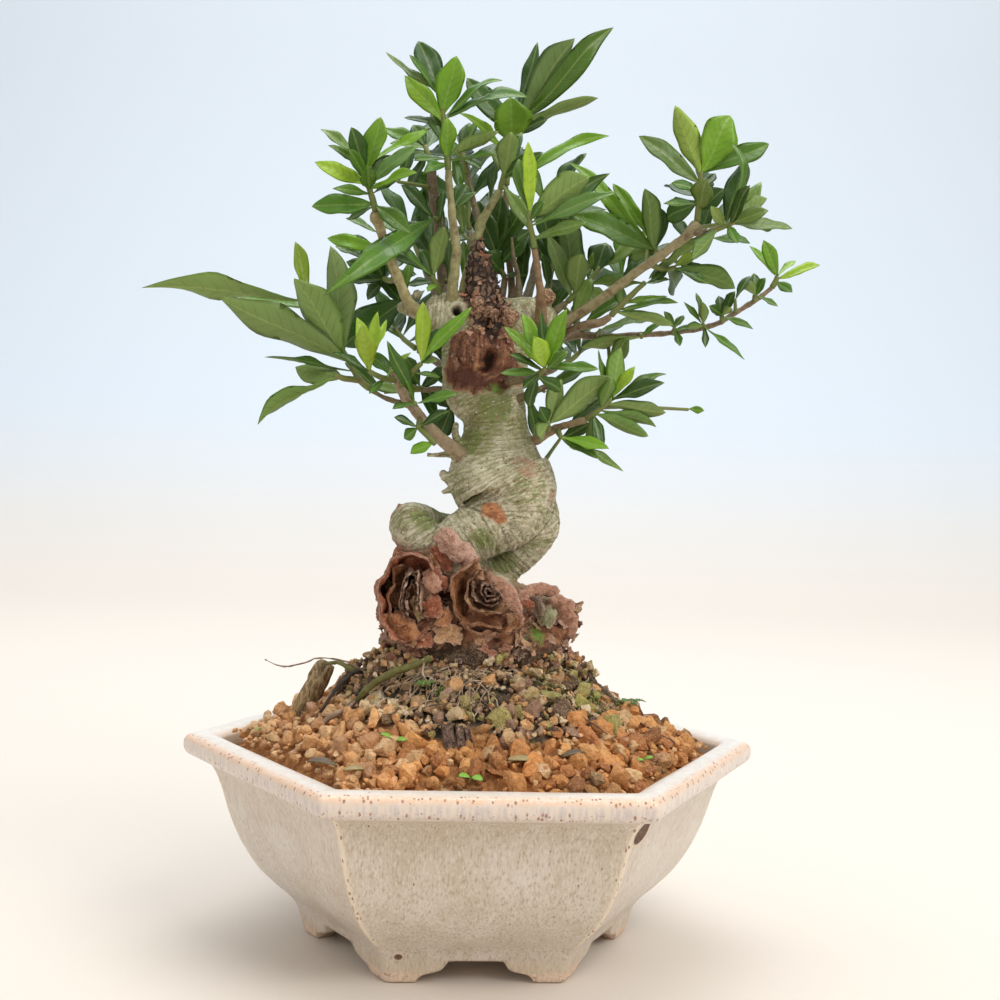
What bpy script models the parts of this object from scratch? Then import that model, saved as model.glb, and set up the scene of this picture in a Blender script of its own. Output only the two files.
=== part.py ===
"""A gardenia bonsai in a hexagonal glazed pot, 185 mm across its corners.

The frame is the pot's: origin on the ground under the pot's axis, +Z up, and the tree's front faces -Y.
Every table is in millimetres.  The tree is told as it looks from the front: a row gives x and z on the
upright plane through the pot's axis, and how far behind that plane (back, in mm) the point really lies.
In the crown, which spreads more in depth, back is counted in steps of CROWN_STEP millimetres.
"""
import math
import random

import bmesh
import bpy
import numpy as np
from mathutils import Vector
from mathutils.bvhtree import BVHTree

MM = 0.001
GAP = 0.3                  # clearance between pieces that touch
EYE_AWAY = 472.0           # the viewpoint that the front view is told from
EYE_HEIGHT = 161.4
CROWN_STEP = 1.9

POT_ANGLE = math.radians(4.08)   # the pot stands turned a little on its axis
POT_SIDES = 6
RIM_TOP = 64.0
FLOOR_TOP = 14.0
BASE_UNDER = 7.3
DRAIN_RADIUS = 7.0
MESH_THICK = 0.9
SOIL_EDGE_HEIGHT = 60.0
SOIL_RINGS = 13

LEAF_THICK = 0.75
LEAF_FOLD = 0.20
LEAF_FULLNESS = 1.08       # a blade of few sides is this much wider, to cover what a round one covers
LEAF_WAVE = 0.022
STEM_RADIUS = 1.05


def seen(x, z, back=0.0):
    """The point that looks to be at x, z on the upright plane but lies back millimetres behind it."""
    far = 1.0 + back / EYE_AWAY
    return Vector((x * far, back, EYE_HEIGHT + (z - EYE_HEIGHT) * far))


def in_crown(rows):
    """Rows of x, z, back and more, with back turned from the crown's steps into millimetres."""
    return [(x, z, back * CROWN_STEP, *rest) for x, z, back, *rest in rows]


def clear_scene():
    for item in list(bpy.data.objects):
        bpy.data.objects.remove(item)


def new_collection(name):
    group = bpy.data.collections.new(name)
    bpy.context.scene.collection.children.link(group)
    return group


def material(name, colour, roughness, metallic=0.0):
    finish = bpy.data.materials.new(name)
    finish.use_nodes = True
    shader = finish.node_tree.nodes["Principled BSDF"]
    shader.inputs["Base Color"].default_value = (*colour, 1.0)
    shader.inputs["Roughness"].default_value = roughness
    shader.inputs["Metallic"].default_value = metallic
    return finish


def paint(item, finish):
    item.data.materials.clear()
    item.data.materials.append(finish)
    for face in item.data.polygons:
        face.material_index = 0


def link(name, mesh, group):
    item = bpy.data.objects.new(name, mesh)
    group.objects.link(item)
    return item


def mesh_from(name, bm):
    mesh = bpy.data.meshes.new(name)
    bm.to_mesh(mesh)
    bm.free()
    return mesh


def evaluated_mesh(item, merge=0.0002):
    """The object's mesh with its modifiers done, in the scene's frame and welded."""
    bpy.context.view_layer.update()
    ready = item.evaluated_get(bpy.context.evaluated_depsgraph_get())
    mesh = bpy.data.meshes.new_from_object(ready)
    mesh.transform(item.matrix_world)
    bm = bmesh.new()
    bm.from_mesh(mesh)
    bmesh.ops.remove_doubles(bm, verts=bm.verts, dist=merge * MM)
    bm.to_mesh(mesh)
    bm.free()
    return mesh


def replace_by_mesh(item, group, merge=0.0002):
    mesh = evaluated_mesh(item, merge)
    name = item.name
    bpy.data.objects.remove(item)
    return link(name, mesh, group)


def tube(name, points, group, resolution=1):
    """A round rod along points of (place, radius), capped, as a mesh."""
    line = bpy.data.curves.new(name, "CURVE")
    line.dimensions = "3D"
    line.bevel_depth = MM
    line.bevel_resolution = resolution
    line.use_fill_caps = True
    spline = line.splines.new("POLY")
    spline.points.add(len(points) - 1)
    for knot, (place, radius) in zip(spline.points, points):
        knot.co = (*(place * MM), 1.0)
        knot.radius = radius
    item = link(name, line, group)
    return replace_by_mesh(item, group)


def seen_tube(name, rows, group, resolution=1):
    return tube(name, [(seen(x, z, back), r) for x, z, back, r in rows], group, resolution)


def socket_tube(name, rows, group):
    """A rod that holds the one of these rows with a gap all round, whichever way its six sides turn."""
    points = [(seen(x, z, back), r / math.cos(math.pi / 6) + GAP + 0.1) for x, z, back, r in rows]
    (before, _), (last, radius) = points[-2:]
    points[-1] = (last + (last - before).normalized() * 2 * GAP, radius)
    (first, radius), (following, _) = points[:2]
    points[0] = (first + (first - following).normalized() * 2 * GAP, radius)
    return tube(name, points, group, 1)


def smooth_rows(rows, steps=2):
    """The rows again with extra ones between them, on a smooth curve through them all."""
    data = np.array(rows, dtype=float)
    padded = np.vstack([2 * data[0] - data[1], data, 2 * data[-1] - data[-2]])
    found = []
    for k in range(1, len(padded) - 2):
        before, a, b, after = padded[k - 1:k + 3]
        for step in range(steps):
            t = step / steps
            found.append(0.5 * (2 * a + (b - before) * t + (2 * before - 5 * a + 4 * b - after) * t * t
                                + (3 * a - before - 3 * b + after) * t ** 3))
    found.append(data[-1])
    return [tuple(row) for row in found]


def blob(name, place, size, group, detail=1):
    bm = bmesh.new()
    bmesh.ops.create_icosphere(bm, subdivisions=detail, radius=1.0)
    for vert in bm.verts:
        vert.co = Vector([c * s for c, s in zip(vert.co, size)]) * MM + place * MM
    return link(name, mesh_from(name, bm), group)


def keep_largest(mesh):
    """Drops loose scraps: of the bodies whose faces share edges, only the biggest stays."""
    bm = bmesh.new()
    bm.from_mesh(mesh)
    left = set(bm.faces)
    bodies = []
    while left:
        body = set()
        waiting = [left.pop()]
        while waiting:
            face = waiting.pop()
            body.add(face)
            for edge in face.edges:
                for other in edge.link_faces:
                    if other in left:
                        left.remove(other)
                        waiting.append(other)
        bodies.append(body)
    bodies.sort(key=len)
    for body in bodies[:-1]:
        bmesh.ops.delete(bm, geom=list(body), context="FACES")
    bmesh.ops.triangulate(bm, faces=bm.faces)
    bm.to_mesh(mesh)
    bm.free()


def boolean(item, others, operation, group, solver="EXACT", keep=1.0):
    """Joins others to item, or cuts them from it, and removes them; keep is the share of triangles left."""
    helpers = new_collection(item.name + "_helpers")
    for other in others:
        for owner in list(other.users_collection):
            owner.objects.unlink(other)
        helpers.objects.link(other)
    change = item.modifiers.new(operation.lower(), "BOOLEAN")
    change.operation = operation
    change.operand_type = "COLLECTION"
    change.collection = helpers
    change.solver = solver
    if keep < 1.0:
        thin = item.modifiers.new("thin", "DECIMATE")
        thin.ratio = keep
    whole = replace_by_mesh(item, group)
    for other in list(helpers.objects):
        bpy.data.objects.remove(other)
    bpy.data.collections.remove(helpers)
    keep_largest(whole.data)
    return whole


# The pot

# radius at the corners and height, from the middle of the floor up the inside and down the outside
POT_PROFILE = [
    (0.0, FLOOR_TOP), (55.5, FLOOR_TOP), (62.0, 18.0), (68.5, 28.0), (73.0, 39.0), (77.2, 50.0),
    (80.2, 58.5), (81.3, 62.2), (83.4, RIM_TOP), (89.6, RIM_TOP), (92.0, 62.9), (92.5, 60.6),
    (91.9, 58.2), (89.8, 56.7), (84.8, 55.2), (82.2, 52.2), (80.2, 47.6), (77.4, 38.0), (73.6, 30.0),
    (68.0, 21.6), (61.6, 15.6), (56.8, 11.8), (54.7, 8.8), (53.4, 4.4), (52.4, 0.7), (51.4, 0.0),
    (45.8, 0.0), (45.0, 0.8), (43.6, BASE_UNDER), (0.0, BASE_UNDER),
]
RIDGE_WIDTH = 2.0
# half of the opening between two feet: distance from its middle and height
FOOT_ARCH = [(8.2, BASE_UNDER), (9.4, 5.0), (12.2, 3.4), (15.4, 2.5), (17.0, 1.6), (18.2, -2.0)]


def make_pot(group):
    bm = bmesh.new()
    corners = [bm.verts.new((radius * MM, 0.0, height * MM)) for radius, height in POT_PROFILE]
    for a, b in zip(corners, corners[1:]):
        bm.edges.new((a, b))
    pot = link("pot", mesh_from("pot", bm), group)
    turn = pot.modifiers.new("six_sides", "SCREW")
    turn.axis = "Z"
    turn.angle = 2 * math.pi
    turn.steps = POT_SIDES
    turn.render_steps = POT_SIDES
    turn.use_merge_vertices = True
    turn.merge_threshold = 0.00001
    turn.use_smooth_shade = False
    pot.rotation_euler.z = POT_ANGLE
    pot = replace_by_mesh(pot, group)
    soften_ridges(pot.data)
    return boolean(pot, foot_cutters(group) + [drain_cutter(group)], "DIFFERENCE", group)


def soften_ridges(mesh):
    """Rounds the six outer corner ridges, which run from the rim to the feet."""
    bm = bmesh.new()
    bm.from_mesh(mesh)
    bmesh.ops.recalc_face_normals(bm, faces=bm.faces)
    ridges = []
    for edge in bm.edges:
        if len(edge.link_faces) != 2 or edge.calc_face_angle() < math.radians(20):
            continue
        a, b = edge.verts
        along = (a.co - b.co).normalized()
        middle = (a.co + b.co) / 2
        outward = Vector((middle.x, middle.y, 0.0)).normalized()
        sideways = abs(along.dot(Vector((-outward.y, outward.x, 0.0))))
        faces_out = sum((face.normal.dot(outward) for face in edge.link_faces)) > 0.2
        if sideways < 0.1 and faces_out:
            ridges.append(edge)
    bmesh.ops.bevel(bm, geom=ridges, offset=RIDGE_WIDTH * MM, segments=2, profile=0.5, affect="EDGES")
    bmesh.ops.remove_doubles(bm, verts=bm.verts, dist=0.00001)
    bm.to_mesh(mesh)
    bm.free()


def foot_cutters(group):
    """Three bars whose section is the cusped arch, each running under two opposite sides."""
    outline = [(-x, z) for x, z in reversed(FOOT_ARCH)] + FOOT_ARCH
    cutters = []
    for k in range(POT_SIDES // 2):
        arch = bpy.data.curves.new("arch", "CURVE")
        arch.dimensions = "2D"
        arch.fill_mode = "BOTH"
        arch.extrude = 0.06
        spline = arch.splines.new("POLY")
        spline.points.add(len(outline) - 1)
        for knot, (x, z) in zip(spline.points, outline):
            knot.co = (x * MM, z * MM, 0.0, 1.0)
        spline.use_cyclic_u = True
        cutter = link("arch_%d" % k, arch, group)
        cutter.rotation_euler = (math.radians(90), 0.0, POT_ANGLE + math.radians(30 + 60 * k) - math.pi / 2)
        cutters.append(replace_by_mesh(cutter, group))
    return cutters


def drain_cutter(group):
    bm = bmesh.new()
    bmesh.ops.create_cone(bm, cap_ends=True, segments=20, radius1=DRAIN_RADIUS * MM,
                          radius2=DRAIN_RADIUS * MM, depth=0.03)
    bmesh.ops.translate(bm, verts=bm.verts, vec=(0.0, 0.0, FLOOR_TOP * MM))
    return link("drain", mesh_from("drain", bm), group)


def make_drain_mesh(group):
    """The plastic net over the drain hole: a square plate with square holes."""
    side = 22.0
    lift = FLOOR_TOP + GAP
    bm = bmesh.new()
    bmesh.ops.create_cube(bm, size=1.0)
    for vert in bm.verts:
        vert.co.x *= side * MM
        vert.co.y *= side * MM
        vert.co.z = (vert.co.z + 0.5) * MESH_THICK * MM + lift * MM
    net = link("drain_mesh", mesh_from("drain_mesh", bm), group)
    holes = []
    pitch = 6.4
    for i in range(-1, 2):
        for j in range(-1, 2):
            bm = bmesh.new()
            bmesh.ops.create_cube(bm, size=4.4 * MM)
            bmesh.ops.translate(bm, verts=bm.verts, vec=(i * pitch * MM, j * pitch * MM, lift * MM))
            holes.append(link("hole", mesh_from("hole", bm), group))
    return boolean(net, holes, "DIFFERENCE", group)


# The soil

# height of the mound at a distance from the pot's axis
MOUND_RADII = [0, 20, 30, 38, 46, 54, 64, 76, 90]
MOUND_HEIGHTS = [91, 90, 87.5, 82, 76, 70.5, 66, 62, 60]
# radius at the corners and height of the soil's sides, just inside the pot's wall
SOIL_SIDES = [(79.9, SOIL_EDGE_HEIGHT), (72.3, 39.0), (61.2, 18.6), (54.6, 0.0)]
GRAIN = 1.3


def hexagon_point(ring, place, rings, radius):
    """Point number place of a hexagonal ring, the outermost ring having that corner radius."""
    side, step = divmod(place, ring) if ring else (0, 0)
    start = POT_ANGLE + math.radians(60 * side)
    end = start + math.radians(60)
    along = step / ring if ring else 0.0
    scale = radius * ring / rings
    x = scale * ((1 - along) * math.cos(start) + along * math.cos(end))
    y = scale * ((1 - along) * math.sin(start) + along * math.sin(end))
    return x, y


def soil_height(x, y, edge_share, lift):
    """The mound's height with one grain's lift, flattened to the edge height at the pot's wall."""
    mound = float(np.interp(math.hypot(x, y), MOUND_RADII, MOUND_HEIGHTS)) + lift * GRAIN
    near_edge = min(1.0, max(0.0, (edge_share - 0.84) / 0.16))
    near_edge = near_edge * near_edge * (3 - 2 * near_edge)
    return mound * (1 - near_edge) + (SOIL_EDGE_HEIGHT + 0.5 * lift) * near_edge


def make_soil(group, sockets):
    """Rings of a hexagon: every third point stands up as a grain, the others lie between grains."""
    draw = random.Random(4)
    bm = bmesh.new()
    rings = [[bm.verts.new((0.0, 0.0, MOUND_HEIGHTS[0] * MM))]]
    for ring in range(1, SOIL_RINGS + 1):
        row = []
        for place in range(6 * ring):
            x, y = hexagon_point(ring, place, SOIL_RINGS, SOIL_SIDES[0][0])
            side, step = divmod(place, ring)
            grain = 1.0 if (ring + step + side) % 3 == 0 else -0.5
            lift = grain + draw.uniform(-0.5, 0.5)
            if ring < SOIL_RINGS:
                x += draw.uniform(-0.9, 0.9)
                y += draw.uniform(-0.9, 0.9)
            else:
                lift = draw.uniform(-0.4, 0.4)
            height = soil_height(x, y, ring / SOIL_RINGS, lift)
            row.append(bm.verts.new((x * MM, y * MM, height * MM)))
        rings.append(row)
    for ring in range(1, SOIL_RINGS + 1):
        stitch(bm, rings[ring], rings[ring - 1], ring)
    above = rings[-1]
    for radius, height in SOIL_SIDES[1:]:
        level = max(height, FLOOR_TOP + 2 * GAP + MESH_THICK)
        row = []
        for side in range(6):
            x, y = hexagon_point(1, side, 1, radius)
            row.append(bm.verts.new((x * MM, y * MM, level * MM)))
        drop_side(bm, above, row)
        above = row
    bm.faces.new(list(reversed(above)))
    bmesh.ops.triangulate(bm, faces=bm.faces)
    bmesh.ops.recalc_face_normals(bm, faces=bm.faces)
    soil = link("soil", mesh_from("soil", bm), group)
    return boolean(soil, sockets, "DIFFERENCE", group, "MANIFOLD")


def stitch(bm, outer, inner, ring):
    """Triangles between a ring of the hexagon and the ring inside it, which has six points fewer."""
    for side in range(6):
        for step in range(ring):
            a = outer[side * ring + step]
            b = outer[(side * ring + step + 1) % len(outer)]
            c = inner[(side * (ring - 1) + step) % len(inner)]
            bm.faces.new((a, b, c))
            if step < ring - 1:
                d = inner[(side * (ring - 1) + step + 1) % len(inner)]
                bm.faces.new((c, b, d))


def drop_side(bm, above, below):
    """The side faces from a full ring, or from six corners, down to six corners."""
    per_side = len(above) // 6
    for side in range(6):
        a = below[side]
        b = below[(side + 1) % 6]
        for step in range(per_side):
            c = above[side * per_side + step]
            d = above[(side * per_side + step + 1) % len(above)]
            bm.faces.new((a, d, c))
        bm.faces.new((a, b, above[((side + 1) * per_side) % len(above)]))


# The wood: rows of x, z, back and radius

TRUNK = {
    "main": [(1.5, 203, 2, 9.5), (1.5, 192, 2, 13.2), (1.5, 181, 1, 13.4), (3.5, 172, 0, 10.9),
             (4.3, 164, 0, 10.5), (4.8, 157, 0, 13.2), (5.6, 150, 0, 16.3), (9, 143, -1, 16),
             (8, 136.8, -3, 12.2), (0.8, 131.6, -5, 9.8), (-6.5, 126.6, -6, 8.7), (-10.5, 121, -6, 7.6),
             (-11, 113, -4, 7.4)],
    "under": [(12.5, 142, 3, 12), (17.2, 134, 4, 9.2), (16.4, 127, 5, 8.0), (10.4, 120.6, 5, 7.2),
              (3.4, 115.4, 4, 6.9), (-2, 108, 2, 8)],
    "thumb": [(3, 130.5, 7, 7.4), (-5, 129.6, 9, 6.8), (-13, 130.8, 8, 6.0), (-19.4, 132.8, 3, 6.5),
              (-22, 132.0, -2, 7.0), (-17.5, 126.3, -4, 7.4), (-12.4, 119.8, -4, 7.6), (-8, 112, -2, 8)],
    "left_knob": [(-3, 195, 0, 9), (-9, 198.6, -1, 8.2), (-14, 199.6, -1, 7.3), (-18.4, 199.8, -1, 5.2),
                  (-20.8, 200.2, -1, 2.6)],
    "right_knob": [(5, 192, 1, 10), (10.5, 197.8, 0, 8.4), (16, 199, 0, 7.2), (20, 198.2, 0, 5.4),
                   (23, 197.6, 0, 2.8)],
    "dead_column": [(-1, 196, -3, 6.8), (-0.8, 204, -3, 5.6), (-2, 211, -2.5, 4.4), (-3, 217, -2, 3.3),
                    (-3.6, 223, -2, 1.5)],
}
# the root crown that the soil holds: x, y, height and radius before it is flattened front to back
ROOT_CROWN = [(-6, 0, 124, 10), (-5, 0, 116, 20), (-3, 0, 108, 28), (-2, 0, 98, 31.5), (-1, 0, 90, 31),
              (0, 0, 84, 26), (0, 0, 76, 18), (0, 0, 66, 9)]
CROWN_FLATTEN = 0.78
BRANCHES = {
    "crown_left": [(-19, 199, 0, 3.2), (-24.5, 203, -3, 2.1), (-28.4, 211, -4, 1.8), (-31.6, 218.5, -5, 1.7),
                   (-34.6, 226.5, -6, 1.7), (-35.8, 229.6, -7, 2.3), (-36, 231.2, -7, 2.0)],
    "crown_a": [(-10.8, 200, -3, 2.8), (-10.9, 209, -4, 2.0), (-10.1, 220, -5, 1.7), (-11.6, 230, -6, 1.5),
                (-12.7, 239, -6, 1.3), (-13.4, 245.4, -6, 1.3)],
    "crown_b": [(-7.8, 201, 0, 2.4), (-7.2, 209, -1, 1.8), (-4.8, 219, -1, 1.7), (-3.0, 227, -1, 1.8),
                (-2.5, 229.6, -1, 1.9), (0.2, 234.4, -2, 1.4), (3.2, 239.8, -3, 1.3)],
    "crown_b_left": [(-2.6, 228, -1, 1.5), (-4.6, 234, 1, 1.2), (-6.2, 240, 2, 1.1), (-7.2, 244.4, 2, 1.1)],
    "crown_c": [(-12, 197, 4, 3.0), (-14.2, 212, 7, 2.2), (-16, 228, 8, 2.0), (-18, 238, 8, 2.0),
                (-19, 246.4, 8, 1.9)],
    "crown_f": [(8, 197, 5, 2.6), (8, 209, 8, 1.5), (6, 224, 9, 1.2), (5.3, 236, 9, 1.1), (5.2, 241, 9, 1.0)],
    "crown_g": [(10.6, 199, 3, 2.0), (10, 212, 4, 1.0), (8.4, 218, 4, 0.9), (7.4, 225, 4, 0.5)],
    "crown_e": [(17.6, 198, -3, 2.6), (17.4, 207, -7, 1.7), (16.2, 214, -8, 1.3), (14.9, 221.4, -8, 1.2)],
    "right_high": [(17, 195, 0, 3.0), (23, 197.6, 0, 2.5), (28.2, 200.4, -1, 2.0), (39.2, 208.6, -4, 1.7),
                   (47.4, 215.2, -6, 1.6), (54.5, 220.6, -8, 1.6), (61.3, 225.8, -10, 1.6),
                   (64.8, 229.2, -11, 2.1), (66.4, 231.4, -11, 2.0)],
    "right_high_fork": [(65, 229, -11, 1.6), (69.0, 228.8, -12, 1.5)],
    "right_inner": [(18, 198, 2, 2.4), (22, 202, 2, 1.5), (25.4, 204.8, 3, 1.2)],
    "right_low": [(12, 188, 2, 3.2), (18, 190.4, 3, 2.0), (24, 193.2, 4, 1.7), (30, 194.8, 4.6, 1.5),
                  (39.3, 194.6, 5.2, 1.4), (50, 195.6, 5.8, 1.1), (60, 196.6, 6.2, 1.0), (70, 198.6, 6.5, 1.0),
                  (75, 200.4, 6.8, 1.0), (79, 203, 7, 1.0), (83.4, 206, 7.2, 1.0), (87.5, 208.8, 7.4, 0.9),
                  (91, 211.8, 7.4, 0.9)],
    "right_twig": [(24, 193.5, 3.7, 1.5), (28, 196.6, 0, 1.5), (32, 198.2, -3, 1.6), (36.5, 199, -4, 1.5),
                   (39.6, 201, -4, 1.2)],
    "right_under": [(10, 159.6, 2, 2.6), (17.4, 160.8, -1, 1.9), (23, 164.4, -3, 1.5), (28, 166.2, -4, 1.3),
                    (33, 167.7, -5, 1.2)],
    "right_spur": [(9, 172.5, -2, 2.0), (14.2, 175.2, -4, 1.4), (20.6, 178.4, -4, 1.0)],
    "right_bright": [(8, 179.4, -5, 2.0), (13.4, 180.4, -9, 1.2), (15.4, 180.9, -11, 1.1)],
    "left_low": [(-2, 152, -2, 4.0), (-8, 156.4, -4, 2.8), (-12.6, 159.8, -5, 2.3), (-18.9, 165.7, -5, 2.0),
                 (-22.5, 170, -5, 1.9), (-25.5, 174, -6, 1.8), (-28, 179.2, -6, 1.6), (-29, 182.4, -6, 1.5)],
    "left_twig": [(-24, 170.6, -5, 1.2), (-31.6, 172.7, -6, 0.9), (-36.4, 175.4, -7, 0.9)],
    "left_behind": [(-8, 175, 3, 2.0), (-14, 176, 4, 1.3), (-19.6, 175.6, 5, 1.0)],
}
# branches towards the back, with back in millimetres
BACK_BRANCHES = {
    "back_left": [(-10, 197, 6, 2.6), (-16, 206, 18, 1.6), (-20, 214, 27, 1.2)],
    "back_middle": [(-3, 199, 8, 2.6), (-5, 214, 20, 1.6), (-6, 226, 28, 1.2)],
    "back_right": [(10, 197, 7, 2.6), (14, 210, 20, 1.6), (16, 222, 29, 1.2)],
    "back_far_right": [(17, 196, 5, 2.2), (27, 201, 18, 1.5), (34, 206, 27, 1.2)],
    "back_inner": [(4, 197, 6, 2.6), (5, 206, 10, 1.5), (5.6, 212, 13, 1.2)],
    "back_inner_right": [(14, 197, 4, 2.6), (18.4, 205, 9, 1.5), (19.8, 211, 12, 1.2)],
    "back_low_left": [(-6, 180, 8, 2.2), (-14, 184, 19, 1.5), (-21, 188, 28, 1.1)],
    "back_low_right": [(9, 178, 8, 2.2), (17, 181, 18, 1.5), (23, 184, 27, 1.1)],
}
STUBS = {
    "stub_left_top": [(-18, 199.6, -2, 3.0), (-24, 201, -2, 2.3), (-27.6, 201.8, -2, 1.9)],
    "stub_left_side": [(-8, 156, -2, 2.2), (-13, 155, -3, 1.0), (-17.4, 154.8, -3, 0.9)],
    "stub_dark_high": [(-6, 148, -2, 3.4), (-10.6, 148, -3, 2.2), (-12.6, 149.4, -3, 1.4)],
    "stub_dark_low": [(-5, 145, -2, 2.4), (-9.4, 144, -3, 1.2), (-12.2, 143, -3, 0.8)],
    "stub_crotch": [(-6.4, 158, -6, 1.8), (-8.6, 161.6, -6, 1.3), (-8.4, 165.4, -6, 1.0)],
}
# centre x, z, back and the three half sizes
LUMPS = {
    "burl_right": (19, 206.6, -3, 3.2, 3.0, 3.0),
    "burl_pink": (7.6, 200.4, -8, 3.2, 2.4, 3.0),
    "burl_yellow": (1.6, 201, -8.5, 2.6, 2.0, 2.4),
    "burl_pale": (-4.2, 202.2, -8, 2.6, 2.0, 2.6),
    "burl_left_top": (-22.2, 206, -2, 1.6, 1.6, 1.8),
    "lobe": (24, 102.4, -6, 8.6, 9.5, 9.0),
    "lobe_low": (20, 94.5, -10, 7.5, 8, 6.0),
    "root_front": (-13, 99, -15, 10, 9, 8.5),
    "dark_lump": (-26.6, 121.6, -8, 3.8, 4.5, 4.0),
    "bulge_back": (10, 144, 8, 14, 9, 10),
    "roll_left_filling": (-20.5, 107, -12, 12.4, 12, 12.6),
    "roll_middle_filling": (4.6, 109.6, -12, 10, 11, 10),
}
HOLLOW = (0.6, 187, -13.0, 4.4, 6.5, 6.2)
KNOB_HOLE = (-9.4, 201.4, -9.5, 1.7, 5.0, 1.7)
# curled sheets of bark: centre x, z, front and back depth, outer and inner radius, turns, start, thickness
BARK_ROLLS = {
    "roll_left": (-20.5, 107, -27, -8, 12.4, 3.6, 1.55, 40, 3.0),
    "roll_middle": (4.6, 109.6, -25, -8, 10.4, 2.6, 1.6, 120, 2.6),
    "flap_right": (23, 102.2, -18, -4, 9.6, 9.0, 0.32, -30, 2.0),
    "flake": (-15, 112, -15, -6, 15.6, 15.6, 0.11, 28, 2.2),
}
ROOTS = {
    "root_green": [(-12, 93, -16, 2.4), (-19, 90, -19, 1.5), (-26, 87.6, -20, 1.3), (-31.5, 83.6, -20, 1.2),
                   (-35, 77, -20, 1.1), (-36, 70, -20, 0.8)],
    "root_dark": [(-24, 91, -9, 2.2), (-31, 89.6, -9, 1.3), (-37.4, 86.4, -9, 1.1), (-42.4, 80.4, -9, 1.0),
                  (-45, 71, -9, 0.8)],
    "root_right": [(24, 93, -4, 4.0), (33, 86, -3, 2.8), (41, 79.6, -3, 2.2), (47, 72, -3, 1.6),
                   (50, 64, -3, 1.0)],
    "root_back": [(6, 94, 16, 4.0), (10, 88, 28, 2.8), (14, 80, 38, 2.0), (16, 68, 45, 1.2)],
}
DEAD_STUB = [(-57, 66, -2, 2.6), (-54.4, 73.5, -2, 3.3), (-50.6, 80.5, -2, 3.4), (-46.6, 88, -2, 2.2)]
CHIP_PLACE = (-4.6, -48.0, 73.2)
CHIP_SIZE = (9.5, 7.0, 2.2)
CHIP_TILT = 34.0


def bark_roll(name, row, group, grow=0.0):
    """A sheet of bark curled on itself: a spiral ribbon whose axis runs front to back."""
    x, z, front, back, outer, inner, turns, start, thick = row
    count = max(4, round(9 * turns))
    line = bpy.data.curves.new(name, "CURVE")
    line.dimensions = "2D"
    line.fill_mode = "NONE"
    line.bevel_depth = (thick / 2 + grow) * MM
    line.bevel_resolution = 0
    line.extrude = (back - front) / 2 * MM - line.bevel_depth
    line.use_fill_caps = True
    spline = line.splines.new("POLY")
    spline.points.add(count - 1)
    for k, knot in enumerate(spline.points):
        share = k / (count - 1)
        angle = math.radians(start) + turns * 2 * math.pi * share
        reach = outer + (inner - outer) * share
        wobble = 1.0 + 0.05 * math.sin(5.3 * k)
        knot.co = (reach * wobble * math.cos(angle) * MM, reach * wobble * math.sin(angle) * MM, 0.0, 1.0)
    item = link(name, line, group)
    item.rotation_euler.x = math.radians(90)
    item.location = seen(x, z, (front + back) / 2) * MM
    return replace_by_mesh(item, group)


def root_crown(group, grow=0.0):
    rows = [(Vector((x, y, z)), r + grow) for x, y, z, r in ROOT_CROWN]
    if grow:
        last, radius = rows[-1]
        rows[-1] = (last - Vector((0, 0, grow)), radius)
    crown = tube("crown", rows, group, 2)
    flatten = CROWN_FLATTEN
    for vert in crown.data.vertices:
        vert.co.y *= flatten
    return crown


def make_trunk(group):
    parts = []
    for name, rows in TRUNK.items():
        parts.append(seen_tube(name, smooth_rows(rows) if name in ("main", "thumb") else rows, group, 2))
    parts.append(root_crown(group))
    for rows in (STUBS, ROOTS):
        for name, points in rows.items():
            parts.append(seen_tube(name, points, group, 1))
    for name, points in BRANCHES.items():
        parts.append(seen_tube(name, in_crown(points), group, 1))
    for name, points in BACK_BRANCHES.items():
        parts.append(seen_tube(name, points, group, 0))
    for name, (x, z, back, *size) in LUMPS.items():
        parts.append(blob(name, seen(x, z, back), size, group, 2 if max(size) > 5 else 1))
    for name, row in BARK_ROLLS.items():
        parts.append(bark_roll(name, row, group))
    trunk = boolean(parts[0], parts[1:], "UNION", group)
    trunk.name = "trunk"
    pits = [blob("pit", seen(*row[:3]), row[3:], group, 1) for row in (HOLLOW, KNOB_HOLE)]
    trunk = boolean(trunk, pits, "DIFFERENCE", group, "EXACT", 0.74)
    trunk.name = "trunk"
    return trunk


def make_dead_stub(group):
    stub = seen_tube("deadwood_stub", DEAD_STUB, group, 1)
    draw = random.Random(7)
    for vert in stub.data.vertices:
        if vert.co.z > 0.084:
            vert.co.z += draw.uniform(-2.2, 1.2) * MM
    return stub


def chip_box(name, grow, group):
    bm = bmesh.new()
    bmesh.ops.create_cube(bm, size=1.0)
    for vert in bm.verts:
        vert.co = Vector([c * (s + 2 * grow) * MM for c, s in zip(vert.co, CHIP_SIZE)])
    chip = link(name, mesh_from(name, bm), group)
    chip.location = Vector(CHIP_PLACE) * MM
    chip.rotation_euler = (math.radians(CHIP_TILT), math.radians(-6), math.radians(8))
    return replace_by_mesh(chip, group)


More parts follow.
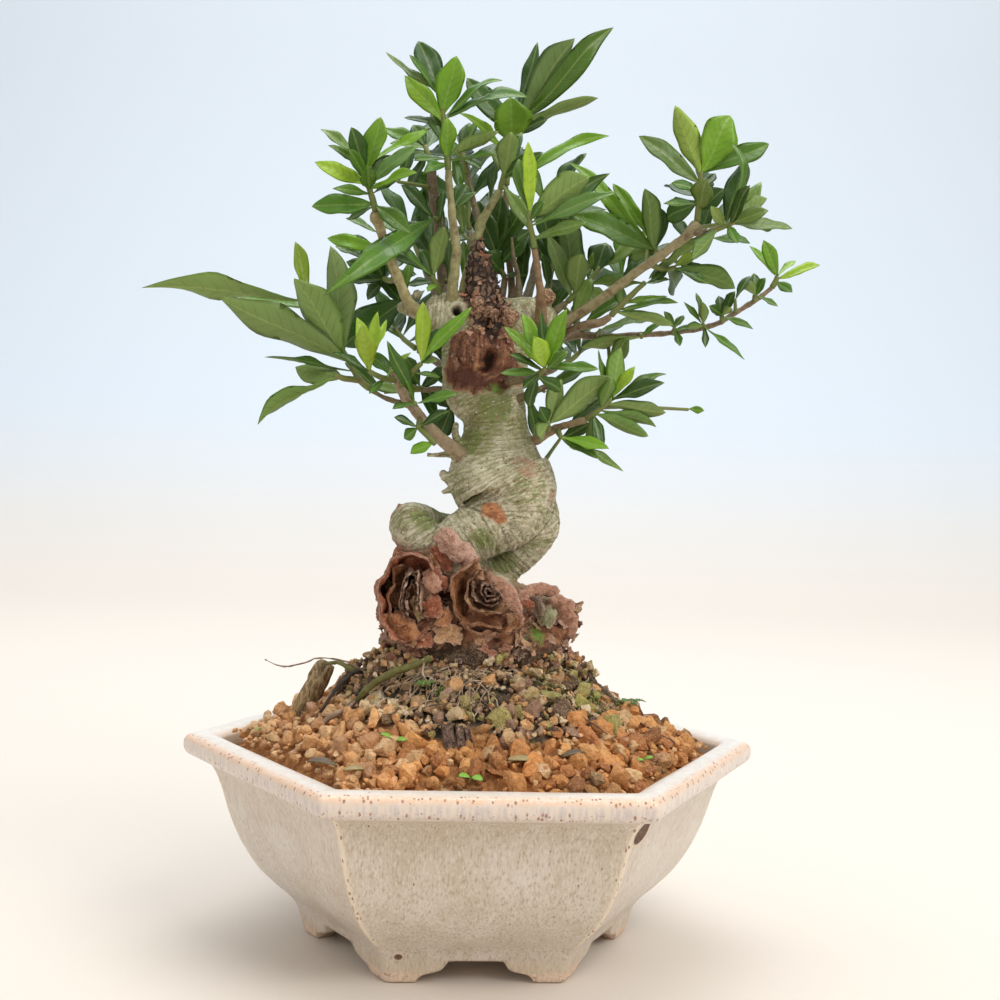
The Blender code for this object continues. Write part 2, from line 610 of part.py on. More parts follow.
def soil_sockets(group):
    """What the soil gives way to: the root crown, the roots, the dead stub and the chip, each a gap wider."""
    sockets = [root_crown(group, GAP + 0.2)]
    for name, points in ROOTS.items():
        sockets.append(socket_tube("socket_" + name, points, group))
    for name in ("lobe_low", "root_front", "lobe"):
        x, z, back, *size = LUMPS[name]
        sockets.append(blob("socket_" + name, seen(x, z, back), [s + GAP + 0.1 for s in size], group, 2))
    for name in ("roll_left", "roll_middle"):
        x, z, front, back, outer, *rest = BARK_ROLLS[name]
        sockets.append(blob("socket_" + name, seen(x, z, (front + back) / 2),
                            [outer + 3.0, (back - front) / 2 + 4.0, outer + 3.0], group, 2))
    for_trunk = boolean(sockets[0], sockets[1:], "UNION", group, "MANIFOLD")
    for_stub = socket_tube("socket_stub", DEAD_STUB, group)
    for_chip = chip_box("socket_chip", GAP + 0.1, group)
    return [for_trunk, for_stub, for_chip]


# The leafy shoots

# Each shoot has its green stems, as rows of x, z and back, and its leaves, as rows of the stem's number,
# the place along it, the tip's x and z, the tip's depth behind the leaf's foot, the leaf's width, its roll
# (0 shows the top face in front, 90 turns it up, 180 shows the underside) and how far it arches.
SHOOTS = {
    "shoot_left_outer": (
        [[(-36.6, 175.6, -7), (-40, 178.4, -7), (-44, 185, -5), (-50.5, 195, -3), (-56.5, 202.5, -2)],
         [(-39.5, 178, -7), (-44.5, 178.4, -9), (-47.6, 179.4, -10)]],
        [(0, 1.0, -110.3, 205.0, 4, 9.0, 130, 0.05), (0, 1.0, -61.5, 221.5, 2, 5.0, 20, 0.02),
         (0, 0.9, -79.0, 203.0, 8, 6.0, 60, 0.03), (0, 0.3, -85.5, 204.0, -5, 10.5, 150, 0.03),
         (0, 0.38, -61.6, 209.8, -14, 12.5, 165, 0.05), (0, 0.42, -50.3, 220.5, -6, 11.0, 150, 0.04),
         (0, 0.2, -70.6, 184.4, -5, 4.0, 80, 0.03), (1, 1.0, -72.0, 162.6, -5, 8.0, 120, 0.09),
         (1, 0.7, -60.4, 181.6, 10, 8.5, 170, 0.03)]),
    "shoot_left_bright": (
        [[(-28, 178.4, -6), (-32.5, 179, -9), (-36.8, 181, -10)]],
        [(0, 1.0, -34.6, 200.2, -1, 4.0, 20, 0.03), (0, 1.0, -41.2, 198.2, 4, 4.6, 30, 0.02),
         (0, 1.0, -39.4, 196.0, -6, 6.2, 10, 0.04), (0, 1.0, -31.6, 197.8, -4, 3.6, 50, 0.03),
         (0, 0.5, -23.4, 187.6, -5, 3.4, 65, 0.02), (0, 0.5, -36.6, 173.8, -3, 3.0, 30, 0.02),
         (0, 0.9, -49.0, 186.6, -2, 3.4, 65, 0.03)]),
    "shoot_left_inner": (
        [[(-26.6, 176.8, -6), (-24.5, 179.5, -9), (-20.3, 184, -11)]],
        [(0, 1.0, -20.3, 203.8, -2, 5.2, 10, 0.03), (0, 1.0, -4.6, 202.6, -5, 4.6, 25, 0.03),
         (0, 1.0, -13.3, 196.0, 0, 4.6, 30, 0.03), (0, 1.0, -15.2, 185.0, -4, 3.2, 60, 0.03),
         (0, 0.7, -13.8, 179.8, -2, 3.2, 70, 0.02)]),
    "spur_left_low": (
        [[(-20, 165.6, -6), (-20.6, 163.6, -9.5)], [(-20.4, 164, -9), (-15, 158.4, -10)]],
        [(0, 1.0, -10.6, 169.2, -2, 4.0, 40, 0.06), (0, 1.0, -28.4, 166.6, -2, 3.4, 40, 0.03),
         (0, 1.0, -25.0, 159.8, 1, 4.0, 20, 0.02), (1, 0.9, -22.8, 155.0, -1, 4.0, 25, 0.03)]),
    "spur_left_mid": (
        [[(-23, 171.4, -6), (-21.8, 171.2, -9.5)]],
        [(0, 1.0, -7.8, 174.6, -3, 4.2, 45, 0.04), (0, 1.0, -29.0, 169.2, -2, 3.6, 55, 0.03),
         (0, 1.0, -31.4, 191.0, 3, 4.8, 30, 0.03), (0, 0.8, -25.0, 178.6, -4, 2.8, 50, 0.02)]),
    "spur_left_behind": (
        [[(-19.4, 175.8, 5), (-20.4, 176.4, 6.6)]],
        [(0, 1.0, -8.2, 169.4, -2, 4.8, 35, 0.03), (0, 1.0, -14.4, 166.2, 0, 4.6, 30, 0.03),
         (0, 1.0, -11.8, 182.6, 3, 5.0, 30, 0.03), (0, 1.0, -25.6, 186.4, 4, 5.2, 25, 0.03),
         (0, 1.0, -31.0, 180.6, 2, 4.8, 35, 0.03)]),
    "shoot_knob_left": (
        [[(-14, 203.6, -1), (-15.8, 208.6, -2), (-17.5, 212, -2)]],
        [(0, 1.0, -14.0, 227.8, -3, 6.6, 160, 0.05), (0, 1.0, -30.2, 221.8, -5, 4.2, 55, 0.03),
         (0, 0.8, -25.8, 209.0, 3, 4.4, 55, 0.03), (0, 0.7, -18.8, 207.0, -6, 2.6, 30, 0.03)]),
    "spur_crown_left_foot": (
        [[(-25.4, 204.4, -2), (-26.2, 204.4, 1.5)]],
        [(0, 1.0, -45.4, 188.6, 4, 13.0, 25, 0.04), (0, 1.0, -31.0, 197.2, 5, 4.8, 55, 0.03),
         (0, 1.0, -33.0, 217.0, 2, 4.2, 35, 0.03), (0, 1.0, -24.6, 216.8, 6, 4.2, 35, 0.03)]),
    "shoot_behind_left": (
        [[(-29, 210.6, -3.4), (-31, 210, 0), (-33, 210.6, 3)]],
        [(0, 1.0, -43.8, 209.2, -3, 4.4, 40, 0.03), (0, 1.0, -45.2, 215.6, 2, 5.6, 30, 0.04),
         (0, 1.0, -39.6, 222.2, 4, 7.4, 25, 0.03), (0, 1.0, -32.8, 224.0, 8, 7.2, 30, 0.03),
         (0, 0.9, -26.4, 220.8, 10, 6.6, 35, 0.03), (0, 0.8, -22.6, 212.6, 6, 4.8, 40, 0.03),
         (0, 1.0, -38.0, 203.6, 2, 4.8, 40, 0.03)]),
    "spur_crown_left_mid": (
        [[(-32, 219.4, -4.4), (-34, 219.8, -1)]],
        [(0, 1.0, -51.4, 222.8, 2, 5.2, 20, 0.04), (0, 1.0, -45.2, 223.6, 8, 3.4, 50, 0.03),
         (0, 1.0, -20.4, 213.8, 6, 4.2, 45, 0.03)]),
    "shoot_crown_left": (
        [[(-36.2, 232, -7), (-37.2, 235.4, -8), (-38.4, 239, -8), (-39.6, 243, -8), (-40.3, 247, -8)]],
        [(0, 0.15, -56.6, 232.7, -4, 7.0, 20, 0.03), (0, 0.12, -24.8, 225.3, 6, 6.6, 30, 0.05),
         (0, 0.12, -45.2, 228.8, 3, 3.6, 50, 0.03), (0, 0.75, -35.4, 261.8, -1, 7.0, 15, 0.04),
         (0, 0.8, -44.8, 258.2, -5, 6.4, 25, 0.04), (0, 0.95, -54.6, 257.2, 4, 4.0, 45, 0.08),
         (0, 0.95, -52.0, 252.2, -5, 3.0, 55, 0.02), (0, 0.55, -56.0, 246.8, -8, 5.4, 20, 0.05),
         (0, 0.6, -45.6, 251.6, -8, 4.2, 20, 0.03), (0, 0.55, -23.6, 252.8, -4, 5.8, 35, 0.06),
         (0, 0.5, -23.4, 244.6, -8, 4.0, 40, 0.05), (0, 0.35, -29.0, 242.2, -3, 3.2, 55, 0.04),
         (0, 0.45, -39.2, 246.4, -15, 5.2, 10, 0.05), (0, 0.35, -50.2, 238.6, -6, 3.4, 30, 0.06),
         (0, 0.9, -19.4, 258.8, 6, 3.4, 40, 0.04), (0, 0.7, -31.8, 249.8, 4, 4.4, 35, 0.03)]),
    "shoot_crown_a": (
        [[(-13.5, 246, -6), (-14.2, 252, -6), (-15.2, 259, -5), (-16.2, 266, -5), (-16.8, 270, -5)]],
        [(0, 0.95, -24.3, 286.0, 4, 8.8, 25, 0.03), (0, 0.68, -12.0, 281.8, -5, 9.0, 10, 0.04),
         (0, 0.62, -28.3, 275.0, -6, 6.2, 15, 0.03), (0, 1.0, -34.6, 282.3, 3, 3.4, 45, -0.06),
         (0, 0.95, -27.0, 281.6, -5, 3.8, 50, 0.02), (0, 0.7, 3.0, 274.6, -2, 4.2, 55, 0.12),
         (0, 0.66, 11.6, 269.4, -8, 7.0, 62, 0.13), (0, 0.6, -28.2, 261.8, 3, 3.8, 55, 0.03),
         (0, 0.3, -19.6, 263.4, 6, 5.8, 25, 0.02), (0, 0.1, -14.4, 262.6, -8, 5.4, 10, 0.04),
         (0, 0.16, 2.2, 258.6, -8, 5.2, 140, 0.03), (0, 0.1, 2.2, 251.2, -9, 3.8, 60, 0.03),
         (0, 0.14, -24.6, 248.4, -3, 4.0, 60, 0.04), (0, 0.08, -21.6, 244.0, -9, 4.2, 35, 0.14)]),
    "spur_crown_a": (
        [[(-11.8, 232, -5), (-11.4, 233.2, -1.5)]],
        [(0, 1.0, -4.2, 239.2, -2, 3.4, 55, 0.03), (0, 1.0, -7.3, 241.5, 5, 6.6, 30, 0.03)]),
    "shoot_crown_c": (
        [[(-19.1, 247.2, 8), (-20, 250.4, 8), (-21, 253, 9)]],
        [(0, 0.7, -29.6, 248.3, -4, 5.0, 40, 0.03), (0, 1.0, -25.2, 259.6, 3, 5.8, 25, 0.03),
         (0, 1.0, -34.4, 258.2, 6, 5.2, 40, 0.03), (0, 0.9, -32.4, 253.4, 0, 4.4, 55, 0.03),
         (0, 0.5, -26.0, 238.4, 2, 4.8, 20, 0.04), (0, 0.9, -16.0, 262.0, 14, 8.0, 30, 0.04),
         (0, 0.8, -24.0, 255.0, 26, 9.0, 60, 0.05), (0, 0.7, -10.0, 249.0, 18, 8.0, 60, 0.05)]),
    "spur_crown_c_high": (
        [[(-16.2, 230, 7.6), (-17.4, 230.4, 5.2)]],
        [(0, 1.0, -52.4, 204.2, -18, 8.0, 45, 0.13), (0, 1.0, -28.4, 240.6, -4, 5.4, 30, 0.03)]),
    "spur_crown_c": (
        [[(-15.8, 217.6, 8), (-17.2, 217.6, 12)]],
        [(0, 1.0, -20.6, 240.0, 4, 10.0, 20, 0.03), (0, 1.0, -27.0, 229.0, 8, 8.0, 30, 0.04),
         (0, 1.0, -14.0, 231.0, 14, 8.0, 35, 0.04)]),
    "shoot_behind_middle": (
        [[(5.6, 212.6, 7), (3.6, 216, 6.8), (2.2, 219.6, 7)]],
        [(0, 0.1, -1.4, 220.2, -5, 8.2, 25, 0.04), (0, 1.0, 3.6, 238.4, -2, 9.2, 25, 0.03),
         (0, 0.8, -3.8, 236.4, -3, 8.2, 30, 0.03), (0, 0.9, 11.4, 236.4, -5, 8.8, 30, 0.03),
         (0, 0.5, 12.8, 226.0, -5, 8.0, 35, 0.04), (0, 0.1, 12.6, 213.4, -6, 5.8, 40, 0.03)]),
    "shoot_behind_right": (
        [[(19.8, 211.6, 6.4), (20.6, 215.6, 7.4), (21, 219.6, 8)]],
        [(0, 1.0, 24.8, 240.2, 3, 8.6, 25, 0.03), (0, 0.9, 15.6, 237.4, 3, 7.8, 30, 0.03),
         (0, 0.7, 30.4, 232.4, 1, 8.8, 30, 0.04), (0, 0.5, 12.4, 226.4, 3, 6.8, 35, 0.04),
         (0, 0.4, 28.0, 221.4, 2, 7.4, 35, 0.03), (0, 0.1, 24.0, 207.4, 0, 6.2, 35, 0.03)]),
    "shoot_crown_b_left": (
        [[(-7.4, 245.2, 2), (-8.6, 249, 2), (-9.6, 252.6, 2)]],
        [(0, 1.0, -4.0, 262.5, 3, 3.0, 45, 0.02), (0, 0.8, -7.2, 261.0, 6, 5.0, 25, 0.02),
         (0, 0.7, -3.0, 246.4, -3, 4.0, 40, 0.03), (0, 0.6, -10.0, 256.0, 22, 8.0, 60, 0.05),
         (0, 1.0, 0.0, 258.0, 16, 7.0, 50, 0.05)]),
    "shoot_crown_b_right": (
        [[(3.5, 240.6, -3), (4, 243.5, -4), (4.6, 246.5, -4)]],
        [(0, 0.6, 6.2, 258.5, -8, 7.4, 165, 0.03), (0, 0.5, 16.6, 252.4, -10, 5.4, 30, 0.05),
         (0, 0.6, 37.6, 258.4, -6, 5.4, 35, 0.06), (0, 0.8, -0.6, 252.8, -3, 4.0, 45, 0.02),
         (0, 0.35, 14.0, 226.4, -4, 5.0, 30, 0.05), (0, 0.9, 9.6, 258.6, 4, 5.0, 30, 0.02)]),
    "shoot_crown_f": (
        [[(5.2, 241.8, 9), (5.6, 250, 9), (7, 258, 8), (8, 262.5, 8)]],
        [(0, 0.6, 5.5, 269.5, -8, 13.0, 10, 0.06), (0, 0.95, 25.4, 288.7, -3, 11.2, 150, 0.03),
         (0, 0.97, 37.8, 293.3, 4, 8.2, 30, 0.10), (0, 1.0, 13.6, 287.2, 6, 4.6, 30, 0.02),
         (0, 0.85, 33.6, 270.2, -6, 5.8, 140, 0.04), (0, 0.8, 17.6, 262.8, 0, 5.0, 30, 0.03),
         (0, 0.5, -10.6, 263.8, -2, 3.8, 40, 0.03), (0, 0.75, -8.6, 275.0, 4, 8.6, 25, 0.03),
         (0, 0.9, 10.0, 272.0, 24, 9.0, 55, 0.05), (0, 0.4, 16.0, 250.0, 22, 9.0, 60, 0.05)]),
    "shoot_crown_e": (
        [[(14.8, 222.2, -8), (13.9, 226, -8), (13, 230, -9), (12.7, 233.5, -9)]],
        [(0, 0.9, 11.6, 255.7, -4, 4.8, 15, 0.02), (0, 0.85, 31.6, 245.2, -5, 10.6, 160, 0.05),
         (0, 0.95, 8.8, 250.2, 3, 5.8, 30, 0.03), (0, 0.2, 31.2, 230.8, -6, 5.4, 30, 0.06),
         (0, 0.6, 40.6, 240.6, -4, 5.2, 35, 0.05), (0, 0.7, 38.2, 246.6, 3, 5.4, 35, -0.05),
         (0, 0.5, 9.0, 224.0, 3, 4.4, 30, 0.03), (0, 0.8, 17.6, 237.0, -6, 3.4, 30, 0.03)]),
    "shoot_right_inner": (
        [[(26, 205.4, 3), (29.5, 209, 4), (33, 212.5, 5), (36, 216.5, 6)]],
        [(0, 0.1, 19.0, 226.2, -3, 6.2, 25, 0.03), (0, 0.2, 29.8, 220.8, -10, 8.2, 165, 0.03),
         (0, 0.35, 22.8, 233.3, 4, 9.6, 165, 0.02), (0, 0.7, 23.6, 233.0, 9, 3.4, 55, 0.02),
         (0, 0.85, 37.6, 224.6, 4, 9.4, 20, 0.03), (0, 1.0, 53.8, 230.6, 2, 5.4, 30, -0.04),
         (0, 0.6, 33.6, 221.5, -2, 3.0, 20, 0.02), (0, 0.5, 38.0, 205.0, 4, 6.0, 40, 0.03),
         (0, 0.6, 44.0, 214.0, 20, 8.0, 60, 0.05)]),
    "spur_right_high": (
        [[(54, 221, -7.6), (53.8, 222.6, -4)]],
        [(0, 1.0, 26.4, 232.9, 5, 9.4, 30, 0.06), (0, 1.0, 53.6, 237.0, 2, 7.4, 25, 0.03),
         (0, 0.8, 49.4, 242.2, -3, 7.2, 155, 0.03), (0, 1.0, 24.6, 249.6, 12, 5.0, 35, 0.08),
         (0, 1.0, 45.6, 220.0, 6, 5.2, 30, 0.03)]),
    "shoot_right_high": (
        [[(66.5, 232.4, -11), (66.8, 238, -12), (67, 244, -12), (67.2, 248, -12)]],
        [(0, 0.75, 46.8, 258.7, -3, 7.2, 30, 0.04), (0, 0.9, 58.0, 268.8, 3, 9.0, 160, 0.03),
         (0, 1.0, 78.0, 264.3, 2, 12.6, 15, 0.05), (0, 0.95, 88.6, 257.7, 4, 6.2, 30, 0.07),
         (0, 0.65, 57.8, 244.2, -3, 3.6, 30, 0.02), (0, 0.35, 55.4, 237.6, -4, 2.8, 45, 0.03),
         (0, 0.4, 56.4, 232.6, 9, 8.2, 30, 0.04), (0, 0.25, 69.2, 246.0, -8, 7.4, 15, 0.03),
         (0, 0.2, 74.8, 243.0, -2, 6.6, 25, 0.03),
         (0, 0.6, 71.8, 247.8, 4, 4.0, 30, 0.02), (0, 0.6, 66.0, 252.0, 24, 9.0, 60, 0.05),
         (0, 0.5, 56.0, 243.0, 22, 8.0, 60, 0.05)]),
    "shoot_right_fork": (
        [[(70.4, 228.9, -12), (74.6, 230.8, -12), (78.5, 232.5, -12)]],
        [(0, 0.9, 76.0, 257.6, -2, 4.2, 40, 0.24), (0, 0.7, 81.2, 252.3, 4, 7.2, 25, 0.03),
         (0, 0.8, 83.0, 244.4, -5, 4.8, 30, 0.03), (0, 0.9, 88.7, 240.4, 6, 6.2, 150, 0.03),
         (0, 0.9, 89.3, 236.6, -3, 5.4, 30, 0.03), (0, 0.95, 97.2, 231.1, 3, 5.0, 45, 0.02),
         (0, 0.7, 79.8, 225.8, -4, 3.8, 30, 0.03), (0, 0.6, 70.6, 237.4, -8, 4.0, 20, 0.04),
         (0, 0.35, 65.2, 220.4, -4, 5.2, 150, 0.03), (0, 0.2, 51.6, 213.4, 2, 5.4, 150, 0.02),
         (0, 0.6, 80.0, 240.0, 24, 8.6, 60, 0.05), (0, 0.8, 90.0, 231.0, 18, 8.0, 60, 0.05)]),
    "shoot_right_middle": (
        [[(53, 217.8, -7), (56.5, 216.6, -4), (60, 217.4, -3)]],
        [(0, 1.0, 79.6, 211.4, -4, 8.2, 150, 0.12), (0, 1.0, 66.0, 222.6, 3, 3.8, 30, 0.02),
         (0, 0.8, 52.4, 213.0, -6, 3.4, 30, 0.02), (0, 0.9, 71.6, 212.4, -3, 3.6, 55, 0.03),
         (0, 0.8, 60.0, 210.0, 18, 8.0, 50, 0.05)]),
    "shoot_right_twig": (
        [[(40.2, 201.6, -4), (44.3, 206, -5), (47.2, 209, -5), (50.5, 212.3, -5)]],
        [(0, 0.1, 60.2, 198.9, -4, 5.2, 140, 0.04), (0, 0.3, 58.0, 208.2, 3, 2.8, 45, 0.03),
         (0, 0.2, 61.6, 206.2, -6, 3.2, 45, 0.05), (0, 0.25, 43.0, 211.4, 5, 4.4, 150, 0.02),
         (0, 1.0, 33.6, 211.2, 4, 5.2, 140, 0.04), (0, 1.0, 58.6, 213.6, 4, 3.4, 55, 0.03)]),
    "spur_right_low_50": (
        [[(50, 195.4, 5.6), (50, 195, 3.8)]],
        [(0, 1.0, 30.4, 190.6, -3, 4.8, 140, 0.03), (0, 1.0, 57.0, 200.0, -2, 3.0, 50, 0.03)]),
    "spur_right_low_60": (
        [[(60.3, 196.6, 6.1), (60.6, 197.8, 4.4)]],
        [(0, 1.0, 57.0, 203.4, -3, 3.0, 30, 0.03), (0, 1.0, 63.4, 202.4, 2, 2.8, 30, 0.02),
         (0, 1.0, 65.6, 198.4, -3, 2.8, 45, 0.02), (0, 1.0, 62.6, 192.4, -3, 3.0, 30, 0.02)]),
    "spur_right_low_70": (
        [[(69.8, 198.5, 6.3), (69.8, 199.4, 4.6)]],
        [(0, 1.0, 67.0, 209.8, 3, 3.0, 45, 0.02), (0, 1.0, 69.4, 206.9, -4, 3.8, 160, 0.02),
         (0, 1.0, 63.2, 206.7, -3, 2.6, 50, 0.02), (0, 1.0, 70.8, 192.2, -2, 2.8, 35, 0.02),
         (0, 1.0, 83.7, 188.6, -4, 3.0, 55, 0.02), (0, 1.0, 64.2, 198.6, -4, 3.2, 150, 0.02)]),
    "spur_right_low_76": (
        [[(76, 201, 6.7), (75.6, 202.6, 5)]],
        [(0, 1.0, 71.4, 205.6, -3, 3.6, 30, 0.02), (0, 1.0, 74.4, 209.0, 3, 3.8, 30, 0.02),
         (0, 1.0, 79.6, 210.6, 2, 4.0, 30, 0.02), (0, 1.0, 78.4, 205.4, -5, 3.6, 150, 0.02),
         (0, 1.0, 86.0, 198.6, -2, 3.2, 50, 0.03)]),
    "spur_right_low_86": (
        [[(86, 207.8, 7.2), (86, 209.4, 5.6)]],
        [(0, 1.0, 82.4, 214.0, -3, 4.4, 150, 0.02), (0, 1.0, 85.4, 216.6, 3, 3.8, 30, 0.02),
         (0, 1.0, 89.2, 215.2, -2, 3.4, 30, 0.02), (0, 1.0, 93.6, 206.2, -3, 2.6, 50, 0.02)]),
    "shoot_right_low_end": (
        [[(91.4, 212.2, 7.4), (92.4, 214, 7.4), (92.8, 215.6, 7.4)]],
        [(0, 1.0, 88.0, 227.2, -3, 5.2, 15, 0.03), (0, 1.0, 83.5, 225.2, 3, 2.8, 45, 0.02),
         (0, 0.9, 106.6, 219.8, -1, 4.0, 35, 0.05), (0, 1.0, 98.6, 221.0, 5, 2.8, 45, 0.05),
         (0, 0.6, 98.0, 210.8, -3, 3.8, 30, 0.02)]),
    "shoot_right_bright": (
        [[(16, 181.2, -11.6), (18, 182.4, -13), (19.6, 183.6, -14)]],
        [(0, 1.0, 5.8, 196.8, -3, 4.2, 35, 0.03), (0, 1.0, 11.6, 201.0, 1, 4.6, 30, 0.03),
         (0, 1.0, 17.4, 202.4, 4, 4.4, 30, 0.02), (0, 1.0, 15.6, 194.0, -9, 6.2, 10, 0.05),
         (0, 1.0, 25.8, 203.0, -3, 5.8, 20, 0.04), (0, 1.0, 26.8, 189.6, -2, 4.2, 30, 0.04),
         (0, 1.0, 36.8, 184.2, -3, 4.2, 35, 0.06), (0, 0.6, 5.0, 181.8, -6, 3.4, 35, 0.03),
         (0, 0.8, 7.8, 188.0, -5, 3.2, 40, 0.03), (0, 0.6, 12.8, 177.0, -3, 3.6, 35, 0.04),
         (0, 0.3, 25.0, 176.6, 5, 4.8, 30, 0.03), (0, 0.2, 15.0, 170.8, 8, 4.8, 30, 0.03)]),
    "shoot_right_under": (
        [[(33.6, 168.2, -5), (36, 170, -6), (38.5, 172.3, -6), (41, 174.5, -6)],
         [(38.2, 172, -6), (46, 172.4, 0), (56, 172.4, 5), (66, 172.2, 7)]],
        [(0, 0.9, 58.8, 183.4, 6, 3.8, 45, 0.08), (0, 1.0, 43.6, 191.4, 5, 6.6, 160, 0.02),
         (0, 0.8, 36.4, 190.6, 3, 3.4, 45, 0.02), (0, 1.0, 48.4, 185.5, -4, 4.2, 30, 0.02),
         (0, 1.0, 58.1, 180.6, 3, 5.6, 35, 0.04), (0, 0.8, 58.9, 171.0, -6, 5.2, 150, 0.06),
         (0, 0.5, 56.0, 166.2, -6, 4.2, 150, 0.08), (0, 0.35, 53.6, 163.2, -3, 5.4, 150, 0.04),
         (0, 0.2, 36.0, 158.0, 3, 5.2, 170, 0.02), (0, 0.3, 38.6, 158.4, -4, 4.6, 25, 0.02),
         (0, 0.6, 41.0, 181.4, -9, 5.2, 160, 0.02), (1, 1.0, 71.2, 172.0, 1, 2.6, 20, 0.02)]),
    "spur_right_under_big": (
        [[(21.4, 164.4, -3.4), (21, 166, -7)]],
        [(0, 1.0, 41.4, 181.8, -6, 9.8, 155, 0.08), (0, 1.0, 25.0, 180.6, 3, 6.2, 160, 0.03),
         (0, 0.9, 18.2, 171.6, -5, 5.2, 30, 0.03), (0, 1.0, 18.0, 162.0, -9, 5.6, 150, 0.03)]),
    "shoot_lower_right": (
        [[(24.4, 163.8, -4), (25.4, 162, -7)]],
        [(0, 1.0, 41.1, 158.8, -5, 4.2, 30, 0.03), (0, 1.0, 33.6, 158.0, 0, 4.0, 140, 0.02),
         (0, 1.0, 37.4, 155.4, -3, 3.6, 35, 0.03), (0, 0.8, 46.0, 151.6, 2, 3.2, 50, 0.03)]),
}
# the shoots at the back, which the front view hides: stems as above, then how many leaves, how long they
# are, and where the first one points
BACK_SHOOTS = {
    "back_shoot_left": ([(-20.6, 215.4, 28), (-23, 221, 34), (-25, 228, 38)], 6, 27, 10),
    "back_shoot_middle": ([(-6.2, 227.4, 29), (-6.6, 234, 33), (-7, 242, 36)], 6, 28, 40),
    "back_shoot_right": ([(16.4, 223.4, 30), (18, 230, 34), (19, 237, 37)], 6, 28, 20),
    "back_shoot_far_right": ([(35.2, 206.8, 28.4), (40, 210, 33), (45, 214, 37)], 6, 27, 60),
    "back_shoot_low_left": ([(-22.2, 188.8, 29), (-26, 191.6, 34), (-29, 195, 38)], 6, 24, 30),
    "back_shoot_low_right": ([(24.2, 184.6, 28.4), (28, 187, 33), (31, 190, 37)], 6, 24, 80),
}
GOLDEN_ANGLE = 137.5
FOOT_SPREAD = 0.25         # the leaves' feet lie this far off the stem's middle, each its own way
SHIFTS = (0, 3, -3, 6, -6, 9, -9, 13, -13, 18, -18, 24, -24)
TURNS = (0, 20, -20, 40, -40)


def stem_point(rows, place):
    """The point at a share of the stem's whole length."""
    points = [seen(*row) for row in rows]
    lengths = [(b - a).length for a, b in zip(points, points[1:])]
    left = place * sum(lengths)
    for a, b, length in zip(points, points[1:], lengths):
        if left <= length:
            return a.lerp(b, left / length)
        left -= length
    return points[-1].copy()


def leaf_axes(foot, tip, roll):
    """Unit vectors along the leaf, out of its top face, and across it."""
    along = (tip - foot).normalized()
    middle = (foot + tip) / 2
    view = Vector((0.0, -EYE_AWAY, EYE_HEIGHT)) - middle
    front = (view - along * view.dot(along)).normalized()
    up = along.cross(front)
    if up.z < 0:
        up = -up
    angle = math.radians(roll)
    face = front * math.cos(angle) + up * math.sin(angle)
    return along, face, along.cross(face)


def leaf_outline(t):
    """Half-width of the blade, as a share, from foot (0) to tip (1): widest just past the middle."""
    return math.sin(math.pi * t ** 1.15) ** 0.85


def leaf_stations(length):
    if length > 30:
        return [0.0, 0.22, 0.5, 0.79, 1.0]
    if length > 15:
        return [0.0, 0.32, 0.68, 1.0]
    return [0.0, 0.5, 1.0]


def blade(leaf, grow=0.0, skip=0):
    """One leaf as a closed thin solid: a strip two cells wide, folded at its midrib, arched and waved."""
    foot, tip, width, roll, arch, phase = leaf
    along, face, across = leaf_axes(foot, tip, roll)
    length = (tip - foot).length + grow
    stations = leaf_stations(length)[skip:]
    bm = bmesh.new()
    bmesh.ops.create_grid(bm, x_segments=len(stations) - 1, y_segments=2, size=1.0)
    for vert in bm.verts:
        t = stations[round((vert.co.x + 1) / 2 * (len(stations) - 1))]
        side = round(vert.co.y)
        half = leaf_outline(t) * (LEAF_FULLNESS * width / 2 + grow)
        rise = 6.75 * arch * length * t * t * (1 - t) + abs(side) * half * LEAF_FOLD
        rise += side * LEAF_WAVE * length * math.sin(math.pi * t) * math.sin(8.0 * t + phase)
        vert.co = (foot + along * (length * t) + across * (side * half) + face * rise) * MM
    bmesh.ops.remove_doubles(bm, verts=bm.verts, dist=1e-7)
    bmesh.ops.triangulate(bm, faces=bm.faces, quad_method="FIXED")
    bmesh.ops.recalc_face_normals(bm, faces=bm.faces)
    thick = LEAF_THICK + 2 * grow
    bmesh.ops.translate(bm, verts=bm.verts, vec=face * (-thick / 2 * MM))
    lower = {vert: bm.verts.new(vert.co + face * (thick * MM)) for vert in list(bm.verts)}
    upper_faces = list(bm.faces)
    rim = [edge for edge in bm.edges if len(edge.link_faces) == 1]
    for old in upper_faces:
        bm.faces.new([lower[vert] for vert in reversed(old.verts)])
    for edge in rim:
        a, b = edge.verts
        bm.faces.new((a, b, lower[b]))
        bm.faces.new((a, lower[b], lower[a]))
    bmesh.ops.recalc_face_normals(bm, faces=bm.faces)
    return bm


def bvh_of(bm):
    tree = BVHTree.FromBMesh(bm)
    bm.free()
    return tree


def mesh_bvh(mesh):
    bm = bmesh.new()
    bm.from_mesh(mesh)
    return bvh_of(bm)


def outside(tree, place, clearance):
    """True where a point is at least that far outside a closed mesh."""
    found, normal, _, distance = tree.find_nearest(place * MM)
    return distance >= clearance * MM and (place * MM - found).dot(normal) > 0


def clear_start(points, radius, tree):
    """Moves a stem's start just under the nearest bark, then out until its end disc is a gap clear of it."""
    start, following = points[0], points[1]
    bark, normal, _, _ = tree.find_nearest(start * MM)
    start = (bark - normal * MM) / MM
    along = (following - start).normalized()
    aside = along.orthogonal().normalized()
    other = along.cross(aside)
    while (following - start).length > 0.6:
        rim = [start + (aside * math.cos(a) + other * math.sin(a)) * radius for a in np.linspace(0, 5.5, 8)]
        if all(outside(tree, place, GAP + 0.1) for place in [start] + rim):
            break
        start = start + along * 0.1
    return [start] + points[1:]


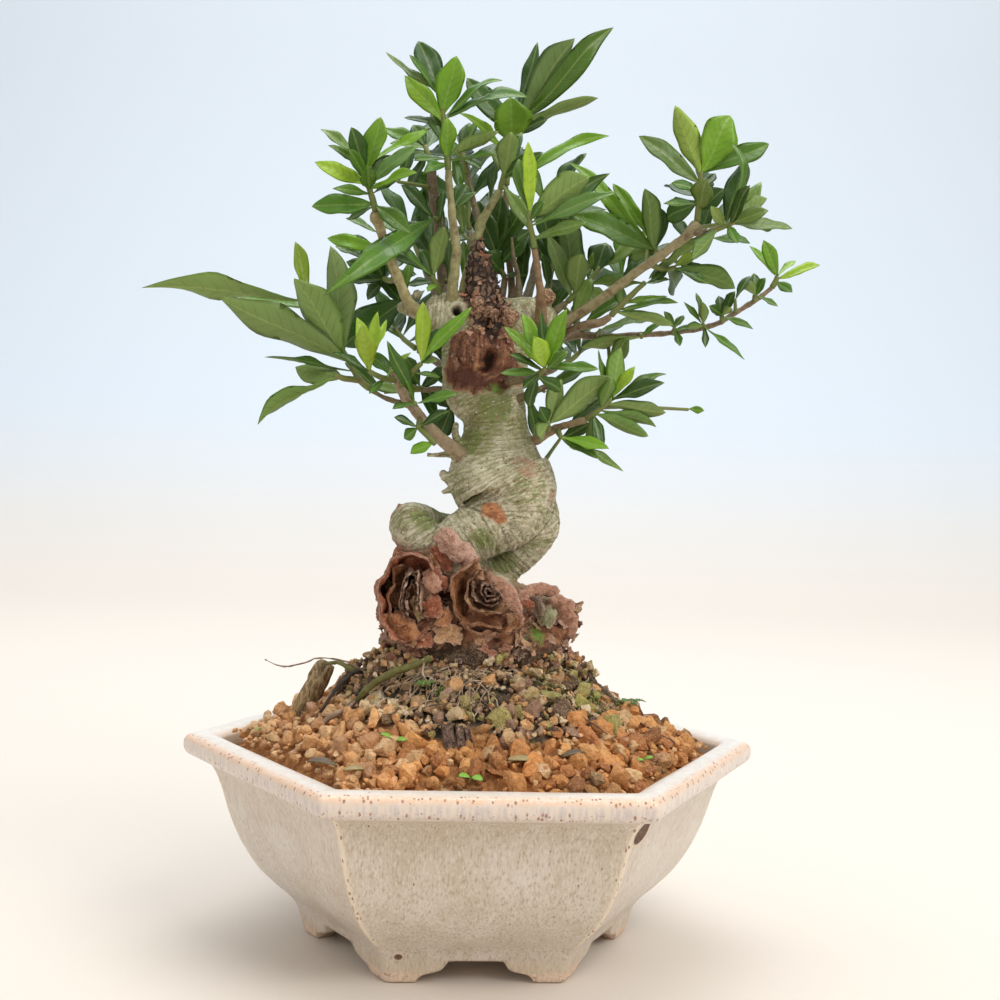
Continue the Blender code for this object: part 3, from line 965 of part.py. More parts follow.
def leaf_choices(foot, tip, width, roll, arch, phase):
    """The leaf as told, and then bent forward or back and rolled, the smallest change first."""
    steps = [(abs(shift) / 3 + abs(turn) / 20, shift, turn) for shift in SHIFTS for turn in TURNS]
    sight = (tip - Vector((0.0, -EYE_AWAY, EYE_HEIGHT))) / EYE_AWAY
    for _, shift, turn in sorted(steps):
        yield foot, tip + sight * shift, width, roll + turn, arch, phase


def settle(leaf, taken, siblings):
    """The first choice that is clear of all other pieces, and of the shoot's own blades if one is."""
    fallback = None
    for choice in leaf_choices(*leaf):
        wide = bvh_of(blade(choice, 0.5))
        if any(wide.overlap(tree) for tree in taken):
            continue
        outer = bvh_of(blade(choice, 0.3, 1))
        if not any(outer.overlap(tree) for tree in siblings):
            return choice
        fallback = fallback or choice
    return fallback


def told_leaves(stems, rows):
    for number, (stem, place, x, z, depth, width, roll, arch) in enumerate(rows):
        foot = stem_point(stems[stem], place)
        turn = math.radians(GOLDEN_ANGLE * number)
        foot += Vector((math.cos(turn), 0.4 * math.sin(1.3 * turn), math.sin(turn))) * FOOT_SPREAD
        yield foot, seen(x, z, foot.y + depth), width, roll, arch, 1.7 * number


def back_leaves(stem, count, length, first):
    """Leaves round a stem by the golden angle, the lower ones longer and flatter."""
    for number in range(count):
        share = (number + 1) / count
        foot = stem_point(stem, 0.25 + 0.75 * share)
        turn = math.radians(first + GOLDEN_ANGLE * number)
        lean = math.radians(15 + 40 * share)
        way = Vector((math.cos(turn) * math.cos(lean), math.sin(turn) * math.cos(lean), math.sin(lean)))
        way.y = way.y * 0.8 + 0.35
        yield foot, foot + way.normalized() * length * (1.1 - 0.35 * share), length * 0.3, 60, 0.06, number


def make_stems(stems, wood, group):
    """The green stems as rods; the first one starts just clear of the wood that it grows from."""
    rods = []
    for number, rows in enumerate(stems):
        points = [seen(*row) for row in rows]
        thick = STEM_RADIUS if len(rows) < 4 or number == 0 else 0.7
        if number == 0:
            points = clear_start(points, thick, wood)
        radii = np.linspace(thick, 0.8 * thick, len(points))
        rods.append(tube("stem", list(zip(points, radii)), group, 0))
    return rods


def make_shoot(name, rods, leaves, taken, group):
    """Stems and leaves in one body.  Returns it and the trees that later shoots keep clear of."""
    parts = list(rods)
    siblings = []
    trees = []
    for leaf in leaves:
        chosen = settle(leaf, taken, siblings)
        if chosen is None:
            print("no room for a leaf of", name, tuple(round(c, 1) for c in leaf[1]))
            continue
        siblings.append(bvh_of(blade(chosen, 0.0, 1)))
        trees.append(bvh_of(blade(chosen)))
        parts.append(link("leaf", mesh_from("leaf", blade(chosen)), group))
    shoot = boolean(parts[0], parts[1:], "UNION", group, "MANIFOLD", 0.77 if len(parts) > 6 else 0.88)
    shoot.name = name
    return shoot, trees


def main():
    clear_scene()
    group = new_collection("gardenia_bonsai")
    pot = make_pot(group)
    net = make_drain_mesh(group)
    trunk = make_trunk(group)
    soil = make_soil(group, soil_sockets(group))
    stub = make_dead_stub(group)
    chip = chip_box("wood_chip", 0.0, group)
    paint(pot, material("pot_glaze", (0.66, 0.60, 0.51), 0.32))
    paint(net, material("net_plastic", (0.03, 0.03, 0.03), 0.5))
    paint(trunk, material("bark", (0.30, 0.27, 0.19), 0.85))
    paint(soil, material("soil_grains", (0.33, 0.17, 0.07), 0.8))
    paint(stub, material("dead_wood", (0.20, 0.13, 0.07), 0.9))
    paint(chip, material("chip_wood", (0.07, 0.04, 0.03), 0.8))
    wood = mesh_bvh(trunk.data)
    told = {}
    for name, (stems, rows) in SHOOTS.items():
        stems = [in_crown(stem) for stem in stems]
        told[name] = (stems, told_leaves(stems, rows))
    for name, (stem, count, length, first) in BACK_SHOOTS.items():
        told[name] = ([stem], back_leaves(stem, count, length, first))
    rods = {name: make_stems(stems, wood, group) for name, (stems, _) in told.items()}
    rod_trees = {name: [mesh_bvh(rod.data) for rod in found] for name, found in rods.items()}
    blades = []
    for name, (_, leaves) in told.items():
        others = [tree for other, found in rod_trees.items() if other != name for tree in found]
        shoot, trees = make_shoot(name, rods[name], leaves, [wood] + others + blades, group)
        dark = name.startswith("back")
        colour = (0.08, 0.18, 0.04) if dark else (0.13, 0.26, 0.05)
        paint(shoot, material(name + "_green", colour, 0.4))
        blades += trees


main()
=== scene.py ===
"""The looks of a potted gardenia bonsai: its glazed pot, its soil, its old trunk and its glossy leaves.

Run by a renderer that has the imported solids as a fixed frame.  Tables are in millimetres, in the
frame's axes: origin on the ground under the pot's axis, +Z up, the tree's front towards -Y.
"""
# %% [markdown]
# The solids come in first.  They give the size of everything here, and each piece made below rides on
# their one body.

# %% The frame
import math

import bmesh
import bpy
import numpy as np
from mathutils import Euler, Matrix, Vector
from mathutils.bvhtree import BVHTree


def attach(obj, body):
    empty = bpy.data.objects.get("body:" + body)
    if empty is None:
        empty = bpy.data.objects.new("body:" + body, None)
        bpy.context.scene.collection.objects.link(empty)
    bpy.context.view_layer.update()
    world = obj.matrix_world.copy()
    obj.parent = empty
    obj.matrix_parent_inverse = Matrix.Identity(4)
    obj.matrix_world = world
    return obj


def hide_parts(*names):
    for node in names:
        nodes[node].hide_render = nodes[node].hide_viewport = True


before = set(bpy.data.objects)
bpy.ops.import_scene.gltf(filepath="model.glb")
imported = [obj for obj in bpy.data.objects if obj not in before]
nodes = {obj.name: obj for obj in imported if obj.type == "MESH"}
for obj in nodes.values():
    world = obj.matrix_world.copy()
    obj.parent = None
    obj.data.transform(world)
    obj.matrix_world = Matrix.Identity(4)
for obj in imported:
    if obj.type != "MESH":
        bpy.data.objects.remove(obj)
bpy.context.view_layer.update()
MM = 0.001


# %% [markdown]
# Leaves, bark, grains and glaze are all surfaces over a grid: two numbers run over the surface, and a
# formula turns them into a point.  numpy works out all the points at once.  These helpers put such a
# grid into a mesh, with numbers on its points that the materials read later.

# %% Grids into meshes
def grid_faces(rows, columns, ring=True):
    """Quads between neighbours of a rows by columns grid; ring also joins the last column to the first."""
    i, j = np.meshgrid(np.arange(rows - 1), np.arange(columns if ring else columns - 1), indexing="ij")
    a = i * columns + j
    b = i * columns + (j + 1) % columns
    return np.stack([a, b, b + columns, a + columns], axis=-1).reshape(-1, 4)


def put_mesh(name, points, faces, layers=None):
    """A mesh from points in mm and faces of one size, with named numbers on its points."""
    mesh = bpy.data.meshes.new(name)
    points = np.asarray(points, dtype=np.float32).reshape(-1, 3) * MM
    faces = np.asarray(faces, dtype=np.int32)
    mesh.vertices.add(len(points))
    mesh.vertices.foreach_set("co", points.ravel())
    mesh.loops.add(faces.size)
    mesh.loops.foreach_set("vertex_index", faces.ravel())
    mesh.polygons.add(len(faces))
    mesh.polygons.foreach_set("loop_start", np.arange(len(faces), dtype=np.int32) * faces.shape[1])
    mesh.update(calc_edges=True)
    set_layers(mesh, layers or {})
    mesh.shade_smooth()
    return mesh


def set_layers(mesh, layers):
    """Names numbers, one for each point."""
    for label, values in layers.items():
        numbers = np.asarray(values, dtype=np.float32).ravel()
        mesh.attributes.new(label, "FLOAT", "POINT").data.foreach_set("value", numbers)


def set_tones(mesh, tones):
    """Gives each point a colour, which the materials read as its tone."""
    rgba = np.ones((len(mesh.vertices), 4), dtype=np.float32)
    rgba[:, :3] = tones
    mesh.attributes.new("tone", "FLOAT_COLOR", "POINT").data.foreach_set("color", rgba.ravel())


def mesh_points(mesh):
    """The mesh's points in mm, as an array."""
    flat = np.empty(len(mesh.vertices) * 3, dtype=np.float32)
    mesh.vertices.foreach_get("co", flat)
    return flat.reshape(-1, 3).astype(float) / MM


def mesh_normals(mesh):
    """The way out of the surface at each point."""
    flat = np.empty(len(mesh.vertices) * 3, dtype=np.float32)
    mesh.vertex_normals.foreach_get("vector", flat)
    return flat.reshape(-1, 3).astype(float)


def move_points(mesh, points):
    mesh.vertices.foreach_set("co", (points * MM).astype(np.float32).ravel())
    mesh.update()


def weld(mesh, recalculate=False):
    """Merges points that coincide, so that poles and seams close, and turns faces out if asked."""
    bm = bmesh.new()
    bm.from_mesh(mesh)
    bmesh.ops.remove_doubles(bm, verts=bm.verts, dist=1e-7)
    bmesh.ops.dissolve_degenerate(bm, dist=1e-8, edges=bm.edges)
    if recalculate:
        bmesh.ops.recalc_face_normals(bm, faces=bm.faces)
    bm.to_mesh(mesh)
    bm.free()
    return mesh


def add_object(name, data):
    """Puts a mesh, a lamp or a camera into the scene."""
    item = bpy.data.objects.new(name, data)
    bpy.context.scene.collection.objects.link(item)
    return item


def show(name, mesh, material, slot, *replaced):
    """Makes the mesh a piece of the object, with its material.  The slot is not used."""
    piece = add_object(name, mesh)
    mesh.materials.append(material)
    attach(piece, "root")
    if replaced:
        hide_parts(*replaced)


def stack_meshes(name, parts):
    """One mesh from several (points, faces, layers) or (points, faces, layers, tones): each one's faces are
    numbered on from the last's."""
    starts = np.cumsum([0] + [len(part[0]) for part in parts])
    points = np.concatenate([part[0] for part in parts])
    faces = np.concatenate([part[1] + start for part, start in zip(parts, starts)])
    layers = {label: np.concatenate([part[2][label] for part in parts]) for label in parts[0][2]}
    mesh = put_mesh(name, points, faces, layers)
    if len(parts[0]) > 3:
        set_tones(mesh, np.concatenate([part[3] for part in parts]))
    return mesh


# %% [markdown]
# Nothing that grows or is fired in a kiln is even.  One kind of noise serves everywhere: random numbers
# at the corners of a lattice of cubes, blended smoothly between them, so the same place always gives
# the same value.

# %% Noise
AXIS_PRIMES = np.array([73856093, 19349663, 83492791])    # one for each axis, so that no two corners agree
SHAKES = ((15, 1274126177), (13, 1103515245))             # shift and factor of each stir of the bits
BITS = 0x7FFFFFFF


def noise(points, size, seed=0):
    """Values from -1 to 1: lattice numbers blended by 3t2 - 2t3 along each axis of a cube of this size."""
    places = np.asarray(points, dtype=float) / size
    corner = np.floor(places).astype(np.int64)
    share = places - corner
    share = share * share * (3 - 2 * share)
    total = np.zeros(places.shape[:-1])
    for step in np.ndindex(2, 2, 2):
        mixed = np.bitwise_xor.reduce((corner + step) * AXIS_PRIMES, axis=-1)
        mixed = (mixed ^ (seed * 7919 + 12345)) & BITS
        for shift, factor in SHAKES:
            mixed = ((mixed ^ (mixed >> shift)) * factor) & BITS
        value = (mixed ^ (mixed >> 16)) / (BITS // 2) - 1.0
        total += value * np.prod(np.where(np.array(step) == 1, share, 1 - share), axis=-1)
    return total


def noise_way(points, size, seed):
    """Three noises side by side, as the x, y and z of a push."""
    return np.stack([noise(points, size, seed + k) for k in range(3)], axis=-1)


def layered_noise(points, size, seed=0, layers=3):
    """Noise plus half as much of half the size, and so on."""
    total = sum(noise(points, size / 2 ** k, seed + k) / 2 ** k for k in range(layers))
    return total / (2 - 0.5 ** (layers - 1))


def smoothstep(low, high, values):
    """0 below low, 1 above high and 3t2 - 2t3 between; high may be the lower one."""
    t = np.clip((values - low) / (high - low), 0.0, 1.0)
    return t * t * (3 - 2 * t)


def bell(values, middle, width):
    """1 at the middle, falling off to both sides as e^(-((v - m) / w)2)."""
    return np.exp(-((values - middle) / width) ** 2)


# %% [markdown]
# A stem, a root or the trunk is a round profile carried along a path.  The path's points and radii are
# smoothed by a Catmull-Rom curve, which passes through every given point.

# %% Tubes
EYE_AWAY = 472.0           # where the tree's front view is told from: this far away, this high
EYE_HEIGHT = 161.4
CROWN_STEP = 1.9           # in the crown, depth is told in steps of this many mm


def seen(rows, step=1.0):
    """Rows of x, z, back and more, told as seen from the front, as rows of true x, y, z and more.

    A point that lies back mm behind the upright plane through the axis looks to be at x, z on it when
    both are stretched from the eye by 1 + back / EYE_AWAY."""
    rows = np.atleast_2d(np.asarray(rows, dtype=float))
    x, z, back = rows[:, 0], rows[:, 1], rows[:, 2] * step
    far = 1 + back / EYE_AWAY
    return np.column_stack([x * far, back, EYE_HEIGHT + (z - EYE_HEIGHT) * far, rows[:, 3:]])


def seen_place(row):
    """One place, told as x, z and back."""
    return seen([row[:3]])[0]


def smooth_path(rows, steps):
    """More rows on a smooth curve through the rows: between b and c, with a before and d after, at t,
    half of 2b + (c - a)t + (2a - 5b + 4c - d)t2 + (3b - a - 3c + d)t3."""
    rows = np.asarray(rows, dtype=float)
    padded = np.vstack([2 * rows[0] - rows[1], rows, 2 * rows[-1] - rows[-2]])
    a, b, c, d = padded[:-3], padded[1:-2], padded[2:-1], padded[3:]
    t = np.arange(steps)[None, :, None] / steps
    a, b, c, d = (part[:, None, :] for part in (a, b, c, d))
    curve = 0.5 * (2 * b + (c - a) * t + (2 * a - 5 * b + 4 * c - d) * t ** 2
                   + (3 * b - a - 3 * c + d) * t ** 3)
    return np.vstack([curve.reshape(-1, rows.shape[1]), rows[-1]])


def lengths_along(centres):
    """How far along the path each of its points lies."""
    return np.concatenate([[0.0], np.cumsum(np.linalg.norm(np.diff(centres, axis=0), axis=1))])


def unit(vectors):
    """The vectors at length 1."""
    return vectors / np.maximum(np.linalg.norm(vectors, axis=-1, keepdims=True), 1e-9)


def close_ends(rings):
    """Draws the first and the last ring together into a point each."""
    for end in (0, -1):
        rings[end] = rings[end].mean(axis=0)


def tube(rows, sides=12, relief=None, rounded=True):
    """Points, faces and layers of a closed tube round rows of x, y, z, radius.

    At each row the profile is centre + radius (cos a * side + sin a * other), where side and other are
    at right angles to the path.  relief(along, angle, points) adds to the radius.  The ends close in a
    rounded cap, whose radius falls off as a quarter circle."""
    centres, radii = rows[:, :3], rows[:, 3]
    if rounded:
        ways = unit(np.array([centres[0] - centres[1], centres[-1] - centres[-2]]))
        lift = np.array([0.85, 0.5, 0.0])
        first = centres[0] + ways[0] * (radii[0] * 0.6 * lift)[:, None]
        last = centres[-1] + ways[1] * (radii[-1] * 0.6 * lift[::-1])[:, None]
        shrink = np.array([0.02, 0.75, 1.0])
        centres = np.vstack([first, centres[1:-1], last])
        radii = np.concatenate([radii[0] * shrink, radii[1:-1], radii[-1] * shrink[::-1]])
    tangent = unit(np.gradient(centres, axis=0))
    flattest = np.argmin(np.abs(tangent).max(axis=0))
    side = unit(np.cross(tangent, np.eye(3)[flattest]))
    other = np.cross(tangent, side)
    angle = np.arange(sides) * 2 * math.pi / sides
    along = lengths_along(centres)
    ring = np.cos(angle)[None, :, None] * side[:, None] + np.sin(angle)[None, :, None] * other[:, None]
    points = centres[:, None] + radii[:, None, None] * ring
    if relief is not None:
        extra = relief(along[:, None], angle[None, :], points) * np.minimum(1.0, radii[:, None])
        points = points + extra[..., None] * ring
    close_ends(points)
    layers = {"along": np.repeat(along, sides), "angle": np.tile(angle, len(centres)),
              "thick": np.repeat(radii, sides)}
    return points.reshape(-1, 3), grid_faces(len(centres), sides), layers


# %% [markdown]
# A material is a graph of nodes.  Building it link by link is hard to read, so one small class wraps a
# socket: adding or multiplying two of them adds the Math node for it, and node() makes any other kind.

# %% Shader maths
class Value:
    """A socket of a node tree that can be used in sums; every operator adds one Math node."""

    def __init__(self, tree, socket):
        self.tree = tree
        self.socket = socket

    def maths(self, operation, *values):
        return self.tree.node("ShaderNodeMath", {"operation": operation}, *values)

    def __add__(self, other):
        return self.maths("ADD", self, other)

    def __sub__(self, other):
        return self.maths("SUBTRACT", self, other)

    def __mul__(self, other):
        return self.maths("MULTIPLY", self, other)

    def __truediv__(self, other):
        return self.maths("DIVIDE", self, other)

    def __pow__(self, other):
        return self.maths("POWER", self, other)

    def __rsub__(self, other):
        return self.maths("SUBTRACT", other, self)

    __radd__ = __add__
    __rmul__ = __mul__

    def clipped(self):
        return self.tree.node("ShaderNodeClamp", {}, self, 0.0, 1.0)

    def zigzag(self):
        """0 at each whole number, 0.5 half way to the next."""
        return self.maths("PINGPONG", self, 0.5)

    def between(self, low, high):
        """0 below low, 1 above high, smooth between; high may be the lower one."""
        return self.tree.node("ShaderNodeMapRange", {"interpolation_type": "SMOOTHSTEP"},
                              self, low, high, 0.0, 1.0)


# %% [markdown]
# A second class holds a material while it is put together.  One method of it adds any node, and the
# short ones give the few patterns that the finishes of this plant and its pot share.

# %% A finish in the making
class Finish:
    """A material on one Principled shader, with short words for the nodes that feed it."""

    def __init__(self, name, **constants):
        self.material = bpy.data.materials.new(name)
        self.material.use_nodes = True
        self.nodes = self.material.node_tree.nodes
        self.shader = self.nodes["Principled BSDF"]
        self.made = 0
        for label, value in constants.items():
            self.shader.inputs[label.replace("_", " ")].default_value = value

    def connect(self, value, socket):
        if isinstance(value, Value):
            self.material.node_tree.links.new(value.socket, socket)
        elif socket.type == "RGBA":
            socket.default_value = (*value, 1.0)
        else:
            socket.default_value = value

    def node(self, kind, settings, *values, output=0, **named):
        """Any node: its type, its settings (set first), then its inputs in order or by name."""
        made = self.nodes.new(kind)
        self.made += 1
        made.location = (-220 * (self.made % 12) - 300, 160 * (self.made // 12))
        for label, setting in settings.items():
            setattr(made, label, setting)
        open_sockets = [socket for socket in made.inputs if socket.enabled]
        for socket, value in zip(open_sockets, values):
            if value is not None:
                self.connect(value, socket)
        for label, value in named.items():
            self.connect(value, next(s for s in open_sockets if s.name == label.replace("_", " ")))
        shown = [socket for socket in made.outputs if socket.enabled]
        return Value(self, shown[output])

    def place(self, stretch=(1.0, 1.0, 1.0), turn=(0.0, 0.0, 0.0)):
        """Object coordinates in mm, stretched: a pattern on them stays with the piece."""
        spot = self.node("ShaderNodeTexCoord", {}, output=3)
        return self.node("ShaderNodeMapping", {}, spot, None, turn, tuple(s / MM for s in stretch))

    def height(self, where):
        """The z of a place or a way."""
        return self.node("ShaderNodeSeparateXYZ", {}, where, output=2)

    def layer(self, label):
        return self.node("ShaderNodeAttribute", {"attribute_name": label}, output=2)

    def tone(self):
        return self.node("ShaderNodeAttribute", {"attribute_name": "tone"}, output=0)

    def speckle(self, where, size, detail=3.0, roughness=0.55):
        """Soft noise from 0 to 1 whose blotches are about this many mm."""
        return self.node("ShaderNodeTexNoise", {}, where, 1.0 / size, detail, roughness)

    def cells(self, where, size, feature="F1", output=0):
        """How far the middle (or the edge) of the nearest cell is, in cells of about this many mm."""
        return self.node("ShaderNodeTexVoronoi", {"feature": feature}, where, 1.0 / size, output=output)

    def lot(self, where, size):
        """A number from 0 to 1 that each of these cells draws for itself."""
        return self.node("ShaderNodeSeparateColor", {}, self.cells(where, size, output=1))

    def near(self, where, at, size):
        """1 at a place, 0 on the surface of the stretched ball round it, below 0 outside."""
        offset = self.node("ShaderNodeVectorMath", {"operation": "SUBTRACT"}, where, at)
        offset = self.node("ShaderNodeVectorMath", {"operation": "DIVIDE"}, offset, size)
        return 1 - self.node("ShaderNodeVectorMath", {"operation": "LENGTH"}, offset, output=0)

    def mix(self, share, first, second):
        """The first colour where share is 0 and the second where it is 1."""
        return self.node("ShaderNodeMix", {"data_type": "RGBA"}, share, first, second)

    def coats(self, colour, *coats):
        """The colour under thin coats of paint: each coat is a share and the colour that it adds."""
        for share, paint in coats:
            colour = self.mix(share, colour, paint)
        return colour

    def tint(self, share, first, second):
        """The first colour, multiplied by the second where share is 1."""
        set_up = {"data_type": "RGBA", "blend_type": "MULTIPLY"}
        return self.node("ShaderNodeMix", set_up, share, first, second)

    def bump(self, height, mm, strength=1.0):
        return self.node("ShaderNodeBump", {}, Strength=strength, Distance=mm * MM, Height=height)

    def use(self, **links):
        for label, value in links.items():
            self.connect(value, self.shader.inputs[label.replace("_", " ")])
        return self.material


# %% [markdown]
# The pot is stoneware with a satin cream glaze.  Its wall is one profile turned round six sides, like
# clay pressed into a hexagonal mould.  A round pot would be a lathe shape, so here each ring of the
# grid is a hexagon with filleted corners instead of a circle, and the profile is a smooth curve.

# %% The pot's shape
POT_ANGLE = math.radians(4.08)       # the pot stands turned a little on its axis
FLOOR_TOP = 14.0
BASE_UNDER = 7.3
PROFILE_STEPS = 4                    # points of the smooth profile for each row of the table
INSIDE_ROWS = 8                      # the first rows of the table are the inside
# radius at the corners and height: up the inside from the middle of the floor, over the lip, down the outside
POT_PROFILE = [
    (7.0, FLOOR_TOP), (30.0, FLOOR_TOP), (55.5, FLOOR_TOP + 0.2), (62.0, 18.0), (68.5, 28.0), (73.0, 39.0),
    (77.2, 50.0), (80.2, 58.5), (81.6, 62.4), (83.6, 63.9), (86.6, 64.2), (89.8, 63.8), (91.8, 62.8),
    (92.5, 60.6),
    (91.8, 58.2), (89.6, 56.8), (85.2, 55.6), (82.6, 52.6), (80.2, 47.4), (77.4, 38.6), (73.6, 30.0),
    (68.0, 21.6), (61.6, 15.4), (57.0, 11.4), (54.9, 8.2), (53.6, 4.4), (52.6, 1.0), (51.6, 0.12),
    (50.4, 0.0), (46.6, 0.0), (45.4, 0.5), (44.6, 2.0), (43.8, 6.2), (42.4, BASE_UNDER), (30.0, BASE_UNDER),
    (7.0, BASE_UNDER),
]
# half of the opening between two feet: distance from its middle and height
FOOT_ARCH = [
    (0.0, BASE_UNDER + 0.1), (5.0, BASE_UNDER + 0.1), (8.0, BASE_UNDER), (9.0, 5.9), (9.6, 4.9), (10.6, 4.1),
    (12.2, 3.6), (14.2, 3.2), (15.8, 2.6), (16.8, 1.7), (17.6, 0.4), (18.4, -2.0),
]
RIDGE_FILLET = 2.2
SIDE_POINTS = 26
FILLET_POINTS = 6
POT_WIDTH = 0.9988                   # a hair narrower front to back: the glaze stays in the solid's box


def hexagon_rings(radii, heights, fillet):
    """Rings of points: a hexagon whose corners lie at this radius, each rounded by an arc.

    An arc of radius f that meets both sides has its middle at R - 1.1547 f along the corner's way, and
    spans 30 degrees to each side of it.  Straight sides join one arc's end to the next one's start."""
    radii = np.asarray(radii, dtype=float)[:, None]
    heights = np.asarray(heights, dtype=float)
    fillet = np.minimum(fillet, radii * 0.4)
    bend = np.radians(np.linspace(-30, 30, FILLET_POINTS))
    rings = []
    for corner in range(6):
        way = POT_ANGLE + corner * math.pi / 3
        middle = radii - 1.1547 * fillet
        arc = np.stack([middle * math.cos(way) + fillet * np.cos(way + bend),
                        middle * math.sin(way) + fillet * np.sin(way + bend)], axis=-1)
        following = way + math.pi / 3
        start = arc[:, -1]
        turned = following + bend[0]
        end = np.column_stack([middle[:, 0] * math.cos(following) + fillet[:, 0] * np.cos(turned),
                               middle[:, 0] * math.sin(following) + fillet[:, 0] * np.sin(turned)])
        share = (np.arange(1, SIDE_POINTS) / SIDE_POINTS)[None, :, None]
        rings += [arc, start[:, None] * (1 - share) + end[:, None] * share]
    flat = np.concatenate(rings, axis=1)
    return np.dstack([flat, np.repeat(heights[:, None], flat.shape[1], axis=1)])


profile = smooth_path(np.array(POT_PROFILE), PROFILE_STEPS)
radius, height = profile.T
wall = hexagon_rings(radius, height, RIDGE_FILLET)
around = np.arctan2(wall[..., 1], wall[..., 0])
way_out = np.stack([np.cos(around), np.sin(around), np.zeros_like(around)], axis=-1)
uneven = 0.30 * noise(wall, 26.0, 3) + 0.10 * noise(wall, 9.0, 4)
is_wall = (radius > 50)[:, None] & (wall[..., 2] > 8)
wall = wall + (uneven * is_wall)[..., None] * way_out
from_corner = np.abs((around - POT_ANGLE + math.pi / 6) % (math.pi / 3) - math.pi / 6)
ridge = bell(from_corner * np.hypot(wall[..., 0], wall[..., 1]), 0, 0.75)
ridge = ridge * smoothstep(10, 16, wall[..., 2]) * smoothstep(57, 55, wall[..., 2]) * is_wall
wall = wall + (0.3 * ridge)[..., None] * way_out
wall = wall * [1.0, POT_WIDTH, 1.0]
outer_edge = bell(height, 63.0, 1.2) * smoothstep(88.6, 90.6, radius)
inner_edge = 0.4 * bell(radius, 81.9, 1.0) * (height > 61)
under_lip = bell(height, 58.6, 1.5) * smoothstep(88.0, 90.0, radius)
columns = wall.shape[1]
pot_layers = {
    "ridge": ridge,
    "lip_edge": np.repeat(outer_edge + inner_edge, columns),
    "inside": np.repeat((np.arange(len(profile)) < PROFILE_STEPS * INSIDE_ROWS).astype(float), columns),
    "under_lip": np.repeat(under_lip, columns),
}
# the side of the drain hole joins the last ring back to the first
ring = np.arange(columns)
following = (ring + 1) % columns
last_ring = (len(profile) - 1) * columns
drain_side = np.stack([ring, last_ring + ring, last_ring + following, following], axis=-1)
pot_faces = np.concatenate([grid_faces(len(profile), columns), drain_side])
pot_mesh = weld(put_mesh("pot", wall, pot_faces, pot_layers), recalculate=True)
print("pot:", len(pot_mesh.polygons), "faces")


# %% [markdown]
# The six feet are what stays of the skirt under the pot once a bracket-shaped opening is cut under each
# side.  Three bars with the opening's outline, each running right under the pot, cut all six at once.

# %% The feet
BAR_REACH = 60.0                     # how far a bar reaches to each side of the pot's axis


def foot_bar(turn):
    """A closed bar: the mirrored outline of the opening, carried along the way under two opposite sides."""
    half = np.array(FOOT_ARCH)
    x, z = np.vstack([half[::-1] * [-1, 1], half[1:]]).T
    c, s = math.cos(turn), math.sin(turn)
    rings = [np.column_stack([-s * x + c * w, c * x + s * w, z]) for w in (-BAR_REACH, BAR_REACH)]
    mesh = put_mesh("foot_bar", np.stack(rings), grid_faces(2, len(x)))
    bm = bmesh.new()
    bm.from_mesh(mesh)
    bmesh.ops.holes_fill(bm, edges=[edge for edge in bm.edges if len(edge.link_faces) == 1])
    bmesh.ops.recalc_face_normals(bm, faces=bm.faces)
    bm.to_mesh(mesh)
    bm.free()
    return add_object("foot_bar", mesh)


def with_modifier(mesh, kind, **settings):
    """The mesh once one modifier has been at it."""
    item = add_object(mesh.name, mesh)
    change = item.modifiers.new(kind.lower(), kind)
    for label, value in settings.items():
        setattr(change, label, value)
    bpy.context.view_layer.update()
    ready = item.evaluated_get(bpy.context.evaluated_depsgraph_get())
    mesh = bpy.data.meshes.new_from_object(ready)
    bpy.data.objects.remove(item)
    return mesh


for k in range(3):
    bar = foot_bar(POT_ANGLE + math.radians(30 + 60 * k))
    pot_mesh = with_modifier(pot_mesh, "BOOLEAN", operation="DIFFERENCE", object=bar, solver="EXACT")
    bpy.data.objects.remove(bar)
weld(pot_mesh)
print("pot with feet:", len(pot_mesh.polygons), "faces")


# %% [markdown]
# The glaze ran a little in the kiln: brown hairlines run down the wall over warm beige, with a paler
# veil over its middle and specks of iron.  It thinned to peach at the lip's edge, where it is full of
# rusty dashes, and to a cream line down each ridge.  The soles of the feet are bare clay.

# %% The glaze
# where the glaze crawled and left the clay bare: the middle and the three half sizes of each scar
GLAZE_SCARS = [((49.8, -60.6, 50.4), (5.0, 7.8, 4.1)), ((-19.4, -49.5, 8.8), (1.3, 3.0, 1.1))]


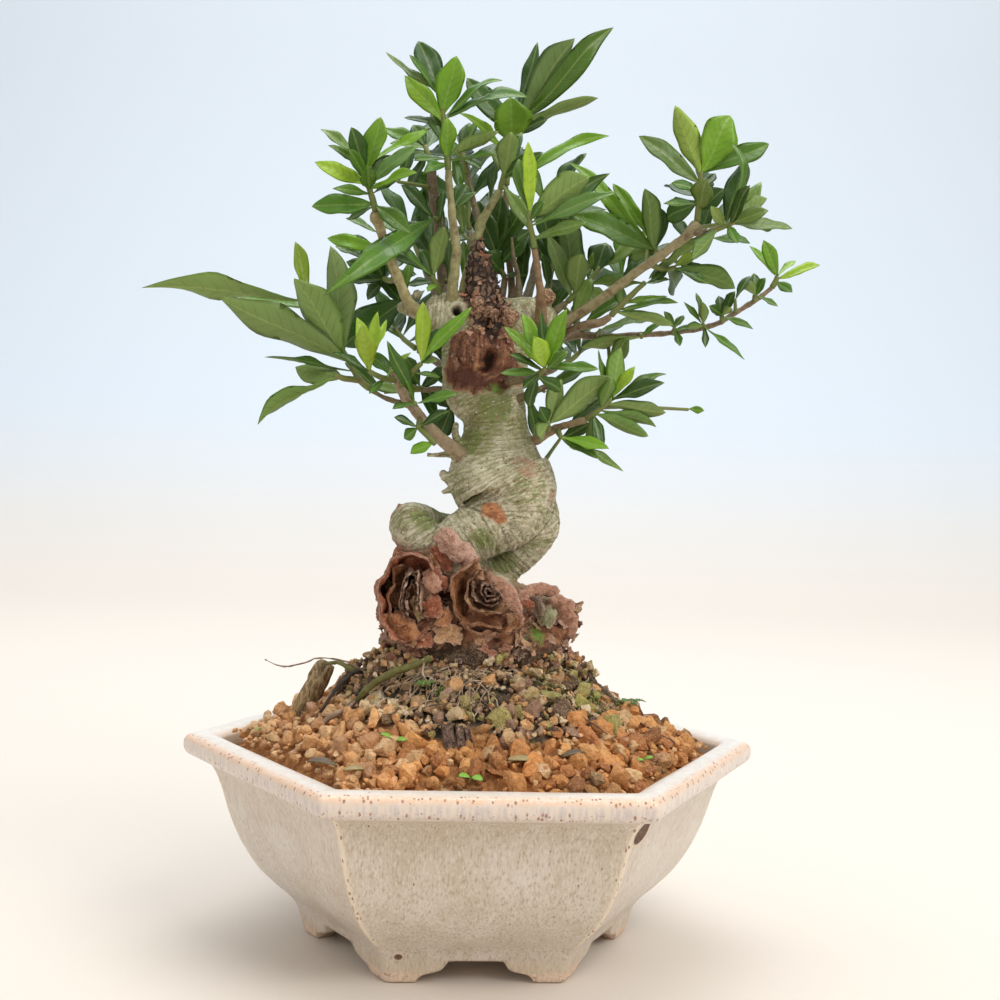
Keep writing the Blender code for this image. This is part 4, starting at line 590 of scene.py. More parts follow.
def make_glaze():
    finish = Finish("pot_glaze", Coat_Roughness=0.16, Specular_IOR_Level=0.45)
    here = finish.place()
    tall = finish.place(stretch=(1.0, 1.0, 0.09))
    high = finish.height(here)
    hairs = finish.speckle(tall, 0.62, 2.0, 0.6)
    runs = finish.speckle(tall, 2.4, 3.0, 0.6)
    veil = finish.speckle(finish.place(stretch=(1.0, 1.0, 0.5)), 12.0, 3.0, 0.6)
    fine = finish.speckle(here, 0.9, 3.0, 0.7)
    inside, ridge = finish.layer("inside"), finish.layer("ridge")
    edge, under = finish.layer("lip_edge"), finish.layer("under_lip")
    wall_glaze = finish.coats(
        (0.575, 0.480, 0.375),
        # the veil thins towards the top, so the wall darkens under the lip: partly warmer streaky glaze,
        # partly painted shade of the lip
        (veil.between(0.20, 0.80) * 0.8 + 0.14 - high.between(34.0, 56.0) * 0.42, (0.72, 0.655, 0.580)),
        (runs.between(0.50, 0.68) * 0.32, (0.50, 0.385, 0.26)),
        (hairs.between(0.54, 0.67) * 0.60, (0.41, 0.275, 0.165)),
        (hairs.between(0.45, 0.36) * 0.35, (0.84, 0.78, 0.70)))
    lip_top = finish.mix(finish.speckle(here, 4.0, 4.0, 0.65).between(0.38, 0.62),
                         (0.755, 0.675, 0.60), (0.81, 0.765, 0.71))
    lip_side = finish.mix(finish.speckle(tall, 1.3, 3.0).between(0.42, 0.62),
                          (0.79, 0.67, 0.575), (0.64, 0.56, 0.53))
    # rusty dashes, crowded where the glaze is thin, grit under the lip and flecks of iron on the wall
    dash_place = finish.place(stretch=(1.0, 1.0, 0.42))
    dash = finish.cells(dash_place, 1.05) + (fine - 0.5) * 0.4
    crowd = edge * 0.36 + ridge * 0.5 + under * 0.30
    dashes = dash.between(0.44, 0.28) * (finish.lot(dash_place, 1.05) + crowd).between(0.92, 0.97)
    rust = finish.mix(fine.between(0.4, 0.6), (0.26, 0.095, 0.05), (0.45, 0.21, 0.11))
    grit = finish.cells(here, 1.1).between(0.40, 0.20) * under * fine.between(0.46, 0.58)
    fleck_place = finish.place(stretch=(1.0, 1.0, 0.45))
    few = finish.lot(fleck_place, 2.1).between(0.86, 0.90)
    iron = finish.cells(fleck_place, 2.1).between(0.17, 0.10) * few
    # the scars, each with a peach rim, and the stain that rises from the feet
    scars = [finish.near(here, at, size) + (fine - 0.5) * 0.25 for at, size in GLAZE_SCARS]
    scar = scars[0].between(0.0, 0.16) + scars[1].between(0.0, 0.16)
    rim = (scars[0].between(-0.22, 0.0) + scars[1].between(-0.5, 0.0)) * 0.7
    burnt = finish.mix(fine.between(0.38, 0.6), (0.08, 0.045, 0.03), (0.22, 0.13, 0.09))
    low = high + (finish.speckle(here, 5.0, 2.0) - 0.5) * 3.0
    glaze = finish.coats(
        wall_glaze,
        (high.between(55.4, 57.2) * 0.92, finish.mix(high.between(62.6, 60.6), lip_top, lip_side)),
        ((edge * (0.45 + fine.between(0.4, 0.6) * 0.5)).clipped(), (0.82, 0.52, 0.33)),
        ((ridge * 1.3).clipped() * 0.9, (0.86, 0.73, 0.56)),
        (dashes * crowd.between(0.05, 0.2) * 0.85, rust),
        (grit.clipped() * 0.7, (0.36, 0.25, 0.23)),
        (iron * 0.75, (0.17, 0.11, 0.08)),
        (rim.clipped(), (0.80, 0.55, 0.36)),
        (scar.clipped(), burnt),
        (low.between(10.0, 4.4) * 0.35, (0.66, 0.50, 0.32)))
    # bare clay on the soles, and on what faces down between the feet
    facing = finish.height(finish.node("ShaderNodeNewGeometry", {}, output=1))
    bare = low.between(3.7, 3.2) * (1 - inside)
    bare = (bare + facing.between(-0.86, -0.95) * high.between(12.0, 9.0)).clipped()
    clay = finish.mix(fine.between(0.35, 0.65), (0.68, 0.49, 0.36), (0.80, 0.65, 0.52))
    stains = finish.speckle(here, 3.4, 4.0, 0.7)
    clay = finish.mix(stains.between(0.56, 0.68) * 0.75, clay, (0.30, 0.17, 0.09))
    dents = finish.speckle(here, 3.2) * 0.5 + runs * 0.3 + ridge * 0.7 - (iron + dashes * crowd) * 0.3
    return finish.use(Base_Color=finish.coats(glaze, (bare, clay), (inside, (0.50, 0.42, 0.33))),
                      Roughness=(0.30 + hairs * 0.14 + scar * 0.5 + bare * 0.45).clipped(),
                      Coat_Weight=((1 - bare - scar) * 0.3).clipped(),
                      Normal=finish.bump(dents - scar * 2.0 + rim * 0.8, 0.35, 0.4))


show("pot_body", pot_mesh, make_glaze(), "pot_glaze", "pot")


# %% [markdown]
# The trunk is one grown body: a neck that comes down, folds over itself like a crossed arm, and sinks
# into a swollen root crown.  Each limb is a tube on a smooth path.  A voxel remesh then makes one skin
# of them all, whose seams a little smoothing turns into the soft folds that living wood has.

# %% Where the wood runs
# rows of x, z, back and radius, from the front view
TRUNK = {
    "main": [(1.5, 203, 2, 9.5), (0.4, 192, 2, 13.6), (0.2, 182, 1, 13.8), (0.9, 175.6, 1, 13.0),
             (3.4, 170, 0, 10.7),
             (4.3, 164, 0, 10.5), (4.8, 157, 0, 13.2), (5.6, 150, 0, 16.3), (9, 143, -1, 16),
             (8, 136.8, -3, 12.2), (0.8, 131.6, -5, 9.8), (-6.5, 126.6, -6, 8.7), (-10.5, 121, -6, 7.6),
             (-11, 113, -4, 7.4)],
    "under": [(12.5, 142, 3, 12), (17.2, 134, 4, 9.2), (15.6, 127.8, 5, 7.3), (9.8, 121.4, 5, 6.5),
              (3.2, 116, 4, 6.6), (-2, 108, 2, 8)],
    "thumb": [(3, 130.5, 7, 7.4), (-5, 129.6, 9, 6.8), (-13, 130.8, 8, 6.0), (-19.4, 132.8, 3, 6.5),
              (-22, 132.0, -2, 7.0), (-17.5, 126.3, -4, 7.4), (-12.4, 119.8, -4, 7.6), (-8, 112, -2, 8)],
    "left_knob": [(-3, 195, 0, 9), (-9, 198.6, -1, 8.2), (-14, 199.6, -1, 7.3), (-18.4, 199.8, -1, 5.2),
                  (-20.8, 200.2, -1, 2.6)],
    "right_knob": [(5, 192, 1, 10), (10.5, 197.8, 0, 8.4), (16, 199, 0, 7.2), (20, 198.2, 0, 5.4),
                   (23, 197.6, 0, 2.8)],
    "dead_column": [(-1, 196, -3, 6.8), (-0.8, 204, -3, 5.6), (-2, 211, -2.5, 4.4), (-3, 217, -2, 3.3),
                    (-3.6, 223, -2, 1.5)],
}
# the root crown that the soil holds: x, y, height and radius before it is flattened front to back
ROOT_CROWN = [(-2, 0, 120, 7), (-2, 0, 115, 12.5), (-1.5, 0, 110, 19.5), (-1, 0, 105, 26), (-0.5, 0, 98, 29),
              (0, 0, 90, 28.6), (0, 0, 84, 25), (0, 0, 76, 18), (0, 0, 66, 9)]
CROWN_FLATTEN = 0.78
# in the crown, back is counted in crown steps
BRANCHES = {
    "crown_left": [(-19, 199, 0, 3.2), (-24.5, 203, -3, 2.1), (-28.4, 211, -4, 1.8), (-31.6, 218.5, -5, 1.7),
                   (-34.6, 226.5, -6, 1.7), (-35.8, 229.6, -7, 2.3), (-36, 231.2, -7, 2.0)],
    "crown_a": [(-10.9, 205, -3, 2.6), (-10.9, 209, -4, 2.0), (-10.1, 220, -5, 1.7), (-11.6, 230, -6, 1.5),
                (-12.7, 239, -6, 1.3), (-13.4, 245.4, -6, 1.3)],
    "crown_b": [(-7.8, 201, 0, 2.4), (-7.2, 209, -1, 1.8), (-4.8, 219, -1, 1.7), (-3.0, 227, -1, 1.8),
                (-2.5, 229.6, -1, 1.9), (0.2, 234.4, -2, 1.4), (3.2, 239.8, -3, 1.3)],
    "crown_b_left": [(-2.6, 228, -1, 1.5), (-4.6, 234, 1, 1.2), (-6.2, 240, 2, 1.1), (-7.2, 244.4, 2, 1.1)],
    "crown_c": [(-12, 197, 4, 3.0), (-14.2, 212, 7, 2.2), (-16, 228, 8, 2.0), (-18, 238, 8, 2.0),
                (-19, 246.4, 8, 1.9)],
    "crown_f": [(8, 197, 5, 2.6), (8, 209, 8, 1.5), (6, 224, 9, 1.2), (5.3, 236, 9, 1.1), (5.2, 241, 9, 1.0)],
    "crown_g": [(10.6, 199, 3, 2.0), (10, 212, 4, 1.0), (8.4, 218, 4, 0.9), (7.4, 225, 4, 0.5)],
    "crown_e": [(17.6, 198, -3, 2.6), (17.4, 207, -7, 1.7), (16.2, 214, -8, 1.3), (14.9, 221.4, -8, 1.2)],
    "right_high": [(17, 195, 0, 3.0), (23, 197.6, 0, 2.5), (28.2, 200.4, -1, 2.0), (39.2, 208.6, -4, 1.7),
                   (47.4, 215.2, -6, 1.6), (54.5, 220.6, -8, 1.6), (61.3, 225.8, -10, 1.6),
                   (64.8, 229.2, -11, 2.1), (66.4, 231.4, -11, 2.0)],
    "right_high_fork": [(65, 229, -11, 1.6), (69.0, 228.8, -12, 1.5)],
    "right_inner": [(18, 198, 2, 2.4), (22, 202, 2, 1.5), (25.4, 204.8, 3, 1.2)],
    "right_low": [(12, 188, 2, 3.2), (18, 190.4, 3, 2.0), (24, 193.2, 4, 1.7), (30, 194.8, 4.6, 1.5),
                  (39.3, 194.6, 5.2, 1.4), (50, 195.6, 5.8, 1.1), (60, 196.6, 6.2, 1.0),
                   (70, 198.6, 6.5, 1.0),
                  (75, 200.4, 6.8, 1.0), (79, 203, 7, 1.0), (83.4, 206, 7.2, 1.0), (87.5, 208.8, 7.4, 0.9),
                  (91, 211.8, 7.4, 0.9)],
    "right_twig": [(24, 193.5, 3.7, 1.5), (28, 196.6, 0, 1.5), (32, 198.2, -3, 1.6), (36.5, 199, -4, 1.5),
                   (39.6, 201, -4, 1.2)],
    "right_under": [(10, 159.6, 2, 2.6), (17.4, 160.8, -1, 1.9), (23, 164.4, -3, 1.5), (28, 166.2, -4, 1.3),
                    (33, 167.7, -5, 1.2)],
    "right_spur": [(9, 172.5, -2, 2.0), (14.2, 175.2, -4, 1.4), (20.6, 178.4, -4, 1.0)],
    "right_bright": [(8, 179.4, -5, 2.0), (13.4, 180.4, -9, 1.2), (15.4, 180.9, -11, 1.1)],
    "left_low": [(-2, 152, -2, 4.0), (-8, 156.4, -4, 2.8), (-12.6, 159.8, -5, 2.3), (-18.9, 165.7, -5, 2.0),
                 (-22.5, 170, -5, 1.9), (-25.5, 174, -6, 1.8), (-28, 179.2, -6, 1.6), (-29, 182.4, -6, 1.5)],
    "left_twig": [(-24, 170.6, -5, 1.2), (-31.6, 172.7, -6, 0.9), (-36.4, 175.4, -7, 0.9)],
    "left_behind": [(-8, 175, 3, 2.0), (-14, 176, 4, 1.3), (-19.6, 175.6, 5, 1.0)],
}
# branches towards the back, with back in millimetres
BACK_BRANCHES = {
    "back_left": [(-10, 197, 6, 2.6), (-16, 206, 18, 1.6), (-20, 214, 27, 1.2)],
    "back_middle": [(-3, 199, 8, 2.6), (-5, 214, 20, 1.6), (-6, 226, 28, 1.2)],
    "back_right": [(10, 197, 7, 2.6), (14, 210, 20, 1.6), (16, 222, 29, 1.2)],
    "back_far_right": [(17, 196, 5, 2.2), (27, 201, 18, 1.5), (34, 206, 27, 1.2)],
    "back_inner": [(4, 197, 6, 2.6), (5, 206, 10, 1.5), (5.6, 212, 13, 1.2)],
    "back_inner_right": [(14, 197, 4, 2.6), (18.4, 205, 9, 1.5), (19.8, 211, 12, 1.2)],
    "back_low_left": [(-6, 180, 8, 2.2), (-14, 184, 19, 1.5), (-21, 188, 28, 1.1)],
    "back_low_right": [(9, 178, 8, 2.2), (17, 181, 18, 1.5), (23, 184, 27, 1.1)],
}
STUBS = {
    "stub_left_top": [(-18, 199.6, -2, 3.0), (-24, 201, -2, 2.3), (-27.6, 201.8, -2, 1.9)],
    "stub_left_side": [(-8, 156, -2, 2.2), (-13, 155, -3, 1.0), (-17.4, 154.8, -3, 0.9)],
    "stub_dark_high": [(-6, 148, -2, 3.4), (-10.6, 148, -3, 2.2), (-12.6, 149.4, -3, 1.4)],
    "stub_dark_low": [(-5, 145, -2, 2.4), (-9.4, 144, -3, 1.2), (-12.2, 143, -3, 0.8)],
    "stub_crotch": [(-6.4, 158, -6, 1.8), (-8.6, 161.6, -6, 1.3), (-8.4, 165.4, -6, 1.0)],
}
# centre x, z, back and the three half sizes
LUMPS = {
    "burl_right": (19, 206.6, -3, 3.2, 3.0, 3.0),
    "burl_pink": (8.2, 200.0, -10, 2.8, 2.4, 2.6),
    "burl_yellow": (1.6, 200.6, -10.4, 2.2, 2.0, 2.0),
    "burl_pale": (-2.6, 202.4, -9.4, 2.2, 2.0, 2.4),
    "burl_left_top": (-22.2, 206, -2, 1.6, 1.6, 1.8),
    "lobe": (24, 102.4, -6, 8.6, 9.5, 9.0),
    "lobe_low": (20, 94.5, -10, 7.5, 8, 6.0),
    "root_front": (-13, 99, -15, 10, 9, 8.5),
    "dark_lump": (-23.8, 121.4, -8, 3.4, 4.5, 3.8),
    "bulge_back": (10, 144, 8, 14, 9, 10),
    "roll_left_filling": (-20.8, 107, -9.5, 10.8, 11.5, 12.0),
    "roll_middle_filling": (3.6, 108.6, -9.5, 9.6, 10.5, 9.6),
}
ROOTS = {
    "root_green": [(-12, 93, -16, 2.4), (-19, 90, -19, 1.5), (-26, 87.6, -20, 1.3), (-31.5, 83.6, -20, 1.2),
                   (-35, 77, -20, 1.1), (-36, 70, -20, 0.8)],
    "root_dark": [(-24, 91, -9, 2.2), (-31, 89.6, -9, 1.3), (-37.4, 86.4, -9, 1.1), (-42.4, 80.4, -9, 1.0),
                  (-45, 71, -9, 0.8)],
    "root_right": [(24, 93, -4, 4.0), (33, 86, -3, 2.8), (41, 79.6, -3, 2.2), (47, 72, -3, 1.6),
                   (50, 64, -3, 1.0)],
    "root_back": [(6, 94, 16, 4.0), (10, 88, 28, 2.8), (14, 80, 38, 2.0), (16, 68, 45, 1.2)],
}
HOLLOW = (1.4, 185.9, -12.6, 3.1, 5.4, 3.7)
KNOB_HOLE = (-9.4, 201.4, -9.5, 1.7, 5.0, 1.7)


# %% [markdown]
# A lump of wood is a ball stretched three ways, on a grid of latitude and longitude.  The same ball,
# sunk into the skin, opens the dark hollow at the top of the neck and the eye-like hole in the knob.

# %% One skin for the wood
def ball(place, size, rows=14, columns=20):
    """Points and faces of place + (sx sin a cos b, sy sin a sin b, sz cos a)."""
    a = np.linspace(0, math.pi, rows)[:, None]
    b = np.linspace(0, 2 * math.pi, columns, endpoint=False)[None, :]
    shape = np.stack([np.sin(a) * np.cos(b), np.sin(a) * np.sin(b), np.cos(a) + 0 * b], axis=-1)
    return (shape * size + place).reshape(-1, 3), grid_faces(rows, columns)


WOOD_GRID = 0.62 * MM        # the width of the remesh's cubes
THICK_LIMB = 5               # a limb whose radius is over this many mm gets a rounder profile

limbs = {name: smooth_path(seen(rows), 6) for name, rows in TRUNK.items()}
limbs["root_crown"] = smooth_path(np.array(ROOT_CROWN, dtype=float), 5)
limbs.update({name: smooth_path(seen(rows), 5) for name, rows in {**STUBS, **ROOTS}.items()})
limb_parts = []
for name, rows in limbs.items():
    points, faces, _ = tube(rows, 28 if rows[:, 3].max() > THICK_LIMB else 12)
    if name == "root_crown":
        points = points * [1, CROWN_FLATTEN, 1]
    limb_parts.append((points, faces, {}))
for *place, width, depth, height in LUMPS.values():
    limb_parts.append((*ball(seen_place(place), (width, depth, height)), {}))

wood_mesh = weld(stack_meshes("trunk_skin", limb_parts), recalculate=True)
wood_mesh = with_modifier(wood_mesh, "REMESH", mode="VOXEL", voxel_size=WOOD_GRID, use_smooth_shade=True)
wood_mesh = with_modifier(wood_mesh, "SMOOTH", factor=0.5, iterations=5)
print("trunk skin:", len(wood_mesh.polygons), "faces")


# %% [markdown]
# Bark tells where it is.  On the living limbs it is grey-green and wrinkled across, like a bent finger.
# On the root crown and round the old wound it is red-brown and comes off in plates.  So each point of
# the skin first learns which limb it lies on and how far along, and which zone it is in.

# %% The zones of the bark
BATCHES = 40                 # the points are compared with the limbs in so many batches, to save memory


def nearest_limb(points, names):
    """How far along the nearest limb each point is."""
    rows = np.concatenate([limbs[name] for name in names])
    ways = np.concatenate([unit(np.gradient(limbs[name][:, :3], axis=0)) for name in names])
    run = np.concatenate([lengths_along(limbs[name][:, :3]) for name in names])
    along = np.empty(len(points))
    for part in np.array_split(np.arange(len(points)), BATCHES):
        offset = points[part, None] - rows[None, :, :3]
        best = np.argmin(np.linalg.norm(offset, axis=-1) / rows[None, :, 3], axis=1)
        along[part] = run[best] + (offset[np.arange(len(part)), best] * ways[best]).sum(-1)
    return along


def inside_ball(points, place, size):
    """1 at the middle of a stretched ball, 0 at its surface and below 0 outside."""
    return 1 - np.linalg.norm((points - place) / size, axis=-1)


skin = mesh_points(wood_mesh)
out = mesh_normals(wood_mesh)
along = nearest_limb(skin, ["main", "under", "thumb", "left_knob", "right_knob"])
x, y, z = skin.T
warped = skin + 2.5 * noise_way(skin, 7.0, 11)
# the border of the brown root crown, which dips to the right and rises at the far left
crown_line = 119 + 3.0 * noise(skin, 9.0, 21) - 5.0 * smoothstep(2, 12, x) - 6.0 * smoothstep(12, 30, x)
crown_line = crown_line + 7.0 * smoothstep(-17, -21, x)
brown = smoothstep(2.5, -2.5, z - crown_line)
# the wound in front of the neck: a square with rounded corners, torn at its edge
torn = noise(skin, 2.6, 14)
aside, over = (warped[:, 0] + 0.2 + torn) / 11.2, (warped[:, 2] - 185.4 + 1.3 * torn) / 10.4
wound = np.where(y < -1, 1 - (np.abs(aside) ** 4 + np.abs(over) ** 4) ** 0.25, -1.0)
frayed = 0.05 * noise(skin, 1.2, 16)
brown = np.maximum(brown, smoothstep(-0.03, 0.03, wound + frayed))
# the dead column on top, whose scaly bark runs down a little way in front
column = smoothstep(199.0, 203.0, z) * smoothstep(7.5, 6.0, np.hypot(x + 2.0, y + 3.0))
low_column = smoothstep(193.6, 195.4, z + torn) * smoothstep(6.8, 5.4, np.abs(x - 1.4 + 1.2 * torn))
low_column = low_column * (y < -5)
column = np.maximum(column, low_column)
brown = np.maximum(brown, column)
in_wound = smoothstep(-0.03, 0.05, wound + frayed) * (1 - column)

# marks of colour, each a ball that fades at its edge: x, z, back and size
MARKS = {
    "orange": [(2.2, 138.4, -14, 2.9), (4.6, 137.4, -14, 3.2), (6.6, 135.8, -14, 2.6)],
    "crust": [(-2.6, 202.4, -11, 2.8), (19, 206.6, -5, 4.0), (8.2, 200.0, -12, 3.4), (1.6, 200.6, -12, 2.8),
              (27.6, 146, 2, 2.4), (-24.5, 137, -2, 1.8), (5.6, 196.6, -12, 2.2)],
    "algae": [(4, 171.5, -10, 6.5), (-3.5, 160, -9, 5.0), (-14, 139, 6, 6.0), (-18, 133, -6, 5.5),
              (1, 129, -12, 4.5), (8, 121, -2, 5.0), (19.4, 97.4, -18, 4.2), (24, 103.4, -15, 3.0)],
    "tan": [(-27.0, 136.2, -2, 3.6), (-17, 122, -9, 5.0), (14, 151, -12, 5.0), (21, 143, -6, 4.0),
            (-13, 128, -11, 3.2)],
}


def mark(kind):
    """How deep in a mark of this kind each point lies, from 0 to 1, with a ragged edge."""
    ragged = skin + (0.6 * torn + 0.8 * noise(skin, 1.2, 15))[:, None] * [1, 0, -1]
    balls = [inside_ball(ragged, seen_place(row), row[3]) for row in MARKS[kind]]
    return np.max([smoothstep(0.0, 0.3, ball_depth) for ball_depth in balls], axis=0)


# %% [markdown]
# Now every zone gets its own relief, in millimetres out of the skin.  The green bark has creases across
# the limb, the brown bark has plates like steps, the wound has swollen lips round its hollow, and the dead
# column has scales.  The sum of them, each weighted by its zone, moves the points.

# %% The relief of the bark
def step_up(values):
    """Whole numbers joined by short ramps, like the edges of plates that overlap."""
    return np.floor(values) + smoothstep(0.0, 0.35, values - np.floor(values))


bands = along / 2.1 + 0.8 * noise(skin, 8.0, 31) + 0.35 * noise(skin, 2.6, 32)
crease = (1 - np.abs(np.sin(math.pi * bands))) ** 2.6
on_arm = smoothstep(150, 138, z)
strength = (0.30 + 0.70 * smoothstep(-0.5, 0.3, noise(skin, 9.0, 33))) * (0.5 + 0.5 * on_arm)
crease = crease * strength
green_relief = -0.50 * crease + 0.20 * layered_noise(skin, 3.2, 51) + 0.14 * noise(skin, 1.3, 52)
plates = step_up(layered_noise(warped, 6.5, 41, 3) * 3.2)
brown_relief = 0.62 * plates + 0.55 * layered_noise(skin, 3.0, 61) + 0.28 * noise(skin, 1.4, 62)

# the hollow in the wound, the cleft over it, and the eye of the left knob with its ring
shaken = skin + (0.9 * torn + 0.7 * noise(skin, 1.4, 17))[:, None]
pits = inside_ball(shaken, seen_place(HOLLOW), np.array(HOLLOW[3:]))
cleft = inside_ball(shaken, seen_place((2.0, 195.4, -11)), np.array([3.2, 4.6, 5.5]))
hole = inside_ball(skin, seen_place(KNOB_HOLE), np.array(KNOB_HOLE[3:]))
ring = inside_ball(skin, seen_place(KNOB_HOLE), np.array([3.0, 6.0, 3.0]))
ring = bell(ring, 0.12, 0.16) * (z > 198)

# round the hollow: a pale lip at its sides and below, swollen healing wood, and a wet dish under it
lip = bell(pits, -0.22, 0.13) * smoothstep(190.5, 185.5, z + 2 * torn) * (y < -4)
lip = lip * np.clip(0.7 + 1.0 * noise(skin, 1.8, 18), 0, 1)
swirl = bell(pits, -0.62, 0.11) * smoothstep(191.5, 186.5, z + 3 * torn) * (y < -4)
lip = lip + 0.6 * swirl * np.clip(0.5 + 1.2 * noise(skin, 2.4, 20), 0, 1)
swollen = np.exp(-((x + 6.6) / 3.4) ** 2 - ((z - 187.5) / 5.5) ** 2)
swollen = swollen + 0.8 * np.exp(-((x - 8.0) / 3.2) ** 2 - ((z - 187) / 6.0) ** 2)
wet = smoothstep(0.0, 0.15, wound) * smoothstep(183.6, 181.2, z + 1.5 * noise(skin, 4.0, 64)) * (y < -3)
fibres = noise(skin * [1, 1, 0.28], 1.1, 65)
wound_relief = (1.6 * swollen + 1.2 * lip - 1.4 * wet + 0.55 * fibres * (1 - 0.5 * wet)
                + 0.5 * noise(skin, 2.2, 66))
hem = bell(wound, -0.05, 0.07) * smoothstep(187, 181, z) * np.clip(0.8 + 0.8 * noise(skin, 2.0, 19), 0, 1)
scales = np.abs(np.sin(math.pi * (z / 2.6 + 0.9 * noise(skin, 3.0, 63))))
crust = mark("crust")

relief = green_relief * (1 - brown) + brown_relief * brown * (1 - column) * (1 - in_wound)
relief = relief + wound_relief * in_wound + (0.9 * scales + 0.4 * noise(skin, 1.6, 67)) * column + 0.7 * ring
relief = relief + 1.1 * hem + crust * (0.7 * noise(skin, 1.5, 69) + 0.5 * noise(skin, 0.8, 70))
sunk = (-4.6 * smoothstep(0.0, 0.65, pits) - 4.5 * smoothstep(-0.05, 0.5, hole)
        - 1.6 * smoothstep(0.0, 0.5, cleft))
move_points(wood_mesh, skin + out * (relief + sunk)[:, None])
print("relief from", round(float(relief.min()), 2), "to", round(float(relief.max()), 2), "mm")

# the low places of the brown plates, to be painted dark: painted shade in their cracks
brown_crack_shade = smoothstep(0.25, -0.9, brown_relief) * brown * (1 - in_wound)
in_hollow = np.maximum(smoothstep(0.05, 0.75, pits + 0.22 * noise(skin, 1.6, 21)),
                       smoothstep(-0.15, 0.2, hole))
set_layers(wood_mesh, {
    "brown": brown,
    # painted shade: the green bark's creases and the brown bark's cracks are painted dark from this
    "crease": np.maximum(crease * (1 - brown), brown_crack_shade),
    "along": along,
    # painted shade: the hollow, the knob's hole and the cleft are painted near black from this
    "depth": np.maximum(in_hollow, 0.9 * smoothstep(0.05, 0.4, cleft + 0.4 * fibres)),
    "column": column,
    "wound": in_wound,
    "wet": wet,
    "lip": np.maximum(np.maximum(lip * in_wound, ring), 0.6 * hem),
    # the foot of the trunk under the rolls: crumbly bark, painted dark partly as painted shade
    "crumbly": smoothstep(98.5, 95.0, z + 1.5 * noise(skin, 5.0, 68)) * brown,
    **{kind: mark(kind) for kind in MARKS},
})
